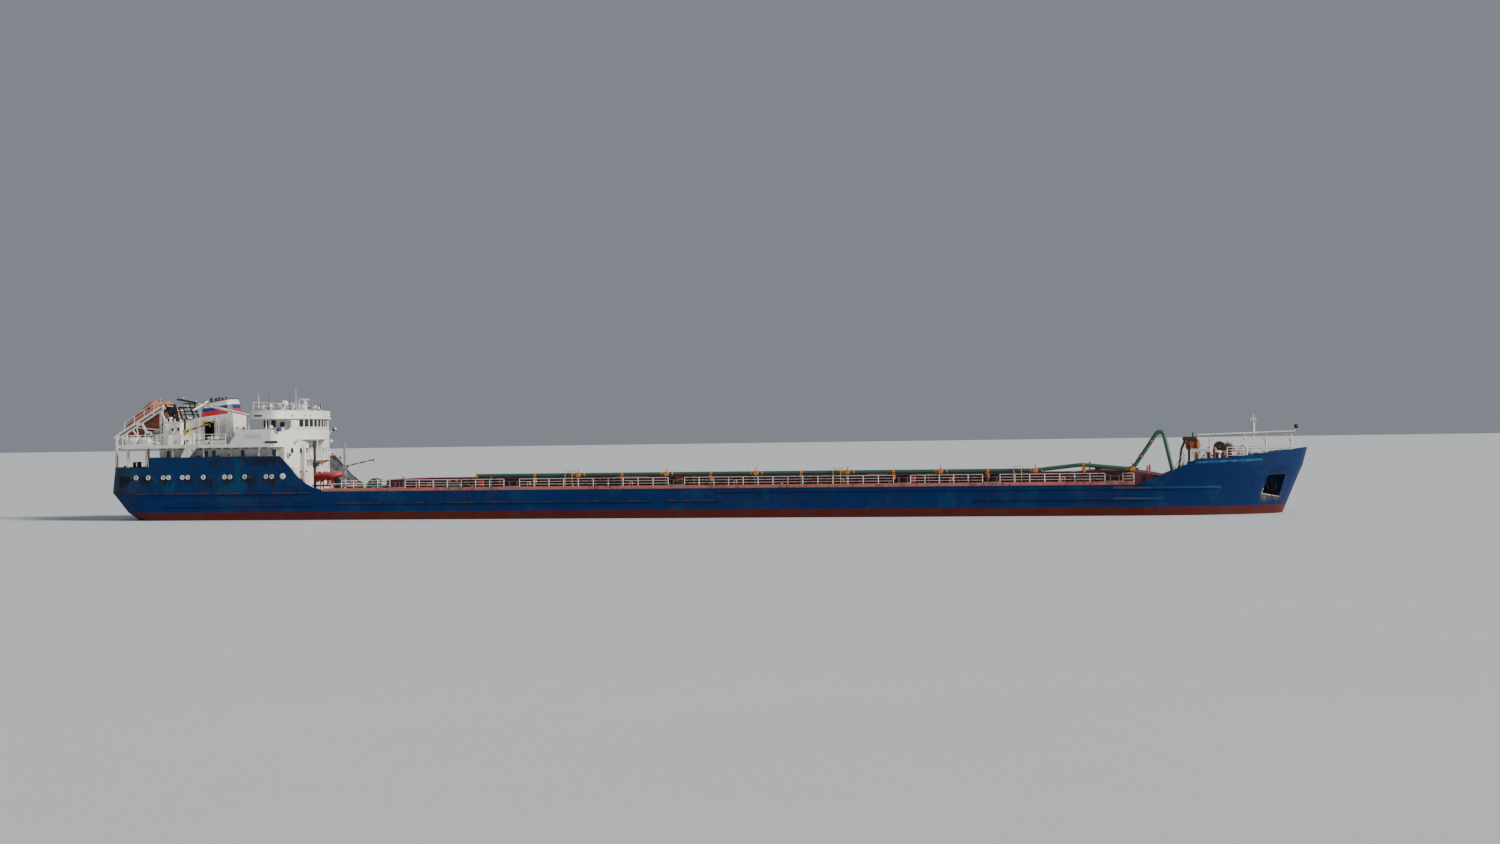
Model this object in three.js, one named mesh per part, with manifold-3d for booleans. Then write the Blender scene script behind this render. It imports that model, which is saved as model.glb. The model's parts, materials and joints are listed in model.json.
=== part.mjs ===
// Oil-ore carrier: a 118.9 m river-sea ship with twin screws, an open ore hold between
// tank sides, and the cargo pipe along the starboard side of its deck.
// A 1:10 scale model. Everything below is written in metres of the real ship and is
// brought to the model's millimetres once, in piece().
// X runs forward from midships, Y to port, Z up from the waterline in ballast.
import * as THREE from 'three';
import { mergeVertices } from 'three/addons/utils/BufferGeometryUtils.js';
import Module from 'manifold-3d';

const wasm = await Module();
wasm.setup();

const MM_PER_METRE = 100;
const GAP = 0.003;            // 0.3 mm on the model, between pieces that are set together

// Hull
const HALF_BEAM = 6.7;
const KEEL = -2.77;
const DECK = 2.83;
const TANK_TOP = -1.7;
const BILGE = 1.0;
const AFT_CUT = -29.0;        // engine room bulkhead, aft end of the hold
const FORE_CUT = 44.0;        // collision bulkhead, fore end of the hold
const HOLD_HALF = 5.0;        // half width of the hold at the deck
const HOPPER_HALF = 4.2;      // half width of the hold at the tank top
const BULKHEADS = [-5.5, 19.0];
const BULKHEAD_THICK = 0.4;
const PLATE = 0.12;
const COAMING_TOP = 3.9;
const TRUNK_AFT = 37.8;
const FORECASTLE_AFT = 48.4;
const FORECASTLE_DECK = 4.85;

// Stern gear
const SHAFT_Y = 3.2;
const SHAFT_Z = -1.65;
const PROPELLER_X = -54.3;
const PROPELLER_RADIUS = 0.9;
const BOSS_FORE = 0.22;
const RUDDER_X = -56.3;
const RUDDER_TRUNK = -0.3;    // underside of the trunk that the rudder stock enters

// Superstructure
const POOP_DECK = 5.2;
const POOP_FORE = -40.6;
const BULWARK_EDGE = 6.3;
const STERN_RIM = 5.42;
const HOUSE_HALF = 5.5;
const HOUSE_AFT = -53.5;
const BOAT_DECK_UNDER = 7.3;
const BOAT_DECK = 7.65;
const BOAT_DECK_AFT = -57.15;
const BRIDGE_DECK = 8.2;
const BULWARK_TOP = 8.98;
const WHEELHOUSE_AFT = -43.1;
const WHEELHOUSE_HALF = 4.4;
const WHEELHOUSE_TOP = 10.1;
const ISLAND_TOP = 10.95;
const FRONT_RADIUS = 14.0;    // plan radius of the rounded front
const CORNER_ROUND = 0.6;     // plan radius of the bridge wings' fore corners
const FRONT_X = -38.75;
const FRONT_CENTRE = FRONT_X - FRONT_RADIUS;
const INNER_HALF = HALF_BEAM - PLATE - GAP;
const SILL = 9.3;
const HEAD = 10.0;

// Free-fall lifeboat and its ramp
const RAMP_LOW = [-60.0, 8.4];
const RAMP_HIGH = [-54.6, 11.55];
const RAMP_SLOPE = Math.atan2(RAMP_HIGH[1] - RAMP_LOW[1], RAMP_HIGH[0] - RAMP_LOW[0]);
const GIRDER_HALF = 2.45;
const GIRDER_OUT = 2.67;

// Deck pipe
const PIPE_Y = -5.6;
const PIPE_RADIUS = 0.19;

const PAINT = {
  blue: ['#0b3a78', 0.55, 0.0],
  white: ['#e8e6e0', 0.5, 0.0],
  maroon: ['#5a1f28', 0.65, 0.0],
  salmon: ['#b5564d', 0.6, 0.0],
  green: ['#2f5f50', 0.5, 0.0],
  orange: ['#d8662a', 0.5, 0.0],
  red: ['#b8242a', 0.55, 0.0],
  grey: ['#8b9299', 0.55, 0.0],
  black: ['#1b1b1d', 0.7, 0.0],
  bronze: ['#a57a3a', 0.35, 0.9],
  yellow: ['#e0a020', 0.55, 0.0],
};

const SIDES = [['starboard', -1], ['port', 1]];
const ship = new THREE.Group();

// Solids

const toSolid = geometry => {
  const bare = geometry.index ? geometry.toNonIndexed() : geometry.clone();
  bare.deleteAttribute('normal');
  bare.deleteAttribute('uv');
  const merged = mergeVertices(bare, 1e-5);
  return new wasm.Manifold(new wasm.Mesh({
    numProp: 3,
    vertProperties: new Float32Array(merged.attributes.position.array),
    triVerts: new Uint32Array(merged.index.array),
  }));
};

const toGeometry = solid => {
  const mesh = solid.getMesh();
  const geometry = new THREE.BufferGeometry();
  geometry.setAttribute('position', new THREE.BufferAttribute(new Float32Array(mesh.vertProperties), 3));
  geometry.setIndex(new THREE.BufferAttribute(new Uint32Array(mesh.triVerts), 1));
  return geometry;
};

const union = solids => solids.reduce((whole, next) => whole.add(next));
const cut = (whole, tools) => tools.reduce((rest, tool) => rest.subtract(tool), whole);

// A box from its two limits on each axis.
const box = (x0, x1, y0, y1, z0, z1) => toSolid(
  new THREE.BoxGeometry(x1 - x0, y1 - y0, z1 - z0)
    .translate((x0 + x1) / 2, (y0 + y1) / 2, (z0 + z1) / 2));

const extruded = (points, depth) => new THREE.ExtrudeGeometry(
  new THREE.Shape(points.map(([a, b]) => new THREE.Vector2(a, b))),
  { depth, bevelEnabled: false, steps: 1 });

// An outline in x, y raised from z0 to z1.
const raised = (points, z0, z1) => toSolid(extruded(points, z1 - z0).translate(0, 0, z0));

// An outline in x, z carried across from y0 to y1.
const across = (points, y0, y1) => toSolid(
  extruded(points, y1 - y0).rotateX(Math.PI / 2).translate(0, y1, 0));

// An outline in y, z carried along from x0 to x1.
const along = (points, x0, x1) => {
  const axes = new THREE.Matrix4().makeBasis(
    new THREE.Vector3(0, 1, 0), new THREE.Vector3(0, 0, 1), new THREE.Vector3(1, 0, 0));
  return toSolid(extruded(points, x1 - x0).applyMatrix4(axes).translate(x0, 0, 0));
};

const rod = (from, to, radius, sides = 8, endRadius = radius) => {
  const start = new THREE.Vector3(...from);
  const end = new THREE.Vector3(...to);
  const turn = new THREE.Quaternion().setFromUnitVectors(
    new THREE.Vector3(0, 1, 0), end.clone().sub(start).normalize());
  const middle = start.clone().add(end).multiplyScalar(0.5);
  return toSolid(new THREE.CylinderGeometry(endRadius, radius, start.distanceTo(end), sides)
    .applyQuaternion(turn).translate(middle.x, middle.y, middle.z));
};

const ball = (x, y, z, radius, sides = 8) => toSolid(
  new THREE.SphereGeometry(radius, sides, Math.ceil(sides / 2) + 1).translate(x, y, z));

// A pipe through a run of points, with a ball at each bend.
const pipe = (points, radius, sides = 8) => union(points.slice(1).flatMap((to, i) => {
  const run = rod(points[i], to, radius, sides);
  return i < points.length - 2 ? [run, ball(...to, radius * 1.04, sides)] : [run];
}));

// A body through rings with equal numbers of points, closed flat at both ends.
const lofted = rings => {
  const count = rings[0].length;
  const faces = [];
  for (let r = 0; r + 1 < rings.length; r++) {
    for (let i = 0; i < count; i++) {
      const a = r * count + i;
      const b = r * count + (i + 1) % count;
      faces.push([a, b, a + count], [b, b + count, a + count]);
    }
  }
  const last = (rings.length - 1) * count;
  for (let i = 1; i + 1 < count; i++) {
    faces.push([0, i + 1, i], [last, last + i, last + i + 1]);
  }
  const points = rings.flat();
  const volume = faces.reduce((sum, [a, b, c]) => sum
    + new THREE.Vector3(...points[a]).dot(
      new THREE.Vector3(...points[b]).cross(new THREE.Vector3(...points[c]))), 0);
  const facing = volume > 0 ? faces : faces.map(([a, b, c]) => [a, c, b]);
  const geometry = new THREE.BufferGeometry();
  geometry.setAttribute('position', new THREE.Float32BufferAttribute(points.flat(), 3));
  geometry.setIndex(facing.flat());
  return toSolid(geometry);
};

const piece = (name, solid, paint, place = [0, 0, 0], turn = [0, 0, 0]) => {
  const [color, roughness, metalness] = PAINT[paint];
  const geometry = toGeometry(solid).scale(MM_PER_METRE, MM_PER_METRE, MM_PER_METRE);
  const mesh = new THREE.Mesh(geometry, new THREE.MeshStandardMaterial({ color, roughness, metalness }));
  mesh.name = name;
  mesh.position.set(...place.map(v => v * MM_PER_METRE));
  mesh.rotation.set(...turn);
  ship.add(mesh);
};

// Hull form

const bilgeHalf = z => {
  const below = KEEL + BILGE - z;
  return below <= 0 ? HALF_BEAM : HALF_BEAM - BILGE + Math.sqrt(BILGE ** 2 - below ** 2);
};

// One waterline of a ship's end: from the cut along starboard, round the end, back along port.
const waterline = ({ z, from, tip, power }, cutX, inset = 0) => {
  const half = bilgeHalf(z) - inset;
  const end = tip - Math.sign(tip) * inset * 2;
  const steps = 12;
  const side = [[cutX, -half, z]];
  for (let i = 0; i < steps; i++) {
    const angle = (i / steps) * Math.PI / 2;
    side.push([
      from + (end - from) * Math.sin(angle) ** (2 / power),
      -half * Math.cos(angle) ** (2 / power),
      z,
    ]);
  }
  const port = side.map(([x, y, level]) => [x, -y, level]).reverse();
  return [...side, [end, 0, z], ...port];
};

// z: height; from: where the side starts to curve in; tip: the end on the centreline;
// power: 2 is an ellipse, more is fuller
const STERN_LINES = [
  { z: KEEL, from: -33.0, tip: -45.0, power: 2.0 },
  { z: -2.5, from: -36.0, tip: -47.5, power: 2.2 },
  { z: -1.77, from: -41.0, tip: -50.5, power: 2.5 },
  { z: -1.0, from: -45.0, tip: -52.6, power: 2.8 },
  { z: -0.5, from: -48.0, tip: -54.0, power: 3.2 },
  { z: 0.0, from: -51.8, tip: -56.6, power: 3.6 },
  { z: 0.8, from: -53.2, tip: -57.65, power: 4.0 },
  { z: DECK, from: -54.5, tip: -59.45, power: 4.0 },
];
const POOP_LINES = [
  { z: DECK, from: -54.5, tip: -59.45, power: 4.0 },
  { z: POOP_DECK, from: -54.4, tip: -59.15, power: 4.0 },
];
const BOW_LINES = [
  { z: KEEL, from: 44.2, tip: 53.6, power: 1.9 },
  { z: -2.5, from: 44.2, tip: 55.0, power: 1.85 },
  { z: -1.77, from: 44.3, tip: 56.2, power: 1.8 },
  { z: -0.24, from: 44.4, tip: 57.0, power: 1.8 },
  { z: 0.95, from: 44.6, tip: 57.5, power: 1.85 },
  { z: DECK, from: 45.0, tip: 58.3, power: 2.0 },
  { z: 4.4, from: 45.6, tip: 58.98, power: 2.1 },
  { z: 6.1, from: 46.0, tip: 59.45, power: 2.1 },
];

// The edge of the forecastle in profile: x, z
const SHEER = [
  [FORE_CUT, DECK], [44.9, 3.14], [46.3, 3.64], [47.4, 4.08], [48.35, 4.48], [49.4, 5.1],
  [52.2, 5.2], [54.3, 5.43], [56.45, 5.7], [58.2, 5.84], [59.6, 6.05],
];
const WELL_LINE = { z: DECK, from: 45.0, tip: 58.3, power: 2.0 };
const RECESS_LINE = { z: FORECASTLE_DECK, from: 45.6, tip: 58.9, power: 2.1 };

// The space inside the plating at a waterline, from x0 to x1 and up from the line.
const inside = (line, x0, x1) => {
  const plan = waterline(line, FORE_CUT - 1, PLATE).map(([x, y]) => [x, y]);
  return raised(plan, line.z, 8).intersect(box(x0, x1, -8, 8, line.z, 8));
};

// The sloped pocket that an anchor is drawn up into, in profile: x, z
const POCKET = [[55.2, 1.9], [56.75, 1.6], [57.3, 3.58], [55.8, 3.56]];
const POCKET_INNER = 2.0;      // half width between the floors of the two pockets

// Rubbing strakes on the hull's curved ends: height, aft end, fore end
const STRAKE_OUT = 0.1;
const STRAKE_HALF = 0.09;
const STERN_STRAKES = [[2.72, -58.0, -36.5], [1.5, -52.1, -36.3], [1.65, -34.0, AFT_CUT]];
const BOW_STRAKES = [[2.55, FORE_CUT, 51.5], [1.57, FORE_CUT, 46.3]];

// A waterline between two of the table.
const lineAt = (lines, z) => {
  const i = lines.findIndex(line => line.z >= z);
  const [low, high] = [lines[i - 1], lines[i]];
  const share = (z - low.z) / (high.z - low.z);
  const mix = key => low[key] + (high[key] - low[key]) * share;
  return { z, from: mix('from'), tip: mix('tip'), power: mix('power') };
};

const strake = (lines, cutX, [z, x0, x1]) => {
  const plan = inset => waterline(lineAt(lines, z), cutX, inset).map(([x, y]) => [x, y]);
  return raised(plan(-STRAKE_OUT), z - STRAKE_HALF, z + STRAKE_HALF)
    .subtract(raised(plan(STRAKE_OUT), z - 1, z + 1))
    .intersect(box(x0, x1, -8, 8, z - 1, z + 1));
};

function bilgeSection(top) {
  const corner = STERN_LINES.slice(0, 3).map(({ z }) => [bilgeHalf(z), z]);
  const port = [...corner, [HALF_BEAM, top]];
  return [...port, ...port.map(([y, z]) => [-y, z]).reverse()];
}

function hull() {
  const fin = across(
    [[-40, KEEL], [-51.8, KEEL], [-53.0, -2.2], [-53.4, -0.3], [-40, -0.3]].reverse(), -0.2, 0.2);
  const bossings = SIDES.flatMap(([, side]) => [
    rod([-46.0, side * SHAFT_Y, SHAFT_Z], [PROPELLER_X + BOSS_FORE + GAP, side * SHAFT_Y, SHAFT_Z], 0.22, 12),
    box(-53.9, -53.4, side * SHAFT_Y - 0.05, side * SHAFT_Y + 0.05, SHAFT_Z, 0.3),
    rod([RUDDER_X, side * SHAFT_Y, RUDDER_TRUNK], [RUDDER_X, side * SHAFT_Y, 0.6], 0.2, 12),
  ]);
  const stern = lofted(STERN_LINES.map(line => waterline(line, AFT_CUT)));
  const sternStrakes = STERN_STRAKES.map(row => strake(STERN_LINES, AFT_CUT, row));
  piece('aft_hull', union([stern, fin, ...bossings, ...sternStrakes]), 'blue');

  piece('double_bottom', along(bilgeSection(TANK_TOP), AFT_CUT, FORE_CUT), 'red');
  for (const [name, side] of SIDES) {
    const wing = [
      [side * HALF_BEAM, TANK_TOP], [side * HALF_BEAM, DECK],
      [side * HOLD_HALF, DECK], [side * HOPPER_HALF, TANK_TOP],
    ];
    piece(`wing_tank_${name}`, along(wing, AFT_CUT, FORE_CUT), 'blue');
  }

  const bow = union([
    lofted(BOW_LINES.map(line => waterline(line, FORE_CUT))),
    ...BOW_STRAKES.map(row => strake(BOW_LINES, FORE_CUT, row)),
  ]);
  const above = across([...SHEER, [59.6, 8], [FORE_CUT, 8]], -8, 8);
  const pockets = SIDES.map(([, side]) => across(
    POCKET, side < 0 ? -8 : POCKET_INNER, side < 0 ? -POCKET_INNER : 8));
  piece('fore_hull', cut(bow, [
    above,
    inside(WELL_LINE, FORE_CUT - 1, FORECASTLE_AFT),
    inside(RECESS_LINE, FORECASTLE_AFT - 0.5, 60),
    ...pockets,
  ]), 'blue');
}

function hold() {
  const slope = (HOLD_HALF - HOPPER_HALF) / (DECK - TANK_TOP);
  const low = HOPPER_HALF - GAP;
  const high = HOLD_HALF - GAP;
  BULKHEADS.forEach((x, i) => {
    const section = [
      [low, TANK_TOP], [high, DECK - GAP * slope], [high, COAMING_TOP],
      [-high, COAMING_TOP], [-high, DECK - GAP * slope], [-low, TANK_TOP],
    ];
    const half = BULKHEAD_THICK / 2;
    piece(`hold_bulkhead_${i + 1}`, along(section, x - half, x + half), 'maroon');
  });

  // Coaming plates with a top flange, and a stay to the deck every few metres.
  const STAY_PITCH = 3.7;
  for (const [name, side] of SIDES) {
    const limits = (a, b) => [Math.min(side * a, side * b), Math.max(side * a, side * b)];
    const solids = [
      box(AFT_CUT, TRUNK_AFT, ...limits(HOLD_HALF, HOLD_HALF + PLATE), DECK, COAMING_TOP),
      box(AFT_CUT, TRUNK_AFT, ...limits(HOLD_HALF, HOLD_HALF + 0.3), COAMING_TOP - 0.1, COAMING_TOP),
    ];
    for (let x = AFT_CUT + 1.2; x < TRUNK_AFT; x += STAY_PITCH) {
      solids.push(along([
        [side * HOLD_HALF, DECK], [side * (HOLD_HALF + 0.45), DECK],
        [side * (HOLD_HALF + 0.28), COAMING_TOP], [side * HOLD_HALF, COAMING_TOP],
      ], x, x + 0.08));
    }
    piece(`coaming_${name}`, union(solids), 'maroon');
  }
  const end = HOLD_HALF + PLATE;
  const ribs = [];
  for (let y = -4.5; y <= 4.5; y += 1.5) {
    ribs.push(across(
      [[AFT_CUT - PLATE, DECK], [AFT_CUT - PLATE, COAMING_TOP], [AFT_CUT - 0.9, DECK]], y, y + 0.08));
  }
  piece('coaming_aft', union([
    box(AFT_CUT - PLATE, AFT_CUT - GAP, -end, end, DECK, COAMING_TOP), ...ribs,
  ]), 'maroon');

  // The closed trunk over the fore end of the hold, with its crowned top: x, z
  const trunk = [
    [TRUNK_AFT + GAP, DECK], [46.4, DECK], [46.4, 3.55], [44.6, 3.9], [42.6, 4.12],
    [40.6, 4.15], [39.0, 4.05], [TRUNK_AFT + GAP, COAMING_TOP],
  ];
  piece('fore_trunk', across(trunk, -HOLD_HALF - 0.3, HOLD_HALF + 0.3), 'maroon');
}

// Points on the rounded front between the two half widths, starboard to port.
const frontArc = (half, radius = FRONT_RADIUS, steps = 16) => {
  const reach = Math.asin(half / radius);
  return Array.from({ length: steps + 1 }, (unused, i) => {
    const angle = -reach + (2 * reach * i) / steps;
    return [FRONT_CENTRE + radius * Math.cos(angle), radius * Math.sin(angle)];
  });
};

// The same with the corners rounded into the sides.
const roundedFront = (half, radius = FRONT_RADIUS, round = CORNER_ROUND) => {
  const reach = Math.asin((half - round) / (radius - round));
  const centre = [FRONT_CENTRE + (radius - round) * Math.cos(reach), half - round];
  const BENDS = 3;
  const bend = Array.from({ length: BENDS }, (unused, i) => {
    const angle = Math.PI / 2 + (reach - Math.PI / 2) * (i / BENDS);
    return [centre[0] + round * Math.cos(angle), centre[1] + round * Math.sin(angle)];
  });
  return [
    ...bend.map(([x, y]) => [x, -y]),
    ...frontArc(radius * Math.sin(reach), radius, 14),
    ...bend.reverse(),
  ];
};

// Porch on the front: starboard side, port side, how far it stands out, its floor and its roof
const PORCH = { from: -2.3, to: 1.1, out: -37.9, floor: 6.0, roof: 8.0 };
const CANOPY = [[-39.7, -3.3], [-39.1, -3.3], [-37.9, -1.7], [-37.9, 0.9], [-38.9, 2.1], [-39.7, 2.1]];

function superstructure() {
  piece('poop_block', lofted(POOP_LINES.map(line => waterline(line, POOP_FORE))), 'blue');

  // The bulwark round the poop, which runs forward and down to the main deck: x, z
  const edge = [
    [POOP_FORE + GAP, DECK], [-35.4, DECK], [-35.4, 2.95], [-36.3, 3.15], [-37.0, 3.5],
    [-38.0, 4.3], [-39.3, 5.78], [-39.8, BULWARK_EDGE], [-54.0, BULWARK_EDGE], [-54.1, STERN_RIM],
    [-61.0, STERN_RIM], [-61.0, POOP_DECK], [POOP_FORE + GAP, POOP_DECK],
  ];
  const topLine = POOP_LINES[1];
  const outer = raised(waterline(topLine, -35.4).map(([x, y]) => [x, y]), DECK, 6.4);
  const inner = raised(waterline(topLine, -35.0, PLATE).map(([x, y]) => [x, y]), DECK - 1, 7);
  piece('poop_bulwark', outer.subtract(inner).intersect(across(edge, -8, 8)), 'blue');

  piece('poop_house',
    box(HOUSE_AFT, POOP_FORE, -HOUSE_HALF, HOUSE_HALF, POOP_DECK, BOAT_DECK_UNDER), 'white');

  const front = [[POOP_FORE, HOUSE_HALF], [POOP_FORE, -HOUSE_HALF], ...frontArc(HOUSE_HALF)];
  const platform = box(-39.6, PORCH.out, PORCH.from, PORCH.to, PORCH.floor - 0.1, PORCH.floor);
  const canopy = raised([...CANOPY].reverse(), PORCH.roof, PORCH.roof + 0.08);
  const recess = box(-39.6, PORCH.out, PORCH.from + 0.45, PORCH.to - 0.2, PORCH.floor, PORCH.roof - 0.2);
  piece('accommodation_front', union([
    raised(front, DECK, BRIDGE_DECK).subtract(recess), platform, canopy,
  ]), 'white');

  const deckPlan = [
    [BOAT_DECK_AFT, -HALF_BEAM], [-45.5, -HALF_BEAM], [-45.5, -INNER_HALF],
    [-41.2, -INNER_HALF], [POOP_FORE, -6.3], [POOP_FORE, 6.3], [-41.2, INNER_HALF], [-45.5, INNER_HALF],
    [-45.5, HALF_BEAM], [BOAT_DECK_AFT, HALF_BEAM],
  ];
  const POSTS = [[-56.7, 6.1], [-54.6, 6.1], [-56.7, 2.0]];
  const supports = SIDES.flatMap(([, side]) => [
    ...POSTS.map(([x, y]) => box(
      x - 0.12, x + 0.12, side * y - 0.12, side * y + 0.12, POOP_DECK, BOAT_DECK_UNDER + 0.1)),
    across(
      [[-50.6, BULWARK_EDGE + GAP], [-49.7, BULWARK_EDGE + GAP], [-48.8, 7.35], [-50.0, 7.35]],
      Math.min(side * (HALF_BEAM - PLATE), side * HALF_BEAM),
      Math.max(side * (HALF_BEAM - PLATE), side * HALF_BEAM)),
  ]);
  piece('boat_deck', union([raised(deckPlan, BOAT_DECK_UNDER, BOAT_DECK), ...supports]), 'white');

  // Bridge deck with the wing bulwarks that hang down its sides and turn in at the front.
  const HEM = BOAT_DECK_UNDER;
  const wing = [[-45.38, HEM], [-41.0, HEM], [-41.0, BULWARK_TOP], [-44.24, BULWARK_TOP], [-45.38, 7.47]];
  const clearOfFront = box(POOP_FORE, -38, -HOUSE_HALF - GAP, HOUSE_HALF + GAP, HEM - 1, BRIDGE_DECK);
  const clearOfHouse = box(-42, -38, -WHEELHOUSE_HALF - GAP, WHEELHOUSE_HALF + GAP, HEM, 11);
  const ring = frontBand(HEM, BULWARK_TOP).subtract(clearOfFront).subtract(clearOfHouse);
  const slab = raised(
    [[-44.6, HALF_BEAM], [-44.6, -HALF_BEAM], ...roundedFront(HALF_BEAM)], BOAT_DECK, BRIDGE_DECK);
  const plates = SIDES.map(([, side]) => across(
    wing,
    Math.min(side * (HALF_BEAM - PLATE), side * HALF_BEAM),
    Math.max(side * (HALF_BEAM - PLATE), side * HALF_BEAM)));
  piece('bridge_wings', union([slab.subtract(clearOfFront), ring, ...plates, ...wingEars()]), 'white');
}

// The band of plating that follows the rounded front between two heights.
const frontBand = (z0, z1) => {
  const plan = (half, inset) => raised(
    [[-44, half], [-44, -half], ...roundedFront(half, FRONT_RADIUS - inset, CORNER_ROUND - inset)], z0, z1);
  return plan(HALF_BEAM, 0)
    .subtract(plan(INNER_HALF, PLATE))
    .intersect(box(-41.3, -38, -8, 8, z0, z1));
};

// The front plating carries on up beside the bridge windows and rounds off the open side of each wing.
function wingEars() {
  const NECK = 0.12;            // width of an ear at half its height
  const FOOT = 0.6;             // and where it meets the bulwark and the deck above
  const near = WHEELHOUSE_HALF + GAP;
  const rise = WHEELHOUSE_TOP - BULWARK_TOP;
  // The curved edge: share of the height, width
  const EDGE = [[0, FOOT], [0.07, 0.38], [0.2, 0.2], [0.35, NECK], [0.65, NECK], [0.8, 0.2], [0.93, 0.38], [1, FOOT]];
  return SIDES.map(([, side]) => frontBand(BRIDGE_DECK, WHEELHOUSE_TOP).intersect(along([
    [side * near, BRIDGE_DECK], [side * (near + FOOT), BRIDGE_DECK],
    ...EDGE.map(([share, width]) => [side * (near + width), BULWARK_TOP + rise * share]),
    [side * near, WHEELHOUSE_TOP],
  ], -42, -38)));
}

const WINDOW_PITCH = 0.9 / FRONT_RADIUS;    // 0.9 m along the rounded front, as an angle
const FRONT_WINDOWS = 8;
const SIDE_WINDOWS = [[-42.58, -42.06], [-41.76, -41.24]];
const DOOR = [-40.95, -40.15];
const DOOR_TOP = 9.95;

function bridge() {
  const plan = (half, aft, radius) => [[aft, half], [aft, -half], ...frontArc(half, radius)];
  const shell = raised(plan(WHEELHOUSE_HALF, WHEELHOUSE_AFT, FRONT_RADIUS), BRIDGE_DECK, WHEELHOUSE_TOP);
  const room = raised(
    plan(WHEELHOUSE_HALF - PLATE, WHEELHOUSE_AFT + PLATE, FRONT_RADIUS - PLATE),
    BRIDGE_DECK - 1, WHEELHOUSE_TOP + 1);
  const panes = Array.from({ length: FRONT_WINDOWS }, (unused, i) => toSolid(
    new THREE.BoxGeometry(1.0, 0.68, HEAD - SILL)
      .translate(FRONT_RADIUS, 0, (HEAD + SILL) / 2)
      .rotateZ((i - (FRONT_WINDOWS - 1) / 2) * WINDOW_PITCH)
      .translate(FRONT_CENTRE, 0, 0)));
  const sidePanes = SIDE_WINDOWS.map(([x0, x1]) => box(x0, x1, -8, 8, SILL, HEAD));
  const doorways = box(DOOR[0], DOOR[1], -8, 8, BRIDGE_DECK + 0.02, DOOR_TOP);
  const aftPanes = [-3.2, -1.6, 1.6, 3.2].map(y => box(-44, -42, y - 0.35, y + 0.35, SILL, HEAD));
  piece('wheelhouse', cut(shell, [room, ...panes, ...sidePanes, doorways, ...aftPanes]), 'white');

  for (const [name, side] of SIDES) {
    const face = side * WHEELHOUSE_HALF;
    const inner = side * (WHEELHOUSE_HALF - 0.06);
    const leaf = box(
      DOOR[0] + 0.01, DOOR[1] - GAP, Math.min(face, inner), Math.max(face, inner),
      BRIDGE_DECK + 0.03, DOOR_TOP - 0.01);
    piece(`bridge_door_${name}`, leaf.subtract(box(-40.8, -40.3, -8, 8, SILL, 9.8)), 'white');
  }

  // Deck over the bridge, with its deep curved fascia and the lugs of the lowered mast.
  const corner = 0.8;
  const back = -43.4;
  const outline = (half, out) => [
    [back + corner, half], [back + corner * 0.3, half - corner * 0.3], [back, half - corner],
    [back, corner - half], [back + corner * 0.3, corner * 0.3 - half], [back + corner, -half],
    ...roundedFront(half, FRONT_RADIUS + out, corner),
  ];
  const lugs = [-LUG_HALF - 0.06, LUG_HALF].map(y => box(
    back - 0.42, back, MAST_Y + y, MAST_Y + y + 0.06, WHEELHOUSE_TOP + 0.01, 10.6));
  const visor = raised(outline(HALF_BEAM + 0.08, 0.25), WHEELHOUSE_TOP, WHEELHOUSE_TOP + 0.09);
  piece('monkey_island', union([
    raised(outline(HALF_BEAM - 0.05, 0.1), WHEELHOUSE_TOP, ISLAND_TOP), visor, ...lugs,
  ]), 'white');

  signals();
}

const RADAR_X = -40.1;
const RADAR_TOP = 11.95;

function signals() {
  // Aerials, all outside the circle that the radar scanner sweeps: x, y, top, radius
  const WHIPS = [[-42.8, -5.0, 12.7, 0.05], [-41.9, 2.5, 12.2, 0.05], [-41.4, 0.7, 13.4, 0.04],
    [-42.8, 4.5, 12.4, 0.05], [-40.0, 1.35, 12.1, 0.05], [-41.6, -2.0, 12.1, 0.06]];
  // Lamp and instrument boxes: x, y, side, top
  const BOXES = [[-42.2, -5.0, 0.4, 11.5], [-41.2, -3.2, 0.5, 11.7], [-40.6, -1.9, 0.35, 11.8],
    [-41.4, 3.4, 0.5, 11.6]];
  const grating = box(-42.95, -39.7, -5.3, 4.8, ISLAND_TOP, ISLAND_TOP + 0.05);
  const whips = WHIPS.map(([x, y, top, radius]) => rod([x, y, ISLAND_TOP + 0.04], [x, y, top], radius, 6));
  const boxes = BOXES.map(([x, y, size, top]) => box(
    x - size / 2, x + size / 2, y - size / 2, y + size / 2, ISLAND_TOP + 0.04, top));
  const pedestal = rod([RADAR_X, 0, ISLAND_TOP + 0.04], [RADAR_X, 0, RADAR_TOP - GAP], 0.22, 10, 0.16);
  piece('signal_gear', union([grating, ...whips, ...boxes, pedestal]), 'white');

  piece('radar_scanner', union([
    rod([0, 0, 0], [0, 0, 0.12], 0.1, 10),
    box(-0.09, 0.09, -1.0, 1.0, 0.1, 0.26),
  ]), 'white', [RADAR_X, 0, RADAR_TOP]);
}

// Mast that is lowered aft over the engine casing
const MAST_Y = -2.3;
const LUG_HALF = 0.2;         // half the space between the two lugs at the mast's foot
const MAST_FOOT = [-43.62, 10.28];
const MAST_TIP = [-53.2, 12.35];

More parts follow.
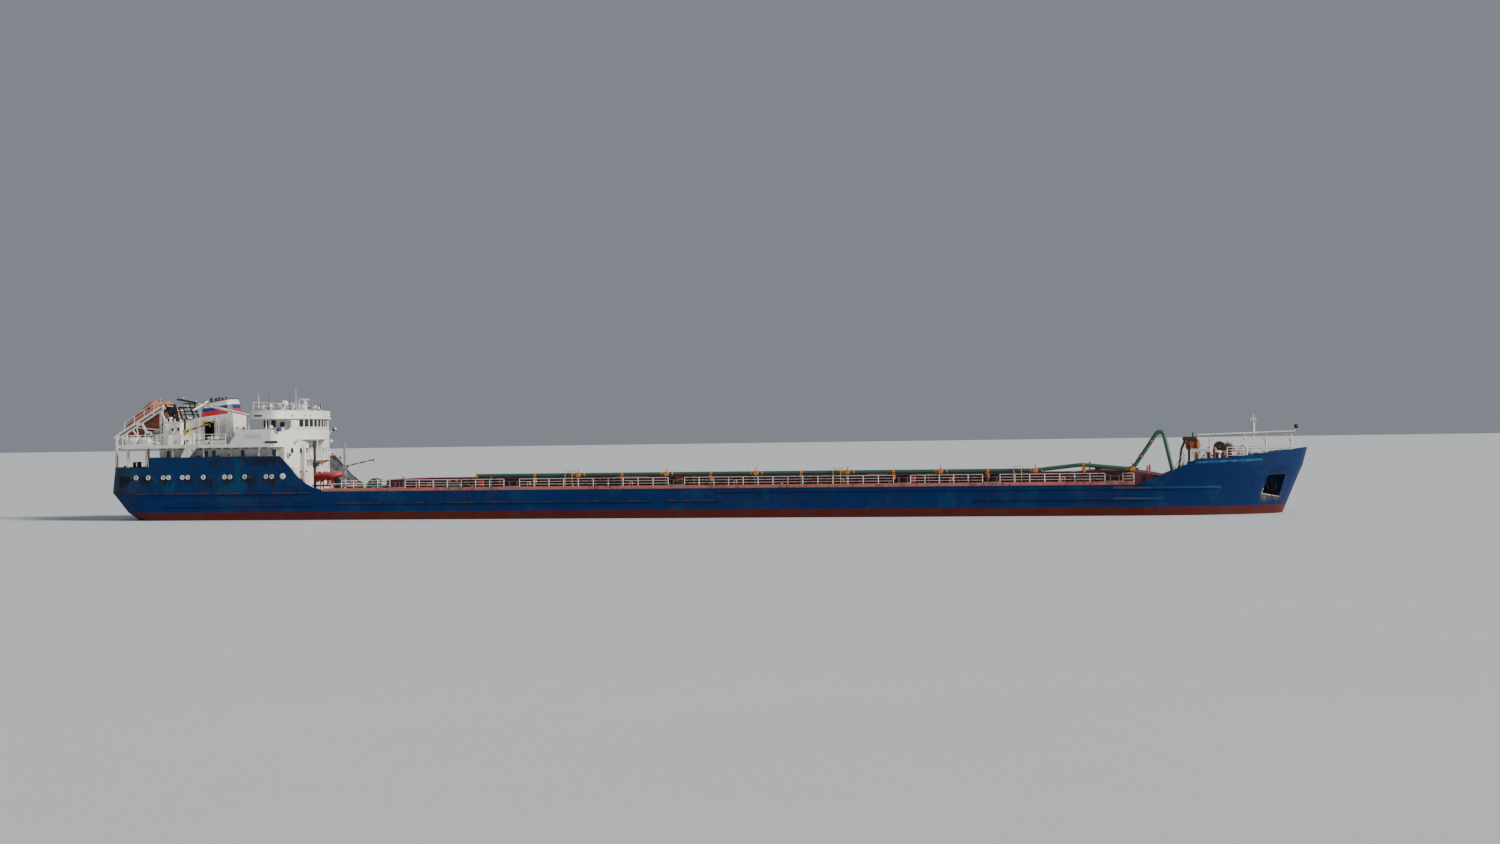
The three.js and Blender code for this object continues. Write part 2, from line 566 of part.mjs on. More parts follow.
function mast() {
  const at = ([x, z], share) => [
    MAST_FOOT[0] + (x - MAST_FOOT[0]) * share, MAST_Y, MAST_FOOT[1] + (z - MAST_FOOT[1]) * share];
  const yard = at(MAST_TIP, 0.86);
  const spreader = at(MAST_TIP, 0.7);
  piece('folding_mast', union([
    rod([MAST_FOOT[0], MAST_Y - LUG_HALF + GAP, MAST_FOOT[1]],
      [MAST_FOOT[0], MAST_Y + LUG_HALF - GAP, MAST_FOOT[1]], 0.17, 12),
    rod(at(MAST_TIP, 0), at(MAST_TIP, 0.55), 0.15, 8),
    rod(at(MAST_TIP, 0.54), at(MAST_TIP, 1), 0.11, 8, 0.08),
    rod([yard[0], MAST_Y - 0.3, yard[2]], [yard[0], MAST_Y + 0.7, yard[2]], 0.06, 6),
    // The arm that slants across the mast.
    rod([spreader[0] + 0.25, MAST_Y + 0.6, spreader[2] + 0.35],
      [spreader[0] - 0.6, MAST_Y - 1.0, spreader[2] - 0.6], 0.13, 6, 0.09),
  ]), 'white');
}

const CASING_HALF = 1.5;
const CASING_AFT = -52.7;
const CASING_FORE = -47.4;

function casing() {
  const profile = [
    [CASING_AFT, BOAT_DECK], [CASING_FORE + 0.15, BOAT_DECK], [CASING_FORE, 10.87], [CASING_AFT, 10.25],
  ];
  const doorway = box(-50.6, -49.45, -CASING_HALF - 1, -0.3, BOAT_DECK + 0.35, 10.0);
  // Crutch for the lowered mast: two leaning frames with rungs, and an arm out under the mast.
  const CRUTCH_Y = [-1.3, -0.3];
  const HEAD_X = -52.25;
  const crutch = CRUTCH_Y.flatMap(y => [
    rod([-53.06, y, 10.04], [-53.57, y, 11.56], 0.09, 6),
    rod([-51.69, y, 10.2], [HEAD_X, y, 11.5], 0.09, 6),
    rod([-53.6, y, 11.52], [-52.15, y, 11.45], 0.08, 6),
    ...[10.75, 11.1].map(z => rod([-53.3, y, z], [-51.95, y, z], 0.04, 6)),
  ]);
  const MAST_UNDER = 11.93;
  crutch.push(
    rod([HEAD_X, CRUTCH_Y[0], 11.4], [HEAD_X, CRUTCH_Y[0], MAST_UNDER - 0.07], 0.07, 6),
    rod([HEAD_X, MAST_Y - 0.4, MAST_UNDER - 0.07], [HEAD_X, CRUTCH_Y[1], MAST_UNDER - 0.07], 0.07, 6),
    rod([HEAD_X, CRUTCH_Y[1], 11.4], [HEAD_X, CRUTCH_Y[1], MAST_UNDER - 0.07], 0.07, 6),
    rod([-53.57, CRUTCH_Y[0], 11.5], [-53.57, CRUTCH_Y[1], 11.5], 0.08, 6),
  );
  // The aft house stands against the casing's aft end, with its door set back in the starboard side.
  const house = box(-54.5, CASING_AFT + PLATE, -2.8, 2.8, BOAT_DECK, 10.0);
  const recess = box(-53.85, -53.05, -3, -2.73, BOAT_DECK + 0.15, 9.75);
  piece('engine_casing', union([
    across(profile, -CASING_HALF, CASING_HALF).subtract(doorway), house.subtract(recess), ...crutch,
  ]), 'white');
  piece('aft_house_door', box(-53.85 + GAP, -53.06, -2.8, -2.74, BOAT_DECK + 0.16, 9.74), 'white');

  // Funnel rings with a rounded fore end: plan at the foot and at the raked top
  const funnelRing = (aft, fore, half, aftZ, foreZ) => {
    const ends = [[aft, -half], [fore - 0.5, -half], [fore - 0.1, -half * 0.7], [fore, 0],
      [fore - 0.1, half * 0.7], [fore - 0.5, half], [aft, half]];
    return ends.map(([x, y]) => [x, y, aftZ + (foreZ - aftZ) * (x - aft) / (fore - aft)]);
  };
  const rake = (10.87 - 10.25) / (CASING_FORE - CASING_AFT);
  const onCasing = x => 10.25 + rake * (x - CASING_AFT);
  const foot = funnelRing(-50.95, -47.5, CASING_HALF - 0.1, onCasing(-50.95) + GAP, onCasing(-47.5) + GAP);
  const top = funnelRing(-50.85, -47.75, CASING_HALF - 0.4, 11.82, 12.33);
  piece('funnel', lofted([foot, top]), 'white');

}

// The lifeboat's frame: u along the slope from the low end, v square to it.
const onRamp = (u, v) => [
  RAMP_LOW[0] + u * Math.cos(RAMP_SLOPE) - v * Math.sin(RAMP_SLOPE),
  RAMP_LOW[1] + u * Math.sin(RAMP_SLOPE) + v * Math.cos(RAMP_SLOPE),
];
const RAMP_LENGTH = Math.hypot(RAMP_HIGH[0] - RAMP_LOW[0], RAMP_HIGH[1] - RAMP_LOW[1]);
const SKID_V = -1.0;          // top of the skids, below the girders' middle line
const BOAT_BOTTOM = SKID_V + GAP;

function lifeboat() {
  const strip = (u0, u1, v0, v1, y0, y1) => across(
    [onRamp(u0, v0), onRamp(u1, v0), onRamp(u1, v1), onRamp(u0, v1)], y0, y1);
  const FRAMES = [0.75, 3.2, 5.6];
  const solids = SIDES.flatMap(([, side]) => {
    const between = (a, b) => [Math.min(side * a, side * b), Math.max(side * a, side * b)];
    return [
      strip(-0.15, RAMP_LENGTH + 0.12, -0.25, 0.25, ...between(GIRDER_HALF, GIRDER_OUT)),
      strip(0.4, RAMP_LENGTH, SKID_V - 0.22, SKID_V, ...between(0.2, 0.4)),
      ...FRAMES.map(u => strip(
        u, u + 0.2, SKID_V - 0.41, 0, ...between(GIRDER_HALF + 0.02, GIRDER_OUT - 0.02))),
      box(-55.0, -54.8, ...between(GIRDER_HALF + 0.03, GIRDER_OUT - 0.03), BOAT_DECK, 11.3),
      box(-57.1, -56.85, ...between(GIRDER_HALF, GIRDER_OUT), BOAT_DECK, BOAT_DECK + 0.2),
      rod([-56.95, side * (GIRDER_OUT - 0.11), BOAT_DECK + 0.1],
        [-58.2, side * (GIRDER_OUT - 0.11), 9.4], 0.08, 6),
    ];
  });
  const ties = FRAMES.map(u => strip(
    u + 0.01, u + 0.19, SKID_V - 0.4, SKID_V - 0.2, 0.05 - GIRDER_OUT, GIRDER_OUT - 0.05));
  // Stern posts stand on the edge of the stern and carry the girders on a cross beam under the boat.
  const [postAft, postFore] = [-58.9, -58.68];
  const postX = (postAft + postFore) / 2;
  const POST_Y = 4.6;
  const beamTop = BOAT_DECK;
  const girderAt = RAMP_LOW[1] + (postFore - RAMP_LOW[0]) * Math.tan(RAMP_SLOPE);
  const sternPosts = SIDES.flatMap(([, side]) => [
    box(postAft, postFore, side * POST_Y - 0.11, side * POST_Y + 0.11, STERN_RIM + GAP, beamTop + 0.25),
    rod([postX, side * POST_Y, beamTop + 0.1], [-59.9, side * (GIRDER_OUT - 0.1), RAMP_LOW[1]], 0.1, 6),
  ]);
  const beam = box(postAft, postFore, -POST_Y, POST_Y, beamTop - 0.22, beamTop);
  const brackets = SIDES.map(([, side]) => box(
    postAft + 0.02, postFore - 0.02, side * 2.56 - 0.08, side * 2.56 + 0.08, beamTop - 0.2, girderAt));
  piece('lifeboat_ramp', union([...solids, ...ties, ...sternPosts, beam, ...brackets]), 'white');

  // Hull and canopy sections along the boat, stern at the top of the ramp:
  // u, half breadth, bottom, shoulder, top
  const SECTIONS = [
    [-0.6, 0.12, 0.55, 0.8, 1.0], [0.2, 0.75, 0.15, 0.9, 2.0], [1.4, 1.15, 0.0, 0.95, 2.45],
    [3.1, 1.28, 0.0, 1.0, 2.6], [3.4, 1.27, 0.0, 1.0, 2.75], [4.35, 1.25, 0.0, 1.0, 2.95],
    [5.0, 1.18, 0.0, 1.0, 2.72], [5.3, 1.12, 0.0, 0.95, 2.3], [5.9, 1.0, 0.15, 0.95, 1.95],
  ];
  const rings = SECTIONS.map(([u, half, bottom, shoulder, top]) => {
    const profile = [
      [0.35 * half, bottom], [0.8 * half, bottom + 0.3 * (shoulder - bottom)], [half, shoulder],
      [0.92 * half, shoulder + 0.45 * (top - shoulder)], [0.55 * half, top],
    ];
    const full = [...profile, ...profile.map(([y, v]) => [-y, v]).reverse()];
    return full.map(([y, v]) => {
      const [x, z] = onRamp(u, v + BOAT_BOTTOM);
      return [x, y, z];
    });
  });
  piece('lifeboat', lofted(rings), 'orange');
}

function boatDeckGear() {
  for (const [name, side] of SIDES) {
    const y = side * 5.5;
    const drum = (x0, x1) => rod([x0, y, 8.08], [x1, y, 8.08], 0.36, 12);
    piece(`raft_rack_${name}`, union([
      box(-57.0, -54.5, y - 0.3, y + 0.3, BOAT_DECK, BOAT_DECK + 0.14),
      drum(-57.0, -55.85), drum(-55.7, -54.5),
    ]), 'white');
  }

  // Guard rails along both sides of the boat deck: posts, and two bars that join them.
  const RAIL_TOP = BOAT_DECK + 1.0;
  const AFT = BOAT_DECK_AFT + 0.1;
  const RAIL_END = -45.7;
  const POST_PITCH = 1.4;
  for (const [name, side] of SIDES) {
    const y = side * 6.55;
    const bars = [RAIL_TOP - 0.5, RAIL_TOP - 0.03].map(
      z => box(AFT - 0.03, RAIL_END, y - 0.03, y + 0.03, z - 0.03, z + 0.03));
    for (let x = AFT; x < RAIL_END; x += POST_PITCH) {
      bars.push(box(x - 0.03, x + 0.03, y - 0.03, y + 0.03, BOAT_DECK, RAIL_TOP));
    }
    piece(`boat_deck_rail_${name}`, union(bars), 'white');
  }
}

// Derricks: name, post x, y, foot, top, radius, boom reach, rise, paint
const DERRICKS = [
  { name: 'aft', x: -51.72, y: -3.5, foot: BOAT_DECK, top: 10.35, heel: 8.95, reach: 2.75, rise: 0.8, paint: 'black' },
  { name: 'starboard', x: -37.5, y: -3.5, foot: DECK, top: 7.85, heel: 5.45, reach: 2.8, rise: 0.75, paint: 'black' },
  { name: 'port', x: -37.3, y: 3.5, foot: DECK, top: 7.6, heel: 5.1, reach: 3.2, rise: 0.75, paint: 'grey' },
];
const DERRICK_RADIUS = 0.13;
const HEEL_OUT = 0.32;

function derricks() {
  for (const { name, x, y, foot, top, heel, reach, rise, paint } of DERRICKS) {
    piece(`derrick_post_${name}`, union([
      rod([x, y, foot], [x, y, top], DERRICK_RADIUS, 10),
      box(x, x + HEEL_OUT + 0.1, y - 0.1, y + 0.1, heel - 0.14, heel - GAP),
    ]), paint);
    piece(`derrick_boom_${name}`, union([
      rod([0, 0, 0], [0, 0, 0.22], 0.09, 8),
      rod([0, 0, 0.14], [reach - HEEL_OUT, 0, rise], 0.07, 6),
    ]), 'yellow', [x + HEEL_OUT, y, heel]);
  }
}

function mainDeck() {
  // Rescue boat: two tubes round a shallow hull, on two chocks.
  const boatZ = 4.4;
  const tube = 0.29;
  const halfWide = 0.62;
  const y = -4.5;
  piece('rescue_boat', union([
    pipe([[-36.8, y - halfWide, boatZ], [-35.0, y - halfWide, boatZ], [-34.3, y, boatZ + 0.12],
      [-35.0, y + halfWide, boatZ], [-36.8, y + halfWide, boatZ]], tube, 8),
    box(-36.7, -34.9, y - halfWide, y + halfWide, boatZ - 0.22, boatZ - 0.05),
  ]), 'red');
  const chock = boatZ - 0.22 - GAP;
  piece('rescue_boat_stand', union([
    ...[-36.3, -35.2].flatMap(x => [
      box(x - 0.06, x + 0.06, y - 0.36, y + 0.36, chock - 0.12, chock),
      ...[-0.3, 0.3].map(leg => box(
        x - 0.05, x + 0.05, y + leg - 0.05, y + leg + 0.05, DECK, chock - 0.06)),
    ]),
    box(-36.3, -35.2, y - 0.04, y + 0.04, chock - 0.1, chock - 0.02),
  ]), 'orange');

  cargoPipe();
  deckEdges();
}

const PIPE_AFT = -19.5;
const PIPE_PITCH = 8.8;
const PIPE_JOINTS = 7;

function cargoPipe() {
  // The run in profile after the level stretch: x, z
  const run = [[PIPE_AFT, 4.2], [34.8, 4.2], [39.1, 4.67], [43.7, 4.22], [46.0, 7.6], [46.5, 7.6], [47.3, 4.0]];
  const solids = [pipe(run.map(([x, z]) => [x, PIPE_Y, z]), PIPE_RADIUS, 10)];
  for (let i = 0; i < PIPE_JOINTS; i++) {
    const x = 43.7 - PIPE_PITCH * i;
    solids.push(rod([x, PIPE_Y - 0.3, 4.2], [x, PIPE_Y + 0.3, 4.2], 0.29, 10));
    const outlet = x - PIPE_PITCH / 2;
    const level = i === 0 ? 4.67 : 4.2;
    solids.push(rod([outlet, PIPE_Y, level], [outlet, PIPE_Y, level - 0.75], 0.1, 6));
  }
  // Stands under the level run, and the stub that the goose neck comes down to.
  for (let x = PIPE_AFT + 1.5; x < 34; x += PIPE_PITCH / 2) {
    solids.push(box(x - 0.05, x + 0.05, PIPE_Y - 0.08, PIPE_Y + 0.08, DECK, 4.15));
  }
  solids.push(rod([47.3, PIPE_Y, DECK], [47.3, PIPE_Y, 4.05], 0.24, 10));
  piece('cargo_pipe', union(solids), 'green');
}

const BOLLARDS = [-27.4, -15.6, 0.9, 22.6, 30.9, 42.05];
const RAIL_AFT = -33.3;
const RAIL_FORE = 43.9;
const RAIL_PITCH = 2.9;

function deckEdges() {
  for (const [name, side] of SIDES) {
    const between = (a, b) => [Math.min(side * a, side * b), Math.max(side * a, side * b)];
    const strip = box(-35.2, 43.9, ...between(6.5, 6.68), DECK, DECK + 0.3);
    const bollards = BOLLARDS.flatMap(x => [
      box(x - 0.7, x + 0.7, ...between(6.0, 6.52), DECK, DECK + 0.14),
      ...[-0.4, 0.4].map(step => rod(
        [x + step, side * 6.25, DECK], [x + step, side * 6.25, DECK + 0.85], 0.15, 8)),
    ]);
    piece(`deck_edge_${name}`, union([strip, ...bollards]), 'salmon');

    const posts = [];
    for (let x = RAIL_AFT; x <= RAIL_FORE; x += RAIL_PITCH) {
      posts.push(box(x - 0.03, x + 0.03, ...between(6.56, 6.62), DECK + 0.3, DECK + 1.0));
    }
    const bar = box(RAIL_AFT - 0.05, RAIL_FORE, ...between(6.55, 6.63), DECK + 0.96, DECK + 1.04);
    piece(`deck_rail_${name}`, union([bar, ...posts]), 'white');
  }
}

const REEL_Y = 3.1;
const REEL_HALF = 0.6;        // half the space between the reel's two stands

function forecastle() {
  const deck = FORECASTLE_DECK;
  // Windlass: bed, two side frames, drums on one shaft.
  piece('windlass', union([
    box(52.7, 54.4, -1.9, 1.9, deck, deck + 0.18),
    ...[-1.5, -0.5, 0.5, 1.5].map(y => box(53.2, 53.9, y - 0.08, y + 0.08, deck, deck + 0.95)),
    rod([53.55, -2.2, deck + 0.7], [53.55, 2.2, deck + 0.7], 0.14, 10),
    ...[-1.0, 1.0].map(y => rod([53.55, y - 0.3, deck + 0.7], [53.55, y + 0.3, deck + 0.7], 0.45, 12)),
    ...[-2.1, 2.1].map(y => rod([53.55, y - 0.2, deck + 0.7], [53.55, y + 0.2, deck + 0.7], 0.28, 12)),
  ]), 'white');

  // White bitts by the break of the forecastle.
  piece('mooring_bitts', union([
    box(48.8, 50.9, -4.4, -3.6, deck, deck + 0.12),
    ...[49.1, 49.7, 50.3].flatMap(x => [
      box(x - 0.12, x + 0.12, -4.2, -3.8, deck, deck + 1.1),
      box(x - 0.15, x + 0.35, -4.25, -3.75, deck + 0.85, deck + 1.15),
    ]),
  ]), 'white');

  piece('pump_set', union([
    box(50.9, 52.3, -3.0, -1.6, deck, deck + 0.15),
    rod([51.0, -2.3, deck + 0.55], [52.2, -2.3, deck + 0.55], 0.42, 12),
    box(50.95, 51.25, -3.0, -2.7, deck, deck + 1.1),
    rod([51.1, -2.85, deck + 0.9], [51.1, -2.85, deck + 1.25], 0.2, 8),
  ]), 'salmon');

  // Black frame with the hose machine on it.
  piece('hose_frame', union([
    ...[-1.2, 1.2].flatMap(y => [
      box(48.62, 48.82, y - 0.1, y + 0.1, deck, 6.9),
      box(49.25, 49.45, y - 0.1, y + 0.1, deck, 6.9),
      // The strut that leans aft and down into the well.
      rod([48.4, y, 6.85], [48.05, y, 6.0], 0.1, 6), rod([48.05, y, 6.1], [47.6, y, DECK + 0.02], 0.1, 6),
    ]),
    box(48.15, 49.45, -1.3, 1.3, 6.75, 7.1),
    box(48.5, 49.6, -1.2, 0.2, 5.9, 6.85),
  ]), 'black');

  piece('rope_reel_stand', union([
    box(51.6, 52.65, 2.3, 3.9, deck, deck + 0.1),
    ...[REEL_Y - REEL_HALF - 0.1, REEL_Y + REEL_HALF].map(y => across(
      [[51.8, deck], [52.8, deck], [52.45, deck + 1.3], [52.15, deck + 1.3]], y, y + 0.1)),
  ]), 'black');
  piece('rope_reel', union([
    rod([0, GAP - REEL_HALF, 0], [0, REEL_HALF - GAP, 0], 0.12, 10),
    rod([0, -0.48, 0], [0, 0.48, 0], 0.3, 12),
    ...[-0.54, 0.46].map(y => rod([0, y, 0], [0, y + 0.08, 0], 0.55, 14)),
  ]), 'orange', [52.3, REEL_Y, deck + 1.15]);

  // Long white beam over the forecastle on posts, with the light mast on it: x of each post
  const BEAM = [[49.6, 7.12], [58.3, 7.36]];
  const beamAt = x => BEAM[0][1] + (BEAM[1][1] - BEAM[0][1]) * (x - BEAM[0][0]) / (BEAM[1][0] - BEAM[0][0]);
  piece('forecastle_beam', union([
    rod([BEAM[0][0], 0, BEAM[0][1] + 0.1], [BEAM[1][0], 0, BEAM[1][1] + 0.1], 0.11, 8),
    ...[50.6, 55.7, 58.0].map(x => rod([x, 0, deck], [x, 0, beamAt(x) + 0.1], 0.07, 8)),
    rod([54.6, 0, beamAt(54.6)], [54.6, 0, 9.1], 0.11, 8, 0.05),
    box(54.45, 54.75, -0.15, 0.15, 8.5, 8.75),
  ]), 'white');

  // Guard rail round the fore deck inside the bulwark.
  const path = waterline(RECESS_LINE, 50.0, PLATE + 0.12).filter(([x], i) => x > 50.5 && i % 2 === 1);
  piece('forecastle_rail', union([
    ...path.map(([x, y]) => rod([x, y, deck], [x, y, deck + 1.22], 0.035, 4)),
    pipe(path.map(([x, y]) => [x, y, deck + 1.22]), 0.035, 4),
  ]), 'white');

  for (const [name, side] of SIDES) {
    const y0 = side * (POCKET_INNER + GAP);
    const y1 = side * (POCKET_INNER + 0.35);
    const between = [Math.min(y0, y1), Math.max(y0, y1)];
    piece(`anchor_${name}`, union([
      across([[56.35, 3.3], [56.6, 3.3], [56.2, 2.0], [55.95, 2.0]], ...between),
      across([[55.6, 2.1], [56.5, 1.95], [56.6, 2.25], [55.7, 2.45]], ...between),
      across([[55.6, 2.1], [55.75, 2.1], [55.95, 2.9], [55.75, 2.75]], ...between),
    ]), 'black');
  }
}

function sternGear() {
  for (const [name, side] of SIDES) {
    // Four blades, each a twisted plate from the boss out.
    const blades = Array.from({ length: 4 }, (unused, i) => toSolid(
      new THREE.BoxGeometry(0.06, 0.46, PROPELLER_RADIUS - 0.15)
        .rotateZ(side * THREE.MathUtils.degToRad(38))
        .translate(0, 0, (PROPELLER_RADIUS + 0.1) / 2 + 0.025)
        .rotateX((i * Math.PI) / 2)));
    piece(`propeller_${name}`, union([
      rod([BOSS_FORE, 0, 0], [-0.3, 0, 0], 0.2, 12, 0.1), ...blades,
    ]), 'bronze', [PROPELLER_X, side * SHAFT_Y, SHAFT_Z]);

    // Rudder plan section: a slim foil, and its stock up to the counter.
    const foil = [[0.55, 0], [0.35, 0.12], [-0.2, 0.13], [-1.15, 0.02], [-1.15, -0.02],
      [-0.2, -0.13], [0.35, -0.12]];
    piece(`rudder_${name}`, union([
      raised(foil, -2.5, -0.75),
      rod([0, 0, -0.8], [0, 0, RUDDER_TRUNK - GAP], 0.12, 10),
    ]), 'blue', [RUDDER_X, side * SHAFT_Y, 0]);
  }
}

hull();
hold();
superstructure();
bridge();
mast();
casing();
lifeboat();
boatDeckGear();
derricks();
mainDeck();
forecastle();
sternGear();

export default ship;
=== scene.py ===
"""The looks of the oil-ore carrier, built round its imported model.

Shapes are written in metres of the real ship and brought to the 1:10 model once, in Shape.build().
X runs forward from midships, Y to port, Z up from the waterline.
"""

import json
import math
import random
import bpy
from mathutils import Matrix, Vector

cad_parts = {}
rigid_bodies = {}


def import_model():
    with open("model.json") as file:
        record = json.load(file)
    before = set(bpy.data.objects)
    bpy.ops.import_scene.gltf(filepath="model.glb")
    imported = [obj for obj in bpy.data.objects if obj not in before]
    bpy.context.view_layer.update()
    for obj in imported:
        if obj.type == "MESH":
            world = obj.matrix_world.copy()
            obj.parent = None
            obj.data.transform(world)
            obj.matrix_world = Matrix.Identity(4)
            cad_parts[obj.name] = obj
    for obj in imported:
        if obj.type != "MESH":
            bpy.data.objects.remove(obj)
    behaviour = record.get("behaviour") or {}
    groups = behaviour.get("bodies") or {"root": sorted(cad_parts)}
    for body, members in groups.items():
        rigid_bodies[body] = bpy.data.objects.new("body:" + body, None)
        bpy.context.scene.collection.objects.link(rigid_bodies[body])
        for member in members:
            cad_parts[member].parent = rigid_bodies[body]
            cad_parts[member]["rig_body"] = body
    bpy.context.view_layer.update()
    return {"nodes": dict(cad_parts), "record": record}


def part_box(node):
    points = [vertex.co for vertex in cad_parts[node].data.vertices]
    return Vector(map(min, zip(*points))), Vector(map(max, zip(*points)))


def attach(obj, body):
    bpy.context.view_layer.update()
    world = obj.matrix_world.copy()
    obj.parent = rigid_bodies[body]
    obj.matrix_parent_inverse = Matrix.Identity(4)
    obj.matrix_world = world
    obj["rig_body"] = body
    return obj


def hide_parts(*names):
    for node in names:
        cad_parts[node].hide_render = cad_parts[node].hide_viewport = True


bl_info = {
    "name": "Oil-ore carrier looks",
    "version": (1, 1, 0),
    "blender": (4, 5, 0),
    "location": "View3D > Sidebar > Ship",
    "description": "Paints and fits out the 1:10 oil-ore carrier and sets its studio stage",
    "category": "Object",
}

import bmesh
import bpy
from bpy.props import FloatProperty, FloatVectorProperty, PointerProperty
from mathutils import Matrix, Vector
from mathutils.bvhtree import BVHTree

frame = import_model()

SCALE = 0.1
SIDES = (-1, 1)
HANDS = (("starboard", -1), ("port", 1))
UP = Vector((0, 0, 1))
AHEAD = Vector((1, 0, 0))
PORT = Vector((0, 1, 0))
SEAT = 0.003                            # how far a fitting stands off the face it lies on


def span(node):
    """Lowest and highest corner of a CAD node, in metres of the real ship."""
    low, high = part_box(node)
    return low / SCALE, high / SCALE


DECK = span("wing_tank_port")[1].z
HALF_BEAM = span("wing_tank_port")[1].y
POOP_DECK = span("poop_block")[1].z
BOAT_DECK = span("boat_deck")[1].z
BRIDGE_DECK = span("wheelhouse")[0].z
ISLAND_TOP = span("signal_gear")[0].z
COAMING_TOP = span("coaming_port")[1].z
FORECASTLE_DECK = span("windlass")[0].z
FRONT_RADIUS = 14.0
FRONT_X = -38.75
FRONT_CENTRE = FRONT_X - FRONT_RADIUS


# Node graphs

def colour(values):
    """A socket as it is, or three numbers with an alpha of one."""
    return values if isinstance(values, bpy.types.NodeSocket) else (*values, 1.0)


def shade(values, share):
    """A colour made darker or paler."""
    return [value * share for value in values]


class Graph:
    """Adds nodes to one tree and joins them as they are made."""

    def __init__(self, tree):
        self.tree = tree

    def node(self, kind, inputs=None, **settings):
        made = self.tree.nodes.new(kind)
        for name, value in settings.items():
            setattr(made, name, value)
        for key, value in (inputs or {}).items():
            self.join(value, made.inputs[key])
        return made

    def join(self, value, socket):
        if isinstance(value, bpy.types.NodeSocket):
            self.tree.links.new(value, socket)
        else:
            socket.default_value = value

    def math(self, operation, *values):
        return self.node("ShaderNodeMath", dict(enumerate(values)), operation=operation).outputs[0]

    def both(self, *masks):
        """The product of some masks."""
        whole = masks[0]
        for mask in masks[1:]:
            whole = self.math("MULTIPLY", whole, mask)
        return whole

    def either(self, *masks):
        """The highest of some masks."""
        whole = masks[0]
        for mask in masks[1:]:
            whole = self.math("MAXIMUM", whole, mask)
        return whole

    def off_middle(self, value, pitch):
        """How far a value lies from the middle of its pitch, as a share of the pitch."""
        share = self.math("FRACT", self.math("DIVIDE", value, pitch))
        return self.math("ABSOLUTE", self.math("SUBTRACT", share, 0.5))

    def step(self, value, low, high, start=0.0, end=1.0):
        """A smooth step from start at low to end at high."""
        made = self.node(
            "ShaderNodeMapRange",
            {"Value": value, "From Min": low, "From Max": high, "To Min": start, "To Max": end},
            interpolation_type="SMOOTHSTEP")
        return made.outputs["Result"]

    def within(self, value, low, high, soft):
        """One between low and high, and nothing outside."""
        return self.both(self.step(value, low - soft, low + soft),
                         self.step(value, high - soft, high + soft, 1.0, 0.0))

    def noise(self, vector, scale, detail=3.0, roughness=0.55):
        made = self.node(
            "ShaderNodeTexNoise",
            {"Vector": vector, "Scale": scale, "Detail": detail, "Roughness": roughness})
        return made.outputs[0]

    def stretched(self, vector, factors):
        return self.node("ShaderNodeVectorMath", {0: vector, 1: factors}, operation="MULTIPLY").outputs[0]

    def mix(self, factor, first, second):
        inputs = {0: factor, 6: colour(first), 7: colour(second)}
        return self.node("ShaderNodeMix", inputs, data_type="RGBA").outputs[2]

    def layered(self, coat, *layers):
        """A coat with colours laid over it in order, each by its mask."""
        for mask, paint in layers:
            coat = self.mix(mask, coat, paint)
        return coat

    def parts(self, vector):
        split = self.node("ShaderNodeSeparateXYZ", {0: vector})
        return [split.outputs[i] for i in range(3)]

    def place(self):
        """Position on the object, in metres of the real ship, and its three parts."""
        vector = self.stretched(self.node("ShaderNodeTexCoord").outputs["Object"], (1 / SCALE,) * 3)
        return vector, *self.parts(vector)

    def facing(self):
        """How far the surface faces forward, to port and up."""
        return self.parts(self.node("ShaderNodeTexCoord").outputs["Normal"])


def new_group(name, inputs, outputs):
    """An empty shader group of plain values, its graph, what it is given and its end node."""
    tree = bpy.data.node_groups.new(name, "ShaderNodeTree")
    for socket, value in inputs.items():
        made = tree.interface.new_socket(socket, in_out="INPUT", socket_type="NodeSocketFloat")
        made.default_value = value
    for socket in outputs:
        tree.interface.new_socket(socket, in_out="OUTPUT", socket_type="NodeSocketFloat")
    graph = Graph(tree)
    return tree, graph, graph.node("NodeGroupInput").outputs, graph.node("NodeGroupOutput").inputs


def group_once(build):
    """Builds a group the first time that it is asked for."""
    made = {}

    def get():
        if "tree" not in made:
            made["tree"] = build()
        return made["tree"]
    return get


@group_once
def weathering_group():
    """Rust spots, vertical runs and dirt on painted steel."""
    tree, graph, given, out = new_group(
        "Weathering", {"Rust": 0.3, "Runs": 0.3, "Dirt": 0.3}, ("Rust", "Runs", "Dirt", "Tone", "Height"))
    vector = graph.place()[0]
    broad = graph.noise(vector, 0.22, 4.0)
    fine = graph.noise(vector, 2.6, 6.0, 0.62)
    spots = graph.step(graph.both(broad, fine), 0.27, 0.36)
    streaked = graph.noise(graph.stretched(vector, (1.7, 1.7, 0.16)), 1.0, 5.0, 0.6)
    patchy = graph.step(graph.noise(vector, 0.1, 2.0), 0.4, 0.62)
    runs = graph.both(graph.step(streaked, 0.52, 0.7), patchy)
    dirt = graph.step(graph.noise(vector, 0.7, 5.0, 0.65), 0.4, 0.72)
    for name, mask in (("Rust", spots), ("Runs", runs), ("Dirt", dirt)):
        graph.join(graph.both(mask, given[name]), out[name])
    graph.join(broad, out["Tone"])
    graph.join(graph.math("MULTIPLY_ADD", spots, 0.5, graph.both(fine, 0.25)), out["Height"])
    return tree


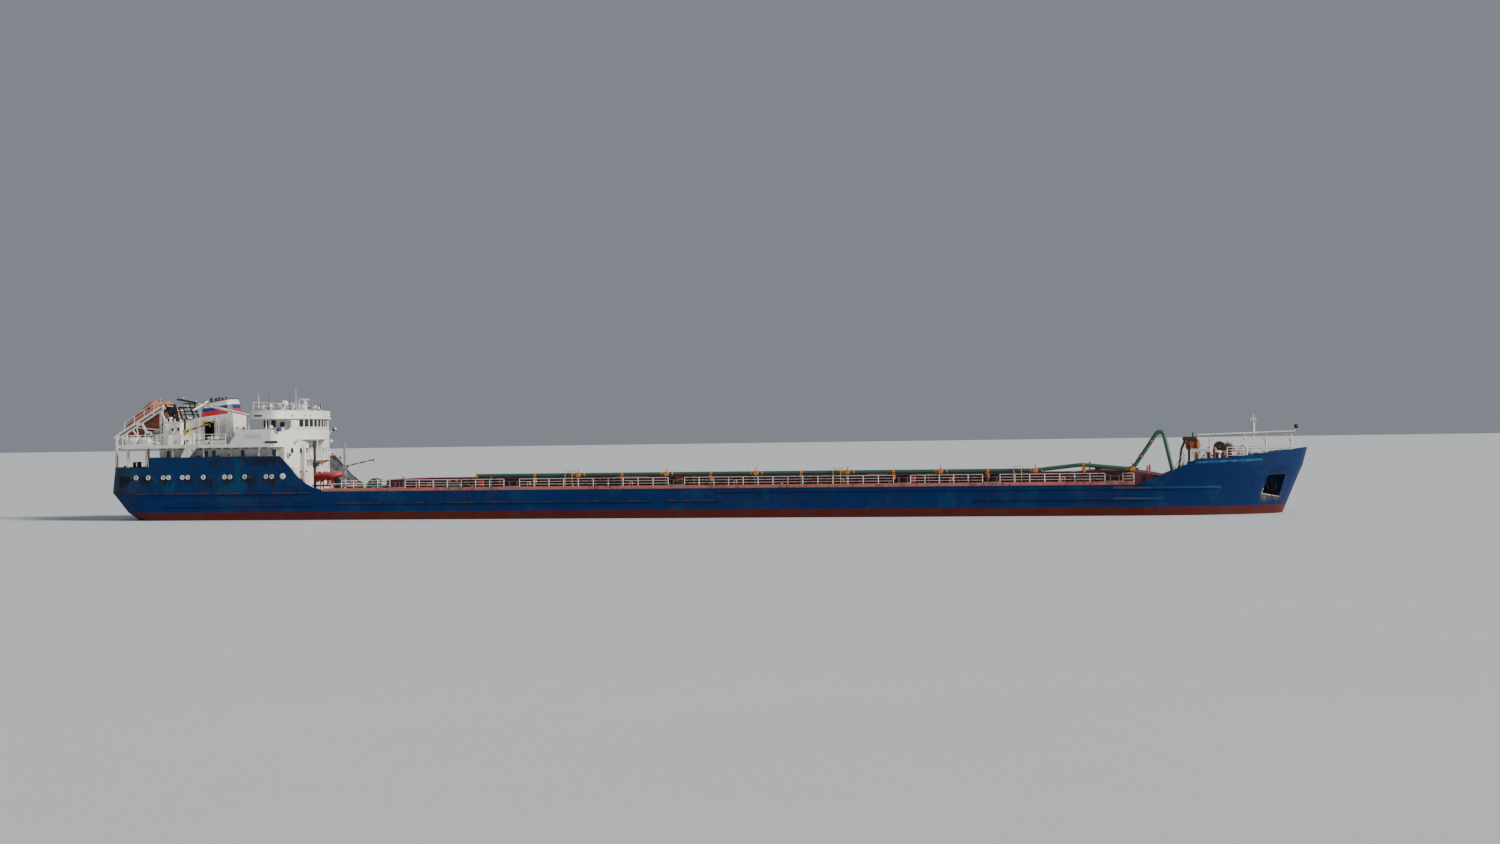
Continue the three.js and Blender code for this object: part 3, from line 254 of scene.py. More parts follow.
@group_once
def plating_group():
    """Welded seams and the hungry dents between a hull's frames."""
    tree, graph, given, out = new_group(
        "Plating", {"Length": 6.0, "Height": 1.6, "Frame pitch": 0.6}, ("Seams", "Relief"))
    vector, x, y, z = graph.place()
    seam_half = 0.03

    def seam(value, pitch):
        edge = graph.math("SUBTRACT", 0.5, graph.math("DIVIDE", seam_half, pitch))
        return graph.math("GREATER_THAN", graph.off_middle(value, pitch), edge)

    seams = graph.either(seam(x, given["Length"]), seam(z, given["Height"]))
    wave = graph.both(graph.math("DIVIDE", x, given["Frame pitch"]), math.pi)
    ribs = graph.math("ABSOLUTE", graph.math("SINE", wave))
    relief = graph.math("ADD", graph.both(ribs, -0.35), graph.both(graph.noise(vector, 0.55, 2.0), 0.9))
    graph.join(seams, out["Seams"])
    graph.join(graph.math("ADD", relief, graph.both(seams, 0.25)), out["Relief"])
    return tree


def place_group(graph, tree, **values):
    """A group in a material, with its own values; gives the group's outputs."""
    made = graph.node("ShaderNodeGroup", node_tree=tree)
    for name, value in values.items():
        made.inputs[name.replace("_", " ")].default_value = value
    return made.outputs


# Materials

made_materials = {}


def new_material(name):
    """A new material with its graph and its shader."""
    material = bpy.data.materials.new(name)
    material.use_nodes = True
    tree = material.node_tree
    tree.nodes.clear()
    graph = Graph(tree)
    shader = graph.node("ShaderNodeBsdfPrincipled")
    graph.node("ShaderNodeOutputMaterial", {0: shader.outputs[0]})
    made_materials[name] = material
    return graph, shader


def set_surface(graph, shader, coat, roughness, height, strength, distance=0.002):
    """Join a paint's colour, roughness and relief to its shader."""
    graph.join(coat, shader.inputs["Base Color"])
    graph.join(roughness, shader.inputs["Roughness"])
    bump = graph.node("ShaderNodeBump", {"Height": height, "Strength": strength, "Distance": distance})
    graph.join(bump.outputs[0], shader.inputs["Normal"])


RUST = (0.16, 0.055, 0.02)
GRIME = (0.05, 0.042, 0.035)
BAND_YELLOW = (0.66, 0.37, 0.02)
BAND_BLACK = (0.02, 0.02, 0.02)


def painted(name, base, roughness=0.5, rust=0.3, runs=0.3, dirt=0.3, relief=0.35):
    """A painted steel surface with rust, runs and dirt over a slightly uneven coat."""
    graph, shader = new_material(name)
    wear = place_group(graph, weathering_group(), Rust=rust, Runs=runs, Dirt=dirt)
    faded = [min(1.0, c * 0.82 + 0.02) for c in base]
    coat = graph.layered(
        graph.mix(wear["Tone"], base, faded),
        (wear["Dirt"], [c * 0.55 + g * 0.4 for c, g in zip(base, GRIME)]),
        (wear["Runs"], RUST),
        (wear["Rust"], shade(RUST, 0.8)))
    worn = graph.step(graph.either(wear["Rust"], wear["Dirt"]), 0.0, 1.0, roughness, 0.85)
    set_surface(graph, shader, coat, worn, wear["Height"], relief)


def dirt_under(graph, vector, z, top, drop):
    """Dark drips that hang below a height."""
    fade = graph.both(graph.step(z, top - drop, top - drop * 0.2), graph.step(z, top + 0.1, top - 0.1))
    cloud = graph.noise(graph.stretched(vector, (1.8, 1.8, 0.5)), 1.0, 6.0, 0.6)
    drips = graph.step(graph.math("MULTIPLY_ADD", fade, 0.3, cloud), 0.58, 0.82)
    return graph.both(drips, graph.step(fade, 0.0, 0.15))


def strake_wear(graph, x, y, z, fine):
    """Where a quay has rubbed the strakes through to rust."""
    middle = graph.either(graph.within(z, 1.63, 1.75, 0.02), graph.within(z, 2.64, 2.81, 0.02))
    proud = graph.step(graph.math("ABSOLUTE", y), 6.72, 6.76)
    middle = graph.both(middle, proud, graph.step(fine, 0.45, 0.6))
    stern = graph.both(graph.within(z, 2.63, 2.81, 0.01), graph.step(x, -53.0, -55.0),
                       graph.step(fine, 0.35, 0.5))
    return graph.both(graph.either(middle, stern), 0.8)


def bow_marks(graph, vector, x, z, fine):
    """The bow's paler strakes, rusty at their aft ends, and the plating that the anchors' chains rust."""
    strakes = graph.either(
        graph.both(graph.within(z, 2.45, 2.65, 0.01), graph.within(x, 42.0, 51.6, 0.1)),
        graph.both(graph.within(z, 1.47, 1.67, 0.01), graph.within(x, 42.0, 46.4, 0.1)))
    rusty = graph.both(graph.step(x, 46.0, 43.0), graph.step(fine, 0.3, 0.55))
    raked = graph.math("MULTIPLY_ADD", x, -0.0345, z)
    upper = graph.both(graph.within(raked, 2.95, 3.17, 0.01), graph.within(x, 49.4, 55.3, 0.05))
    chain_rust = graph.both(graph.within(x, 55.1, 56.9, 0.25), dirt_under(graph, vector, z, 1.95, 1.3))
    return (
        (graph.both(strakes, 0.8), graph.mix(rusty, (0.008, 0.06, 0.19), (0.12, 0.06, 0.035))),
        (graph.both(upper, 0.85),
         graph.mix(graph.step(fine, 0.35, 0.6), (0.035, 0.15, 0.3), (0.012, 0.08, 0.2))),
        (graph.both(chain_rust, 0.85),
         graph.mix(graph.step(fine, 0.5, 0.66), (0.07, 0.045, 0.03), (0.13, 0.14, 0.12))))


def hull_paint():
    """Blue over red, parted at the boot-top, with the decks, the hold and their own wear."""
    paints = bpy.context.scene.ship_paints
    graph, shader = new_material("hull")
    vector, x, y, z = graph.place()
    sideways, up = graph.facing()[1:]
    wear = place_group(graph, weathering_group(), Rust=0.05, Runs=0.6, Dirt=0.4)
    plates = place_group(graph, plating_group(), Length=6.4, Height=1.62, Frame_pitch=0.62)
    fine = graph.noise(vector, 1.4, 5.0)
    base = tuple(paints.hull_blue)
    patches = graph.step(graph.noise(vector, 0.3, 4.0), 0.5, 0.64)

    # The poop's side: a greener blue in patches, and dark runs under the portholes and the upper edge.
    poop = graph.both(graph.step(x, -38.6, -40.2), graph.step(z, 2.7, 2.95))
    # The curved stern, which is painted a paler grey-blue as a highlight.
    stern = graph.both(graph.step(x, -54.2, -56.4), graph.step(z, 2.7, 2.95))
    pitch, first = 2.27, 102.15
    column = graph.off_middle(graph.math("ADD", x, first + pitch / 2), pitch)
    column = graph.step(column, 0.12, 0.46, 1.0, 0.0)
    flank = graph.step(graph.math("ABSOLUTE", sideways), 0.4, 0.8, 0.35, 1.0)
    clouds = graph.step(graph.noise(vector, 0.25, 2.0), 0.46, 0.6)
    stain = graph.both(poop, flank, graph.either(
        graph.both(column, dirt_under(graph, vector, z, 4.5, 1.9)),
        graph.both(clouds, dirt_under(graph, vector, z, 6.3, 1.6))))

    # The bulwarks' inner sides are painted a paler grey-blue.
    turned_in = graph.step(graph.both(sideways, y), 0.0, -0.4)
    inner = graph.both(turned_in, graph.step(z, 2.8, 2.84), graph.step(up, 0.5, 0.3))
    blue = graph.layered(
        graph.mix(wear["Tone"], base, shade(base, 0.6)),
        # Painted shade: the blue turns darker towards the bow, to hold down the sunlit bow.
        (graph.step(x, 42.0, 56.0, 0.0, 0.6), shade(base, 0.55)),
        (graph.both(patches, 0.4), paints.poop_blue),
        (graph.both(poop, graph.step(patches, 0.0, 1.0, 0.2, 0.8)), paints.poop_blue),
        # Painted highlight: the curved stern above the strake is painted a paler grey-blue where its plating
        # turns.
        (graph.both(stern, 0.75), (0.024, 0.048, 0.085)),
        (graph.both(stain, 0.85), (0.012, 0.014, 0.013)),
        (graph.both(wear["Runs"], 0.6), (0.008, 0.014, 0.024)),
        (graph.both(plates["Seams"], 0.25), (0.006, 0.018, 0.05)),
        (wear["Rust"], RUST),
        (strake_wear(graph, x, y, z, fine), (0.075, 0.036, 0.022)),
        *bow_marks(graph, vector, x, z, fine),
        (inner, graph.mix(fine, (0.13, 0.17, 0.19), (0.08, 0.12, 0.13))))

    scum = graph.both(graph.step(z, 0.32, 0.0), graph.step(fine, 0.3, 0.7), 0.6)
    red = graph.layered(
        graph.mix(fine, paints.bottom_red, shade(paints.bottom_red, 0.5)),
        (wear["Dirt"], (0.07, 0.045, 0.04)),
        (scum, (0.035, 0.03, 0.02)))
    boot_top = graph.math("MULTIPLY_ADD", graph.noise(vector, 0.8, 4.0), 0.12, 0.74)
    above = graph.step(graph.math("SUBTRACT", z, boot_top), -0.015, 0.015)

    deck = graph.layered(
        graph.mix(graph.step(fine, 0.35, 0.65), paints.deck_red, (0.13, 0.05, 0.04)),
        (graph.step(graph.noise(vector, 0.5, 5.0), 0.5, 0.62), (0.12, 0.08, 0.06)))
    half = graph.math("ABSOLUTE", y)
    decks = graph.either(*[graph.within(z, height - 0.02, height + 0.02, 0.01)
                           for height in (DECK, FORECASTLE_DECK, POOP_DECK)])
    on_deck = graph.both(decks, graph.step(up, 0.6, 0.8), graph.step(half, 6.712, 6.708))
    in_hold = graph.both(graph.step(half, 5.05, 5.02), graph.within(x, -29.05, 44.05, 0.02),
                         graph.step(z, -1.75, -1.7))
    coat = graph.layered(
        graph.mix(above, red, blue),
        (on_deck, deck),
        (in_hold, graph.mix(graph.step(fine, 0.35, 0.7), (0.12, 0.05, 0.04), (0.07, 0.035, 0.025))))
    shader.inputs["Specular IOR Level"].default_value = 0.16
    height = graph.math("ADD", plates["Relief"], graph.both(wear["Height"], 0.2))
    rough = graph.step(graph.either(stain, wear["Rust"]), 0.0, 1.0, 0.5, 0.85)
    set_surface(graph, shader, coat, rough, height, 0.22, 0.004)


def funnel_paint():
    """White with a blue and a red band that follow the funnel's raked top, and soot above."""
    paints = bpy.context.scene.ship_paints
    graph, shader = new_material("funnel")
    vector, x, y, z = graph.place()
    low, high = span("funnel")
    wear = place_group(graph, weathering_group(), Rust=0.1, Runs=0.25, Dirt=0.3)
    share = graph.math("DIVIDE", graph.math("SUBTRACT", x, low.x), high.x - low.x)
    foot = graph.math("MULTIPLY_ADD", share, 0.405, low.z)
    rise = graph.math("MULTIPLY_ADD", share, 0.105, 1.37)
    part = graph.math("DIVIDE", graph.math("SUBTRACT", z, foot), rise)
    red_top, blue_top, edge = 0.34, 0.65, 0.008
    soot = graph.both(graph.step(part, 0.75, 1.05), graph.noise(vector, 1.2, 4.0), 0.6)
    coat = graph.layered(
        graph.mix(graph.step(part, red_top - edge, red_top + edge), paints.band_red, paints.band_blue),
        (graph.step(part, blue_top - edge, blue_top + edge), paints.white),
        (wear["Dirt"], (0.2, 0.2, 0.22)),
        (soot, (0.03, 0.03, 0.03)))
    set_surface(graph, shader, coat, graph.step(wear["Dirt"], 0.0, 1.0, 0.4, 0.7), wear["Height"], 0.3)


def sooty_paint(name, from_x, to_x, from_z, to_z):
    """White that turns to soot from one x to another and from one height to another."""
    graph, shader = new_material(name)
    vector, x, y, z = graph.place()
    wear = place_group(graph, weathering_group(), Rust=0.3, Runs=0.35, Dirt=0.3)
    base = tuple(bpy.context.scene.ship_paints.white)
    cloud = graph.noise(vector, 0.9, 5.0)
    reach = graph.both(graph.step(x, from_x, to_x), graph.step(z, from_z, to_z))
    roof = graph.both(graph.step(graph.facing()[2], 0.7, 0.9), graph.step(cloud, 0.35, 0.65), 0.55)
    soot = graph.either(graph.step(graph.math("MULTIPLY_ADD", cloud, 0.7, reach), 0.75, 1.1), roof)
    coat = graph.layered(
        base,
        (wear["Dirt"], shade(base, 0.6)),
        (wear["Runs"], (0.3, 0.2, 0.13)),
        (wear["Rust"], RUST),
        (soot, graph.mix(cloud, (0.012, 0.011, 0.01), (0.035, 0.03, 0.026))))
    set_surface(graph, shader, coat, graph.step(soot, 0.0, 1.0, 0.45, 0.9), wear["Height"], 0.3)


def banded_paint(name, pitch, axis=0):
    """Yellow and black bands along one axis, as on a derrick boom."""
    graph, shader = new_material(name)
    place = graph.place()
    wear = place_group(graph, weathering_group(), Rust=0.5, Runs=0.2, Dirt=0.4)
    share = graph.math("FRACT", graph.math("DIVIDE", place[1 + axis], pitch))
    coat = graph.layered(
        graph.mix(graph.math("GREATER_THAN", share, 0.5), BAND_YELLOW, BAND_BLACK), (wear["Dirt"], GRIME))
    set_surface(graph, shader, coat, graph.step(wear["Dirt"], 0.0, 1.0, 0.45, 0.8), wear["Height"], 0.3)


def glass_finish(name, dark, pale, transmission):
    """Tinted glass with smears."""
    graph, shader = new_material(name)
    smears = graph.noise(graph.place()[0], 1.5, 4.0)
    graph.join(graph.mix(smears, dark, pale), shader.inputs["Base Color"])
    graph.join(graph.step(smears, 0.3, 0.8, 0.03, 0.16), shader.inputs["Roughness"])
    shader.inputs["Metallic"].default_value = 0.0
    shader.inputs["Transmission Weight"].default_value = transmission
    shader.inputs["IOR"].default_value = 1.5


def boat_finish():
    """The lifeboat's glass-fibre shell: orange with painted shade and light, deep where it faces down and
    paler where it faces up, and chalky dirt.
    """
    graph, shader = new_material("boat_shell")
    wear = place_group(graph, weathering_group(), Rust=0.0, Runs=0.25, Dirt=0.35)
    chalk = graph.noise(graph.place()[0], 0.8, 5.0)
    coat = graph.layered(
        # Painted shade and light: deep orange on faces that turn down, paler orange on faces that turn up.
        graph.mix(graph.step(graph.facing()[2], -0.1, 0.35), (0.34, 0.06, 0.025), (0.62, 0.17, 0.06)),
        (graph.both(graph.step(chalk, 0.45, 0.7), 0.5), (0.5, 0.3, 0.24)),
        (wear["Dirt"], (0.16, 0.07, 0.05)))
    set_surface(graph, shader, coat, graph.step(chalk, 0.3, 0.7, 0.32, 0.6), chalk, 0.08)


def bronze_finish():
    """Cast bronze with a dull bloom."""
    graph, shader = new_material("cast_bronze")
    wear = place_group(graph, weathering_group(), Rust=0.2, Runs=0.0, Dirt=0.6)
    coat = graph.mix(wear["Dirt"], (0.55, 0.36, 0.14), (0.16, 0.14, 0.08))
    shader.inputs["Metallic"].default_value = 1.0
    dull = graph.step(wear["Dirt"], 0.0, 1.0, 0.3, 0.65)
    set_surface(graph, shader, coat, dull, wear["Height"], 0.2, 0.001)


# Paint or stuff: its colour or the name of one of the ship's paints, roughness, rust, runs, dirt, relief
FINISHES = {
    "white": ("white", 0.42, 0.12, 0.2, 0.14, 0.25),
    "worn_white": ("white", 0.5, 0.55, 0.45, 0.3, 0.3),
    "maroon": ("maroon", 0.55, 0.5, 0.3, 0.4, 0.35),
    "salmon": ("salmon", 0.6, 0.6, 0.3, 0.5, 0.35),
    "orange": ("orange", 0.45, 0.3, 0.1, 0.35, 0.35),
    "green": ("pipe_green", 0.4, 0.35, 0.15, 0.35, 0.35),
    "yellow": ((0.62, 0.36, 0.03), 0.45, 0.25, 0.1, 0.3, 0.3),
    "black": ((0.018, 0.018, 0.02), 0.6, 0.3, 0.1, 0.3, 0.35),
    # soot is near-black, used on the cradle beside the lifeboat, where it is partly painted shade under the
    # boat's bow
    "soot": ((0.014, 0.013, 0.012), 0.85, 0.15, 0.1, 0.3, 0.5),
    "grey": ((0.3, 0.33, 0.35), 0.5, 0.3, 0.2, 0.3, 0.3),
    "rusty_lip": ((0.5, 0.47, 0.42), 0.6, 1.4, 1.2, 0.6, 0.4),
    "blind": ((0.45, 0.48, 0.49), 0.6, 0.1, 0.3, 0.4, 0.3),
    "steel": ((0.22, 0.22, 0.215), 0.5, 0.5, 0.2, 0.5, 0.3),
    "red": ((0.42, 0.025, 0.02), 0.45, 0.15, 0.1, 0.25, 0.3),
    "navy": ((0.015, 0.04, 0.16), 0.85, 0.0, 0.0, 0.35, 0.8),
    "rope": ((0.42, 0.34, 0.21), 0.9, 0.0, 0.0, 0.5, 1.0),
    "teal_rope": ((0.03, 0.2, 0.17), 0.9, 0.0, 0.0, 0.4, 1.0),
    "rubber": ((0.02, 0.02, 0.022), 0.8, 0.0, 0.0, 0.4, 0.4),
    "tube_skin": ((0.42, 0.028, 0.03), 0.5, 0.0, 0.0, 0.25, 0.2),
    "life_ring": ((0.72, 0.14, 0.03), 0.5, 0.0, 0.0, 0.25, 0.2),
    "deck_green": ((0.03, 0.1, 0.06), 0.65, 0.4, 0.0, 0.5, 0.4),
    "zinc": ((0.42, 0.42, 0.4), 0.7, 0.2, 0.2, 0.5, 0.6),
    "brass": ((0.5, 0.33, 0.1), 0.35, 0.0, 0.0, 0.4, 0.2),
    "signal_green": ((0.01, 0.3, 0.12), 0.3, 0.0, 0.0, 0.2, 0.1),
    "signal_red": ((0.5, 0.01, 0.01), 0.3, 0.0, 0.0, 0.2, 0.1),
}
# What is finished by a function of its own, and what that function is given
SPECIAL = {
    "hull": (hull_paint,),
    "funnel": (funnel_paint,),
    "casing": (sooty_paint, "casing", -50.9, -52.2, 9.9, 10.5),
    "mast": (sooty_paint, "mast", -50.2, -51.4, 11.0, 11.3),
    "boom_bands": (banded_paint, "boom_bands", 0.9),
    "tape": (banded_paint, "tape", 0.12, 2),
    "dark_glass": (glass_finish, "dark_glass", (0.012, 0.016, 0.02), (0.03, 0.04, 0.045), 0.0),
    "glass": (glass_finish, "glass", (0.09, 0.12, 0.13), (0.14, 0.18, 0.19), 0.86),
    "lens": (glass_finish, "lens", (0.75, 0.78, 0.76), (0.85, 0.87, 0.84), 0.3),
    "boat_shell": (boat_finish,),
    "cast_bronze": (bronze_finish,),
}


def finish(name):
    """The material of a paint or a stuff, made the first time that it is asked for."""
    if name not in made_materials:
        if name in SPECIAL:
            build, *given = SPECIAL[name]
            build(*given)
        else:
            base, *wear = FINISHES[name]
            if isinstance(base, str):
                base = getattr(bpy.context.scene.ship_paints, base)
            painted(name, tuple(base), *wear)
    return made_materials[name]


# Shapes

THINNEST = 0.0005                       # the radius that closes a turned form at its axis
WELD = 1e-5                             # corners of a CAD node nearer than this are one, on the model
FLAT_ANGLE = math.radians(0.3)          # faces that meet flatter than this are one
EDGE_ANGLE = math.radians(40)           # edges sharper than this are rounded
FAR = 20.0


def circle(centre, axis, radius, count, shift=0.0):
    """Points round an axis; shift turns them by a share of the step from one to the next."""
    centre = Vector(centre)
    axis = Vector(axis).normalized()
    side = axis.orthogonal().normalized()
    up = axis.cross(side)
    turns = [2 * math.pi * (i + shift) / count for i in range(count)]
    return [centre + (side * math.cos(turn) + up * math.sin(turn)) * radius for turn in turns]


class Shape:
    """Collects solid forms, in metres of the real ship, into one mesh."""

    def __init__(self):
        self.points = []
        self.faces = []
        self.paints = []

    def add(self, points, faces, paint="white"):
        start = len(self.points)
        self.points.extend(tuple(p) for p in points)
        self.faces.extend([start + i for i in face] for face in faces)
        self.paints.extend([paint] * len(faces))

    def box(self, x0, x1, y0, y1, z0, z1, paint="white"):
        points = [(x, y, z) for z in (z0, z1) for y in (y0, y1) for x in (x0, x1)]
        faces = [(0, 2, 3, 1), (4, 5, 7, 6), (0, 1, 5, 4), (2, 6, 7, 3), (0, 4, 6, 2), (1, 3, 7, 5)]
        self.add(points, faces, paint)

    def rings(self, rings, paint="white", closed=False):
        """Skins a run of rings with equal numbers of points, and closes its ends."""
        count = len(rings[0])
        points = [p for ring in rings for p in ring]
        faces = []
        runs = len(rings) if closed else len(rings) - 1
        for r in range(runs):
            a = r * count
            b = ((r + 1) % len(rings)) * count
            faces += [(a + i, a + (i + 1) % count, b + (i + 1) % count, b + i) for i in range(count)]
        if not closed:
            last = (len(rings) - 1) * count
            faces.append(tuple(reversed(range(count))))
            faces.append(tuple(last + i for i in range(count)))
        self.add(points, faces, paint)

    def tube(self, path, radius, sides=8, paint="white", closed=False):
        """A round bar through a run of points, with mitred bends."""
        path = [Vector(p) for p in path]
        radii = radius if isinstance(radius, (list, tuple)) else [radius] * len(path)
        rings = []
        side = None
        for i, point in enumerate(path):
            before = path[i - 1] if i or closed else path[i]
            after = path[(i + 1) % len(path)] if i + 1 < len(path) or closed else path[i]
            way_in = (point - before).normalized() if point != before else (after - point).normalized()
            way_out = (after - point).normalized() if point != after else way_in
            along = (way_in + way_out).normalized()
            if side is None:
                side = along.orthogonal().normalized()
            side = (side - along * side.dot(along)).normalized()
            up = along.cross(side)
            bend = max(0.5, way_in.dot(along))
            normal = way_out - way_in
            flat = normal.normalized() if normal.length > 1e-6 else None
            ring = []
            for k in range(sides):
                turn = 2 * math.pi * k / sides
                arm = side * math.cos(turn) + up * math.sin(turn)
                if flat is not None:
                    arm = arm + flat * arm.dot(flat) * (1 / bend - 1)
                ring.append(point + arm * radii[i])
            rings.append(ring)
        self.rings(rings, paint, closed)

    def turned(self, centre, axis, profile, sides=16, paint="white"):
        """A turned form: profile holds steps along the axis and their radii."""
        centre = Vector(centre)
        axis = Vector(axis).normalized()
        self.rings([circle(centre + axis * step, axis, max(radius, THINNEST), sides)
                    for step, radius in profile], paint)

    def rod(self, centre, axis, reach, radius, sides=16, paint="white"):
        """A straight round bar that reaches along its axis from the centre."""
        self.turned(centre, axis, [(0, radius), (reach, radius)], sides, paint)

    def spool(self, centre, axis, reach, cheek, rim, core, sides=18, paint="white"):
        """A drum that reaches along its axis, with a cheek of its own thickness at each end."""
        self.turned(centre, axis, [(0, rim), (cheek, rim), (cheek, core), (reach - cheek, core),
                                   (reach - cheek, rim), (reach, rim)], sides, paint)

    def hoop(self, centre, axis, radius, thick, sides=24, paint="white", wire=8):
        """A ring of round bar."""
        self.tube(circle(centre, axis, radius, sides), thick, wire, paint, closed=True)

    def ball(self, centre, radius, sides=12, paint="white"):
        steps = max(4, sides // 2)
        turns = [math.pi * i / steps for i in range(steps + 1)]
        self.turned(centre, UP, [(-math.cos(turn) * radius, math.sin(turn) * radius) for turn in turns],
                    sides, paint)

    def plate(self, outline, low, high, plane="xz", paint="white"):
        """An outline carried from low to high across its plane."""
        spread = {
            "xz": lambda a, b, c: (a, c, b),
            "xy": lambda a, b, c: (a, b, c),
            "yz": lambda a, b, c: (c, a, b),
        }[plane]
        self.rings([[spread(a, b, c) for a, b in outline] for c in (low, high)], paint)

    def bed(self, x0, x1, y0, y1, corner, low, high, paint="white"):
        """A plate on deck, or a box, with upright rounded corners."""
        self.plate(rounded_plan(x0, x1, y0, y1, corner), low, high, "xy", paint)

    def panel(self, centre, normal, outline, low, high, paint="white"):
        """An outline on a wall, carried out along the wall's normal from low to high."""
        across, up, normal = wall_axes(normal)
        centre = Vector(centre)
        self.rings([[centre + across * a + up * b + normal * c for a, b in outline] for c in (low, high)],
                   paint)

    def trim(self, centre, normal, size, bar, back, front, paint="white"):
        """A frame on a wall round an opening: size holds the clear half width, half height and corner."""
        across, up, normal = wall_axes(normal)
        centre = Vector(centre)
        wide, tall, corner = size
        inner = rounded(wide, tall, corner)
        outer = rounded(wide + bar, tall + bar, corner + bar)
        rings = []
        for (a, b), (c, d) in zip(outer, inner):
            edge = centre + across * a + up * b
            lip = centre + across * c + up * d
            rings.append([edge + normal * back, edge + normal * front, lip + normal * front,
                          lip + normal * back])
        self.rings(rings, paint, closed=True)

    def window(self, centre, normal, size, trim="white", pane="dark_glass", bar=0.05):
        """A framed pane on a wall."""
        wide, tall, corner = size
        self.trim(centre, normal, size, bar, -0.01, 0.04, trim)
        self.trim(centre, normal, (wide - 0.025, tall - 0.025, corner), 0.022, 0.0, 0.025, "rubber")
        self.panel(centre, normal, rounded(wide - 0.028, tall - 0.028, corner), -0.005, 0.012, pane)

    def port(self, centre, normal, radius, trim="white", pane="dark_glass"):
        """A round port: a rim that stands proud of the plating, its bolts, and a pane set back in it."""
        sides = 20
        normal = Vector(normal).normalized()
        centre = Vector(centre)
        rim = [(-0.02, radius * 1.38), (0.03, radius * 1.38), (0.05, radius * 1.22), (0.05, radius * 1.04),
               (0.012, radius), (0.012, 0.0)]
        self.turned(centre, normal, rim, sides, trim)
        self.turned(centre, normal, [(0.01, radius * 0.97), (0.022, radius * 0.97), (0.026, 0.0)], sides,
                    pane)
        for bolt in circle(centre + normal * 0.04, normal, radius * 1.18, 6, 0.5):
            self.rod(bolt, normal, 0.025, radius * 0.09, 6, trim)

    def build(self, name, body="ship", slot="house_white", bevel=0.0, angle=35.0, replaces=()):
        """Makes the piece, with a material for each paint that it uses."""
        names = list(dict.fromkeys(self.paints))
        mesh = bpy.data.meshes.new(name)
        mesh.from_pydata([Vector(p) * SCALE for p in self.points], [], self.faces)
        for polygon, paint in zip(mesh.polygons, self.paints):
            polygon.material_index = names.index(paint)
        tidy = bmesh.new()
        tidy.from_mesh(mesh)
        bmesh.ops.recalc_face_normals(tidy, faces=tidy.faces)
        tidy.to_mesh(mesh)
        tidy.free()
        return place_piece(mesh, name, body, slot, names, bevel, angle, replaces)

    def stand_for(self, node, ending, bevel=0.0):
        """Makes the piece in place of a CAD node, with the node's body."""
        return self.build(node + ending, body_of_node(node), slot_of_node(node), bevel, replaces=(node,))


def place_piece(mesh, name, body, slot, paints, bevel=0.0, angle=35.0, replaces=()):
    for paint in paints:
        mesh.materials.append(finish(paint))
    mesh.shade_smooth()
    mesh.set_sharp_from_angle(angle=math.radians(angle))
    piece = bpy.data.objects.new(name, mesh)
    bpy.context.scene.collection.objects.link(piece)
    if bevel:
        rounding = piece.modifiers.new("Rounded edges", "BEVEL")
        rounding.width = bevel * SCALE
        rounding.segments = 2
        rounding.limit_method = "ANGLE"
        rounding.angle_limit = EDGE_ANGLE
        rounding.harden_normals = True
    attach(piece, body)
    if replaces:
        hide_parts(*replaces)
    return piece


def body_of_node(node):
    """The body that a node of the model moves with."""
    return frame["nodes"][node]["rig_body"]


def slot_of_node(node):
    """The material slot that a node of the model has."""
    for part in frame["record"]["subparts"]:
        if part["node"] == node:
            return part["material_slot"]
    raise RuntimeError(f"no slot for {node}")


def plated(node, paint="white", bevel=0.015, angle=30.0):
    """A piece in the form of a CAD node, with smooth plating and softly rounded edges."""
    joined = bmesh.new()
    joined.from_mesh(frame["nodes"][node].data)
    bmesh.ops.remove_doubles(joined, verts=joined.verts, dist=WELD)
    bmesh.ops.dissolve_limit(joined, angle_limit=FLAT_ANGLE, verts=joined.verts, edges=joined.edges)
    mesh = bpy.data.meshes.new(node + "_plating")
    joined.to_mesh(mesh)
    joined.free()
    return place_piece(mesh, node + "_plating", body_of_node(node), slot_of_node(node), [paint],
                       bevel, angle, (node,))


def tree_of(*nodes):
    """A search tree over some CAD nodes, in metres of the real ship."""
    points, faces = [], []
    for node in nodes:
        mesh = frame["nodes"][node].data
        start = len(points)
        points += [v.co / SCALE for v in mesh.vertices]
        faces += [[start + i for i in p.vertices] for p in mesh.polygons]
    return BVHTree.FromPolygons(points, faces)


HULL_NODES = ("aft_hull", "fore_hull", "wing_tank_starboard", "wing_tank_port", "double_bottom",
              "poop_block", "poop_bulwark")
hull_tree = tree_of(*HULL_NODES)


def hull_side(x, z, side):
    """The point on the hull's side at x and z, and its outward normal."""
    point, normal, *unused = hull_tree.ray_cast(Vector((x, side * FAR, z)), Vector((0, -side, 0)))
    if point is None:
        raise RuntimeError(f"the hull has no side at x {x}, z {z}")
    if normal.y * side < 0:
        normal = -normal
    return point, normal


# Fittings that many places share

def rounded(wide, tall, corner, steps=3):
    """The outline of a rectangle with rounded corners, from its half sizes."""
    corner = min(corner, wide, tall)
    points = []
    for across, up, start in ((1, 1, 0), (-1, 1, 90), (-1, -1, 180), (1, -1, 270)):
        for i in range(steps + 1):
            turn = math.radians(start + 90 * i / steps)
            points.append((across * (wide - corner) + corner * math.cos(turn),
                           up * (tall - corner) + corner * math.sin(turn)))
    return points


def wall_axes(normal):
    """Across and up on a wall, and the way that it faces."""
    normal = Vector(normal).normalized()
    across = UP.cross(normal).normalized()
    return across, normal.cross(across), normal


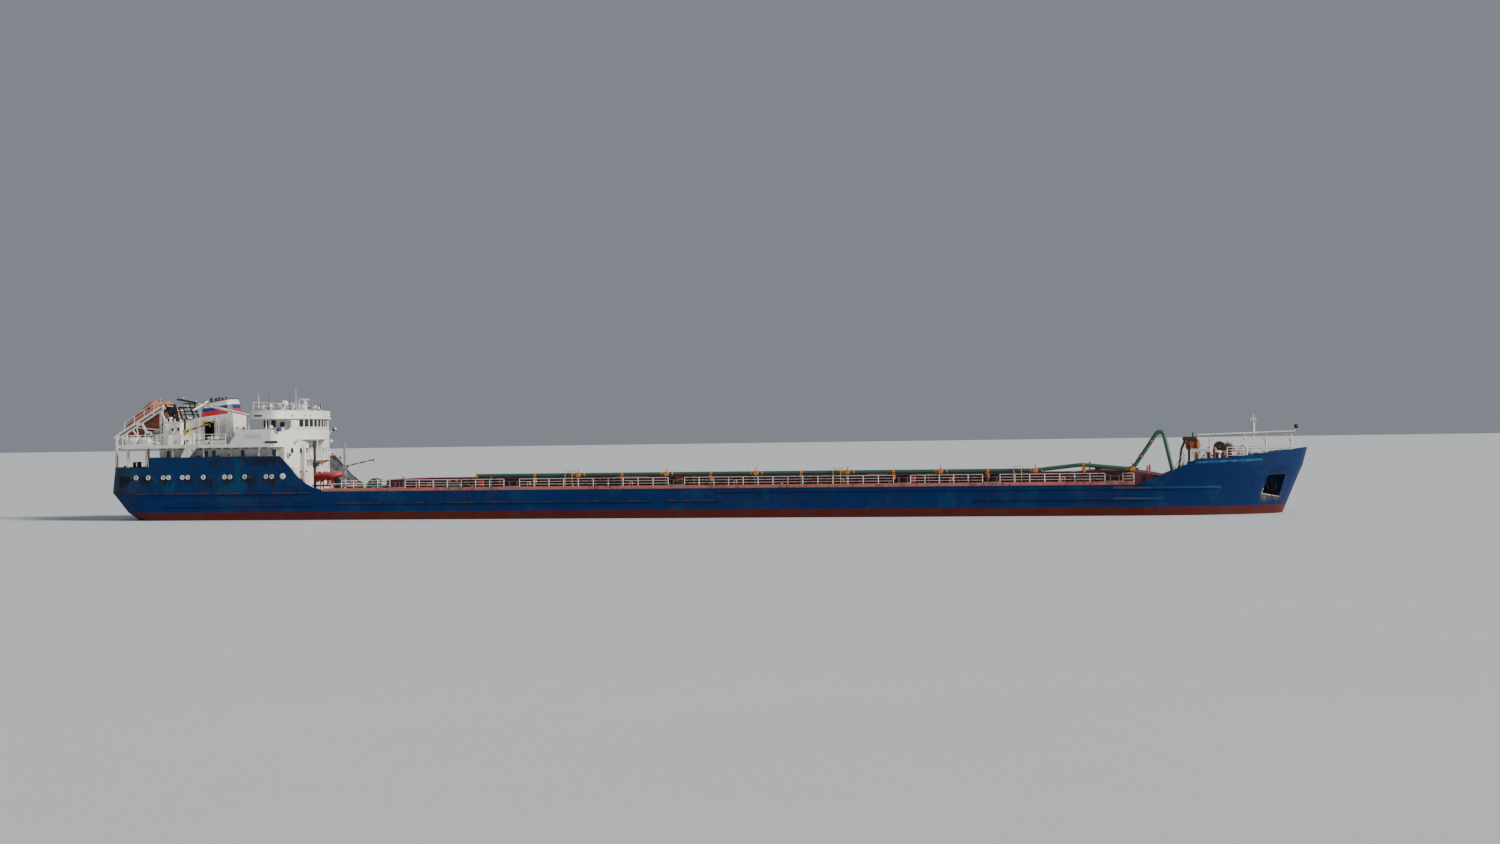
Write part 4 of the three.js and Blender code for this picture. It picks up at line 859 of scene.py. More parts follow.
def on_front(degrees, z, out=0.0):
    """A point on the rounded front of the superstructure, and the way that it faces."""
    facing = compass(degrees)
    return Vector((FRONT_CENTRE, 0, z)) + facing * (FRONT_RADIUS + out), facing


def compass(degrees):
    """A level arm of unit length that points so many degrees to port of ahead."""
    turn = math.radians(degrees)
    return Vector((math.cos(turn), math.sin(turn), 0))


def front_angle(y):
    """The angle on the rounded front at a distance from the middle."""
    return math.degrees(math.asin(y / FRONT_RADIUS))


def front_bar(shape, z, reach, steps, inner, outer, inner_half, outer_half):
    """A bar round the front between two angles, from its inner to its outer face."""
    rings = []
    for i in range(steps + 1):
        angle = -reach + 2 * reach * i / steps
        wall, edge = on_front(angle, z, inner)[0], on_front(angle, z, outer)[0]
        rings.append([wall - UP * inner_half, edge - UP * outer_half, edge + UP * outer_half,
                      wall + UP * inner_half])
    shape.rings(rings)


def steel_door(shape, centre, normal, wide=0.36, tall=0.9, paint="white", pane=True):
    """A weathertight door: frame, pressed leaf, hinges and clips, and a small port."""
    across, up, normal = wall_axes(normal)
    centre = Vector(centre)
    shape.trim(centre, normal, (wide, tall, 0.16), 0.07, -0.01, 0.07, paint)
    shape.panel(centre, normal, rounded(wide - 0.015, tall - 0.015, 0.15), 0.0, 0.045, paint)
    shape.panel(centre, normal, rounded(wide * 0.7, tall * 0.82, 0.1), 0.04, 0.06, paint)
    for level in (-0.7, -0.25, 0.25, 0.7):
        for side in SIDES:
            clip = centre + across * side * wide + up * tall * level + normal * 0.08
            end = clip + across * side * 0.06
            shape.tube([clip - across * side * 0.1, end], 0.02, 6, paint)
            shape.turned(end, normal, [(-0.03, 0.03), (0.03, 0.03)], 8, paint)
    if pane:
        shape.port(centre + up * tall * 0.45 + normal * 0.05, normal, 0.11, paint)


def ladder(shape, foot, head, across, half=0.2, pitch=0.3, bar=0.025, paint="white"):
    """Two stringers and round rungs, with across the way from one stringer to the other."""
    foot, head = Vector(foot), Vector(head)
    reach = Vector(across).normalized() * half
    for side in SIDES:
        shape.tube([foot + reach * side, head + reach * side], bar, 6, paint)
    count = max(2, round((head - foot).length / pitch))
    for i in range(1, count):
        step = foot.lerp(head, i / count)
        shape.tube([step - reach, step + reach], bar * 0.8, 6, paint)


def stair(shape, foot, head, across, half=0.36, rail=0.95, paint="white", tread="steel"):
    """A ship's stair: side plates, flat treads and a handrail on each side."""
    foot, head = Vector(foot), Vector(head)
    across = Vector(across).normalized()
    ahead = Vector((head.x - foot.x, head.y - foot.y, 0)).normalized()
    count = max(2, round((head.z - foot.z) / 0.24))
    for side in SIDES:
        low, high = foot + across * side * half, head + across * side * half
        edge, deep = across * 0.025, UP * 0.1
        shape.rings([[end - deep - edge, end - deep + edge, end + deep + edge, end + deep - edge]
                     for end in (low, high)], paint)
        shape.tube([low, low + UP * rail, high + UP * rail, high], 0.03, 6, paint)
        shape.tube([low + UP * rail * 0.55, high + UP * rail * 0.55], 0.022, 6, paint)
        middle = low.lerp(high, 0.5)
        shape.tube([middle, middle + UP * rail], 0.025, 6, paint)
    for i in range(count):
        step = foot.lerp(head, (i + 0.5) / count)
        reach, thick = ahead * 0.12, UP * 0.03
        shape.rings([[end - reach, end + reach, end + reach - thick, end - reach - thick]
                     for end in (step - across * half, step + across * half)], tread)


def floodlight(shape, base, centre, towards, radius=0.14, paint="white", back=None):
    """A round lamp on an arm."""
    centre = Vector(centre)
    towards = Vector(towards).normalized()
    shape.tube([base, centre], 0.03, 6, paint)
    hood = [(-0.9, 0.3), (-0.65, 0.75), (0.4, 1.0), (0.7, 1.0), (0.7, 0.86), (0.5, 0.8), (0.5, 0.0)]
    shape.turned(centre, towards, [(a * radius, b * radius) for a, b in hood], 16, back or paint)
    lens = [(0.48, 0.8), (0.6, 0.6), (0.66, 0.3), (0.68, 0.0)]
    shape.turned(centre, towards, [(a * radius, b * radius) for a, b in lens], 16, "lens")


def gooseneck(shape, foot, height, reach, radius, paint="white"):
    """A vent pipe that bends over and down again; reach is the x, y step of its bend."""
    foot = Vector(foot)
    out = Vector((*reach, 0))
    top = foot + UP * height
    path = [foot, top]
    for i in range(1, 7):
        turn = math.pi * i / 6
        path.append(top + out * (1 - math.cos(turn)) / 2 + UP * math.sin(turn) * out.length / 2)
    path.append(path[-1] - UP * out.length * 0.4)
    shape.tube(path, radius, 12, paint)
    shape.turned(foot, UP, [(0, radius * 1.7), (0.05, radius * 1.7)], 14, paint)
    shape.turned(path[-1], -UP, [(-0.04, radius * 1.25), (0.08, radius * 1.25), (0.08, 0)], 12, paint)


def mushroom(shape, foot, height, radius, paint="white"):
    """A mushroom vent."""
    profile = [(0, 1.5), (0.04, 1.5), (0.04, 1.0), (height, 1.0), (height, 1.75), (height + 0.08, 1.85),
               (height + 0.18, 1.3), (height + 0.22, 0.5), (height + 0.23, 0.0)]
    shape.turned(foot, UP, [(a, b * radius) for a, b in profile], 16, paint)


def hand_wheel(shape, centre, axis, radius, paint="orange"):
    """A valve's wheel with four spokes, and its stem."""
    centre = Vector(centre)
    axis = Vector(axis).normalized()
    shape.hoop(centre, axis, radius, radius * 0.13, 20, paint, 6)
    right, up, left, down = circle(centre, axis, radius, 4)
    for ends in ((left, right), (down, up)):
        shape.tube(ends, radius * 0.09, 6, paint)
    shape.tube([centre + axis * radius * 0.2, centre - axis * radius * 1.2], radius * 0.12, 8, paint)


def life_ring(shape, centre, normal, radius=0.31):
    """A life ring with four pale bands, on a flat bracket."""
    centre = Vector(centre)
    across, up, normal = wall_axes(normal)
    shape.hoop(centre, normal, radius, 0.07, 32, "life_ring", 10)
    for quarter in range(4):
        path = []
        for i in range(5):
            turn = math.radians(90 * quarter + 45 + (i - 2) * 6)
            path.append(centre + (across * math.cos(turn) + up * math.sin(turn)) * radius)
        shape.tube(path, 0.076, 10, "white")
    shape.tube([centre - up * radius - normal * 0.05, centre + up * radius - normal * 0.05], 0.03, 6, "white")


def pillar_foot(shape, foot, sides=12, paint="white"):
    """The round plate that a pillar stands on."""
    shape.turned(foot, UP, [(0, 0.13), (0.03, 0.13), (0.05, 0.07)], sides, paint)


def bollard_pair(shape, centre, along, radius, height, spread, paint="black"):
    """Two posts with caps and flanged feet."""
    centre = Vector(centre)
    along = Vector(along).normalized()
    for side in SIDES:
        profile = [(0, 1.25), (0.05, 1.25), (0.08, 1), (height - 0.1, 1), (height - 0.06, 1.3),
                   (height, 1.3), (height + 0.02, 1.1), (height + 0.02, 0)]
        shape.turned(centre + along * side * spread, UP, [(a, b * radius) for a, b in profile], 16, paint)


def crate(shape, low, high, lid="navy", body="white"):
    """A deck box with a lid that overhangs, and feet."""
    (x0, y0, z0), (x1, y1, z1) = low, high
    shape.box(x0 + 0.02, x1 - 0.02, y0 + 0.02, y1 - 0.02, z0 + 0.06, z1 - 0.05, body)
    shape.bed(x0, x1, y0, y1, 0.06, z1 - 0.07, z1, lid)
    for x in (x0 + 0.12, x1 - 0.12):
        for y in (y0 + 0.08, y1 - 0.08):
            shape.box(x - 0.04, x + 0.04, y - 0.03, y + 0.03, z0, z0 + 0.07, "black")


def rounded_plan(x0, x1, y0, y1, corner):
    """The outline of a rounded rectangle from its corners."""
    middle_x, middle_y = (x0 + x1) / 2, (y0 + y1) / 2
    return [(middle_x + a, middle_y + b) for a, b in rounded((x1 - x0) / 2, (y1 - y0) / 2, corner)]


def coil(shape, centre, radius, turns, thick, paint="rope"):
    """A rope's loose coil lying on deck."""
    picker = random.Random(round(centre[0] * 10))
    path = []
    steps = 14
    for i in range(turns * steps):
        turn = 2 * math.pi * i / steps
        reach = radius * (1 - 0.5 * i / (turns * steps)) * (1 + picker.uniform(-0.05, 0.05))
        path.append((centre[0] + reach * math.cos(turn) * 1.3, centre[1] + reach * math.sin(turn) * 0.7,
                     centre[2] + thick * (1 + 1.5 * i / (turns * steps))))
    shape.tube(path, thick, 6, paint)


# Guard rails

def rail_run(shape, points, height, bar, levels=(0.28, 0.55, 0.8, 1.0), pitch=1.45, paint="white", feet=True):
    """A guard rail along a run of points on deck: posts with foot plates, and bars from post to post."""
    points = [Vector(p) for p in points]
    for a, b in zip(points, points[1:]):
        count = max(1, round((b - a).length / pitch))
        for i in range(count + 1):
            foot = a.lerp(b, i / count)
            shape.tube([foot, foot + UP * height], bar * 1.25, 8, paint)
            if feet:
                shape.turned(foot, UP, [(0, bar * 2.6), (0.03, bar * 2.6), (0.05, bar * 1.3)], 8, paint)
    for level in levels:
        shape.tube([p + UP * height * level for p in points], bar * (1.0 if level == 1.0 else 0.7), 6, paint)


# What can be set

def paint_setting(name, description, default):
    """A colour that the panel shows."""
    return FloatVectorProperty(name=name, description=description, default=default, subtype="COLOR", size=3)


def size_setting(name, description, default, lowest):
    """A length that the panel shows."""
    return FloatProperty(name=name, description=description, default=default, min=lowest)


class ShipPaints(bpy.types.PropertyGroup):
    """Paint colours of the ship."""
    hull_blue: paint_setting("Hull blue", "Topside paint", (0.002, 0.027, 0.135))
    poop_blue: paint_setting("Poop blue", "Patched paint on the poop's side", (0.005, 0.06, 0.14))
    bottom_red: paint_setting("Bottom red", "Paint below the boot-top", (0.125, 0.013, 0.01))
    deck_red: paint_setting("Deck red", "Paint on the open decks", (0.3, 0.09, 0.075))
    white: paint_setting("White", "Paint on the deckhouses", (0.82, 0.81, 0.78))
    maroon: paint_setting("Maroon", "Paint on the coamings", (0.15, 0.022, 0.045))
    salmon: paint_setting("Salmon", "Paint on the deck edge", (0.5, 0.15, 0.12))
    pipe_green: paint_setting("Pipe green", "Paint on the cargo pipe", (0.02, 0.11, 0.075))
    orange: paint_setting("Orange", "Paint on machines and pipe joints", (0.7, 0.2, 0.02))
    band_red: paint_setting("Band red", "Lower band on the funnel", (0.6, 0.015, 0.02))
    band_blue: paint_setting("Band blue", "Middle band on the funnel", (0.012, 0.03, 0.18))


class ShipSizes(bpy.types.PropertyGroup):
    """Sizes of the fittings, in metres of the real ship."""
    rail_height: size_setting("Rail height", "Top of the guard rails above their deck", 1.0, 0.5)
    rail_pitch: size_setting("Rail post pitch", "From one post of a guard rail to the next", 1.45, 0.5)
    rail_bar: size_setting("Rail bar radius", "Radius of a guard rail's bars", 0.03, 0.01)
    strake_depth: size_setting("Strake depth", "Depth of a rubbing strake", 0.18, 0.02)
    porthole_radius: size_setting("Porthole radius", "Clear radius of a hull porthole", 0.17, 0.05)


# Hull

# The strakes between the curved ends: height, from x, to x
STRAKES = ((1.65, -29.0, -1.3), (1.65, 0.0, 5.2), (2.55, 4.9, 44.0), (1.57, 29.5, 44.0))
STRAKE_PROUD = 0.095
BOW_STRAKE = ((49.6, 4.78), (52.4, 4.86), (55.1, 4.97))
BOW_PROUD = 0.06
# The portholes from aft, and what their panes look like
PORTHOLES = (
    (-56.0, "dark_glass"), (-55.5, "grey"), (-54.15, "grey"), (-53.6, "dark_glass"), (-52.5, "blind"),
    (-51.9, "blind"), (-50.4, "blind"), (-49.8, "blind"), (-48.1, "grey"), (-47.5, "dark_glass"),
    (-45.8, "blind"), (-45.2, "blind"), (-43.6, "grey"), (-43.0, "dark_glass"), (-41.3, "blind"),
             (-40.7, "blind"),
)
PORTHOLE_Z = 4.35
DISC = (-39.5, 4.38)
BULWARK_IN = 0.13                       # from the hull's outer side to the inner side of its bulwark


def strake_run(shape, path, half, proud):
    """A bar with chamfered edges along the hull."""
    section = [(-0.01, -half), (proud * 0.8, -half), (proud, -half * 0.7), (proud, half * 0.7),
               (proud * 0.8, half), (-0.01, half)]
    rings = []
    for point, normal in path:
        out = Vector((normal.x, normal.y, 0)).normalized()
        rings.append([point + out * a + UP * b for a, b in section])
    shape.rings(rings, "hull")


def build_hull():
    """The plating with its strakes, portholes, stays and underwater fittings."""
    sizes = bpy.context.scene.ship_sizes
    for node in HULL_NODES:
        plated(node, "hull", 0.015, 28.0)

    strakes = Shape()
    half = sizes.strake_depth / 2
    for side in SIDES:
        for height, start, end in STRAKES:
            path = [hull_side(x, height, side) for x in (start + 0.01, end - 0.01)]
            strake_run(strakes, path, half, STRAKE_PROUD)
        strake_run(strakes, [hull_side(x, z, side) for x, z in BOW_STRAKE], half, BOW_PROUD)
    strakes.build("hull_strakes", slot="hull_blue")

    ports = Shape()
    for side in SIDES:
        for x, pane in PORTHOLES:
            point, normal = hull_side(x, PORTHOLE_Z, side)
            rim = "hull" if pane == "dark_glass" else "worn_white"
            ports.port(point, normal, sizes.porthole_radius, rim, pane)
        point, normal = hull_side(*DISC, side)
        ports.turned(point - normal * 0.02, normal, [(0, 0.3), (0.035, 0.3), (0.045, 0.27), (0.045, 0.0)], 28)
    ports.build("hull_portholes", slot="hull_blue")

    build_bulwark_stays()
    build_underwater()


def build_bulwark_stays():
    """Brackets inside the bulwarks, and the rounded rail on their upper edges."""
    stays = Shape()
    plates = [(-53.2 + 1.25 * i, POOP_DECK, 6.2, 0.42) for i in range(11)]
    plates += [(-39.2, DECK, 5.5, 0.35), (-38.1, DECK, 4.2, 0.35)]
    slope = ((-39.85, 6.31), (-39.3, 5.79), (-38.0, 4.31), (-37.0, 3.51), (-36.3, 3.16), (-35.45, 2.96))
    for side in SIDES:
        wall = side * (HALF_BEAM - BULWARK_IN)
        edge = side * (HALF_BEAM - 0.06)
        for x, deck, top, deep in plates:
            outline = [(wall - side * deep, deck + 0.01), (wall, deck + 0.01), (wall, top),
                       (wall - side * 0.08, top)]
            stays.plate(outline, x, x + 0.05, "yz", "hull")
        stays.tube([(-53.95, edge, 6.31), (-39.85, edge, 6.31)], 0.085, 10, "hull")
        stays.tube([(x, edge, z) for x, z in slope], 0.075, 10, "hull")
    stays.build("poop_bulwark_stays", slot="hull_blue")

    bow = Shape()
    for side in SIDES:
        for i in range(9):
            point, normal = hull_side(49.6 + 0.95 * i, 5.0, side)
            inward = Vector((-normal.x, -normal.y, 0)).normalized()
            foot = point + inward * (BULWARK_IN + 0.03)
            foot.z = FORECASTLE_DECK + 0.01
            top = foot.copy()
            top.z = 4.95 + 0.085 * i
            outline = [foot + inward * 0.4, foot, top, top + inward * 0.07]
            bow.rings([outline, [corner + AHEAD * 0.05 for corner in outline]], "hull")
    bow.build("bow_bulwark_stays", slot="hull_blue")


def build_underwater():
    """Zinc blocks, sea gratings and the shafts' sleeves below the water."""
    zincs = Shape()
    for side in SIDES:
        for x in (-30.0, -18.0, -6.0, 6.0, 18.0, 30.0):
            point, normal = hull_side(x, -1.9, side)
            zincs.panel(point, normal, rounded(0.35, 0.09, 0.03), -0.02, 0.07, "zinc")
        for x in (-35.5, -33.9):
            point, normal = hull_side(x, -1.2, side)
            across, up, out = wall_axes(normal)
            zincs.trim(point, out, (0.5, 0.38, 0.05), 0.06, -0.02, 0.03, "steel")
            for i in range(7):
                bar = point + up * (-0.33 + 0.11 * i)
                zincs.tube([bar - across * 0.5, bar + across * 0.5], 0.018, 6, "steel")
        for z in (-1.35, -0.75):
            for face in SIDES:
                y = side * 3.2 + face * 0.16
                zincs.box(-56.9, -56.4, y - 0.04, y + 0.04, z - 0.07, z + 0.07, "zinc")
        zincs.turned((-54.06, side * 3.2, -1.65), AHEAD, [(-0.03, 0.3), (0.22, 0.3), (0.26, 0.24)], 20,
                     "steel")
    for z in (-1.4, -1.9):
        for face in SIDES:
            zincs.box(-52.4, -51.7, face * 0.2 - 0.05, face * 0.2 + 0.05, z - 0.08, z + 0.08, "zinc")
    zincs.build("underwater_fittings", slot="bottom_red", bevel=0.01)


# Deckhouses

PLAIN_WHITE = ("poop_house", "accommodation_front", "bridge_wings", "wheelhouse", "monkey_island")
FRONT_WINDOWS = 8
WINDOW_STEP = math.degrees(0.9 / FRONT_RADIUS)
WINDOW_Z = 9.65
# Small ports on the front: their angles on the rounded plan
TOWER_PORTS = (-18.8, -13.4, -9.1, 6.75, 11.35)
LOW_PORTS = (-13.7, -9.7, 7.3)
TIER_WINDOWS = (-52.5, -48.35, -47.5, -44.35, -40.95)
TIER_WINDOW_Z = 6.7


def build_houses():
    """The plating of the deckhouses and all that is fitted to them."""
    for node in PLAIN_WHITE:
        plated(node)
    plated("boat_deck", "worn_white")
    plated("engine_casing", "casing", 0.01)
    plated("funnel", "funnel", 0.03, 40.0)
    build_wheelhouse_windows()
    build_front()
    build_wings()
    build_island()
    build_poop_house()
    build_casing()


def build_wheelhouse_windows():
    """The wheelhouse: panes, frames, wipers, ledges and the two doors."""
    panes = Shape()
    low, high = span("wheelhouse")
    holes = []
    for i in range(FRONT_WINDOWS):
        place, facing = on_front((i - (FRONT_WINDOWS - 1) / 2) * WINDOW_STEP, WINDOW_Z)
        holes.append((place, facing, 0.34))
    for side in SIDES:
        for x in (-42.32, -41.5):
            holes.append((Vector((x, side * high.y, WINDOW_Z)), PORT * side, 0.26))
        for y in (1.6, 3.2):
            holes.append((Vector((low.x, side * y, WINDOW_Z)), -AHEAD, 0.35))
    for place, facing, half in holes:
        panes.panel(place, facing, rounded(half - 0.012, 0.338, 0.03), -0.075, -0.06, "glass")
        panes.trim(place, facing, (half - 0.05, 0.3, 0.06), 0.035, -0.058, -0.02, "rubber")
        panes.trim(place, facing, (half + 0.002, 0.352, 0.05), 0.05, -0.01, 0.03)
    # Wipers on the front windows.
    for place, facing, half in holes[:FRONT_WINDOWS]:
        across, up, facing = wall_axes(facing)
        foot = place + up * 0.4 + facing * 0.05
        panes.turned(foot, facing, [(-0.05, 0.045), (0.02, 0.045), (0.03, 0.03)], 10, "black")
        tip = place - up * 0.05 - across * 0.16 + facing * 0.02
        panes.tube([foot, tip], 0.012, 6, "black")
        panes.tube([tip - across * 0.06 - up * 0.2, tip + across * 0.06 + up * 0.2], 0.012, 6, "rubber")
    # A ledge over the windows and a sill under them.
    for z in (9.18, 10.06):
        front_bar(panes, z, 17.6, 24, -0.01, 0.05, 0.03, 0.03)
    panes.build("wheelhouse_windows")

    for name, side in HANDS:
        leaf = Shape()
        node = "bridge_door_" + name
        low, high = span(node)
        face = side * 4.4
        middle = Vector(((low.x + high.x) / 2, face, (low.z + high.z) / 2))
        half = Vector(((high.x - low.x) / 2, 0, (high.z - low.z) / 2))
        hole = Vector((-40.55, face, 9.55))
        leaf.panel(hole, PORT * side, rounded(0.24, 0.24, 0.02), -0.04, -0.025, "glass")
        leaf.trim(hole, PORT * side, (0.25, 0.25, 0.05), 0.04, -0.005, 0.02)
        leaf.trim(middle, PORT * side, (half.x - 0.09, half.z - 0.09, 0.08), 0.03, -0.005, 0.015)
        for level in (-0.6, 0.55):
            hinge = middle + Vector((half.x - 0.02, side * 0.02, level))
            leaf.tube([hinge - UP * 0.08, hinge + UP * 0.08], 0.02, 8, "steel")
        grip = Vector((low.x + 0.12, face, 9.0))
        leaf.turned(grip, PORT * side, [(0, 0.05), (0.02, 0.05), (0.03, 0.03), (0.07, 0.03)], 12, "brass")
        leaf.tube([grip + PORT * side * 0.06, grip + Vector((0.16, side * 0.06, 0))], 0.018, 8, "brass")
        plated(node, "white", 0.005)
        leaf.build(node + "_fittings", body_of_node(node))


def build_front():
    """The rounded front: ports, porch, canopy, lamps and the pipes on it."""
    front = Shape()
    for angle in TOWER_PORTS:
        front.window(*on_front(angle, 6.9), (0.17, 0.3, 0.17))
    for angle in LOW_PORTS:
        front.port(*on_front(angle, 4.77), 0.13)
    # A half-round bar at the foot of each tier.
    for z in (5.25, 7.55):
        front_bar(front, z, 22.6, 20, -0.005, 0.03, 0.035, 0.025)

    # Porch: a door and its frame inside, rails round the platform, brackets under it.
    deck, roof = 6.0, 8.0
    out = -37.93
    steel_door(front, (-39.57, 0.25, deck + 1.02), AHEAD, 0.34, 0.88)
    front.window((-39.58, -1.1, deck + 1.1), AHEAD, (0.3, 0.34, 0.06))
    for y in (-1.9, 0.95):
        front.tube([(out + 0.02, y, deck), (out + 0.02, y, roof)], 0.05, 10)
    rail = [(-38.9, -2.25, deck), (out, -2.25, deck), (out, 1.05, deck), (-38.85, 1.05, deck)]
    rail_run(front, rail, 1.0, 0.022, pitch=0.8)
    wall = -38.85
    for y in (-2.2, -0.6, 1.0):
        front.plate([(wall, deck - 0.1), (out, deck - 0.1), (wall, deck - 0.75)], y - 0.025, y + 0.025)
    canopy_edge = [(-39.1, -3.28, 8.04), (-37.93, -1.69, 8.04), (-37.93, 0.89, 8.04), (-38.9, 2.08, 8.04)]
    front.tube(canopy_edge, 0.045, 8)
    for y in (-1.2, 0.4):
        front.tube([(-38.0, y, 8.02), (-38.76, y, 7.55)], 0.025, 6)
    ladder(front, (-37.9, -0.2, DECK + 0.1), (-37.9, -0.2, deck - 0.1), PORT, 0.2)
    for level in (3.3, 4.3, 5.3):
        for y in (-0.4, 0.0):
            front.tube([(-37.9, y, level), (-38.8, y, level)], 0.02, 6)
    # Hose rack and pipes down the front.
    for y, top in ((-2.9, 7.4), (-2.75, 7.1), (2.3, 7.5), (3.4, 5.2), (-4.4, 5.3)):
        angle = front_angle(y)
        low, high = on_front(angle, DECK + 0.05, 0.07)[0], on_front(angle, top, 0.07)[0]
        front.tube([low, high, on_front(angle, top, -0.01)[0]], 0.035, 8)
        for share in (0.2, 0.5, 0.8):
            clamp = low.lerp(high, share)
            front.tube([clamp, on_front(angle, clamp.z, -0.01)[0]], 0.05, 6)
    for y, z in ((-3.5, 3.7), (3.0, 3.8)):
        place, facing = on_front(front_angle(y), z)
        front.panel(place, facing, rounded(0.32, 0.42, 0.03), -0.02, 0.22, "red")
        front.trim(place, facing, (0.24, 0.34, 0.03), 0.03, 0.21, 0.235, "red")
    for y in (-5.0, 4.7):
        steel_door(front, *on_front(front_angle(y), DECK + 1.05, -0.02), 0.36, 0.92)
    # Side lamps on their boxes, and floodlights for the deck.
    for side, lens in ((-1, "signal_green"), (1, "signal_red")):
        place, facing = on_front(side * 20.9, 6.55)
        front.panel(place, facing, rounded(0.16, 0.22, 0.02), -0.02, 0.2)
        lamp = place + facing * 0.3 + UP * -0.08
        front.turned(lamp, UP, [(-0.1, 0.08), (-0.07, 0.11), (0.12, 0.11), (0.15, 0.08)], 14, lens)
        front.turned(lamp, UP, [(0.14, 0.12), (0.18, 0.12), (0.22, 0.05)], 14)
        front.turned(lamp, UP, [(-0.14, 0.12), (-0.1, 0.12)], 14)
        high, facing = on_front(side * 17.0, 7.75)
        floodlight(front, high, high + facing * 0.3 + UP * 0.1, facing - UP * 0.8, 0.16)
    front.build("front_fittings", bevel=0.006)


def build_wings():
    """Bridge wings: rails on the bulwark, lamps, slots, the openings' louvres and a covered searchlight."""
    wings = Shape()
    for side in SIDES:
        outer = side * HALF_BEAM
        facing = PORT * side
        # A slot in the bulwark: its opening is a flat black panel in a trim, painted shade.
        wings.panel((-40.72, outer, 7.78), facing, rounded(0.72, 0.11, 0.1), -0.005, 0.004, "black")
        wings.trim((-40.72, outer, 7.78), facing, (0.72, 0.11, 0.1), 0.035, -0.01, 0.02)
        wings.trim((-42.55, outer, 8.44), facing, (0.85, 0.2, 0.03), 0.03, -0.01, 0.02)
        for i in range(7):
            level = 8.27 + 0.057 * i
            lip = outer + side * 0.03
            wings.plate([(outer, level), (lip, level - 0.02), (lip, level - 0.028), (outer, level - 0.012)],
                        -43.4, -41.7, "yz")
        # Top rail of the bulwark with its brackets.
        inside = side * (HALF_BEAM - 0.06)
        wings.tube([(-45.33, inside, 7.5), (-44.24, inside, 9.0), (-41.0, inside, 9.0)], 0.055, 10)
        for x in (-43.9, -42.7, -41.5):
            wings.plate([(inside - side * 0.06, 8.9), (inside - side * 0.4, BRIDGE_DECK + 0.01),
                         (inside - side * 0.06, BRIDGE_DECK + 0.01)], x, x + 0.04, "yz")
        # A covered searchlight and a lamp on a bracket ahead of the bulwark.
        cover = Vector((-39.83 + side * 0.12, side * 6.45, 8.93))
        arm = [Vector((-40.5, side * 6.3, 8.85)), Vector((-39.6, side * 6.4, 8.85)),
               Vector((-39.6, side * 6.4, 9.0))]
        wings.tube(arm, 0.035, 10)
        wings.tube([(-40.35, side * 6.33, 8.3), (arm[0] + arm[1]) / 2], 0.025, 8)
        wings.turned(cover, UP, [(-0.1, 0.1), (-0.03, 0.19), (0.2, 0.2), (0.28, 0.15), (0.31, 0.0)], 18,
                     "navy")
        wings.ball((-39.6, side * 6.4, 9.1), 0.15, 18)
        floodlight(wings, (-40.9, inside, 8.95), (-40.9, side * 6.35, 9.3), (0.9, side * 0.3, -0.1), 0.2)
        # Rail along the open aft side of the bridge deck.
        rail = [(-44.5, side * 1.2, BRIDGE_DECK), (-44.5, side * (HALF_BEAM - 0.2), BRIDGE_DECK)]
        rail_run(wings, rail, 1.0, 0.025, pitch=1.3)
        stair(wings, (-46.1, side * 3.6, BOAT_DECK), (-44.75, side * 3.6, BRIDGE_DECK), PORT, 0.35, 0.8)
        # Two pillars under the deck above.
        for x, y in ((-43.2, 6.45), (-41.3, 6.5)):
            wings.tube([(x, side * y, BRIDGE_DECK), (x, side * y, 10.11)], 0.06, 10)
            pillar_foot(wings, (x, side * y, BRIDGE_DECK))
        # A yellow lamp below the wing, the ladder to the deck above and boxes on the wheelhouse.
        floodlight(wings, (-42.0, inside, 7.32), (-42.0, inside, 7.14), (0, side * 0.2, -1), 0.09, "yellow")
        ladder(wings, (-43.26, side * 4.0, BRIDGE_DECK + 0.05), (-43.26, side * 4.0, 10.1), PORT, 0.2)
        for y in (side * 2.4, side * 0.6):
            wings.panel((-43.1, y, 9.0), -AHEAD, rounded(0.2, 0.3, 0.03), -0.01, 0.14)
    wings.build("wing_fittings", bevel=0.006)


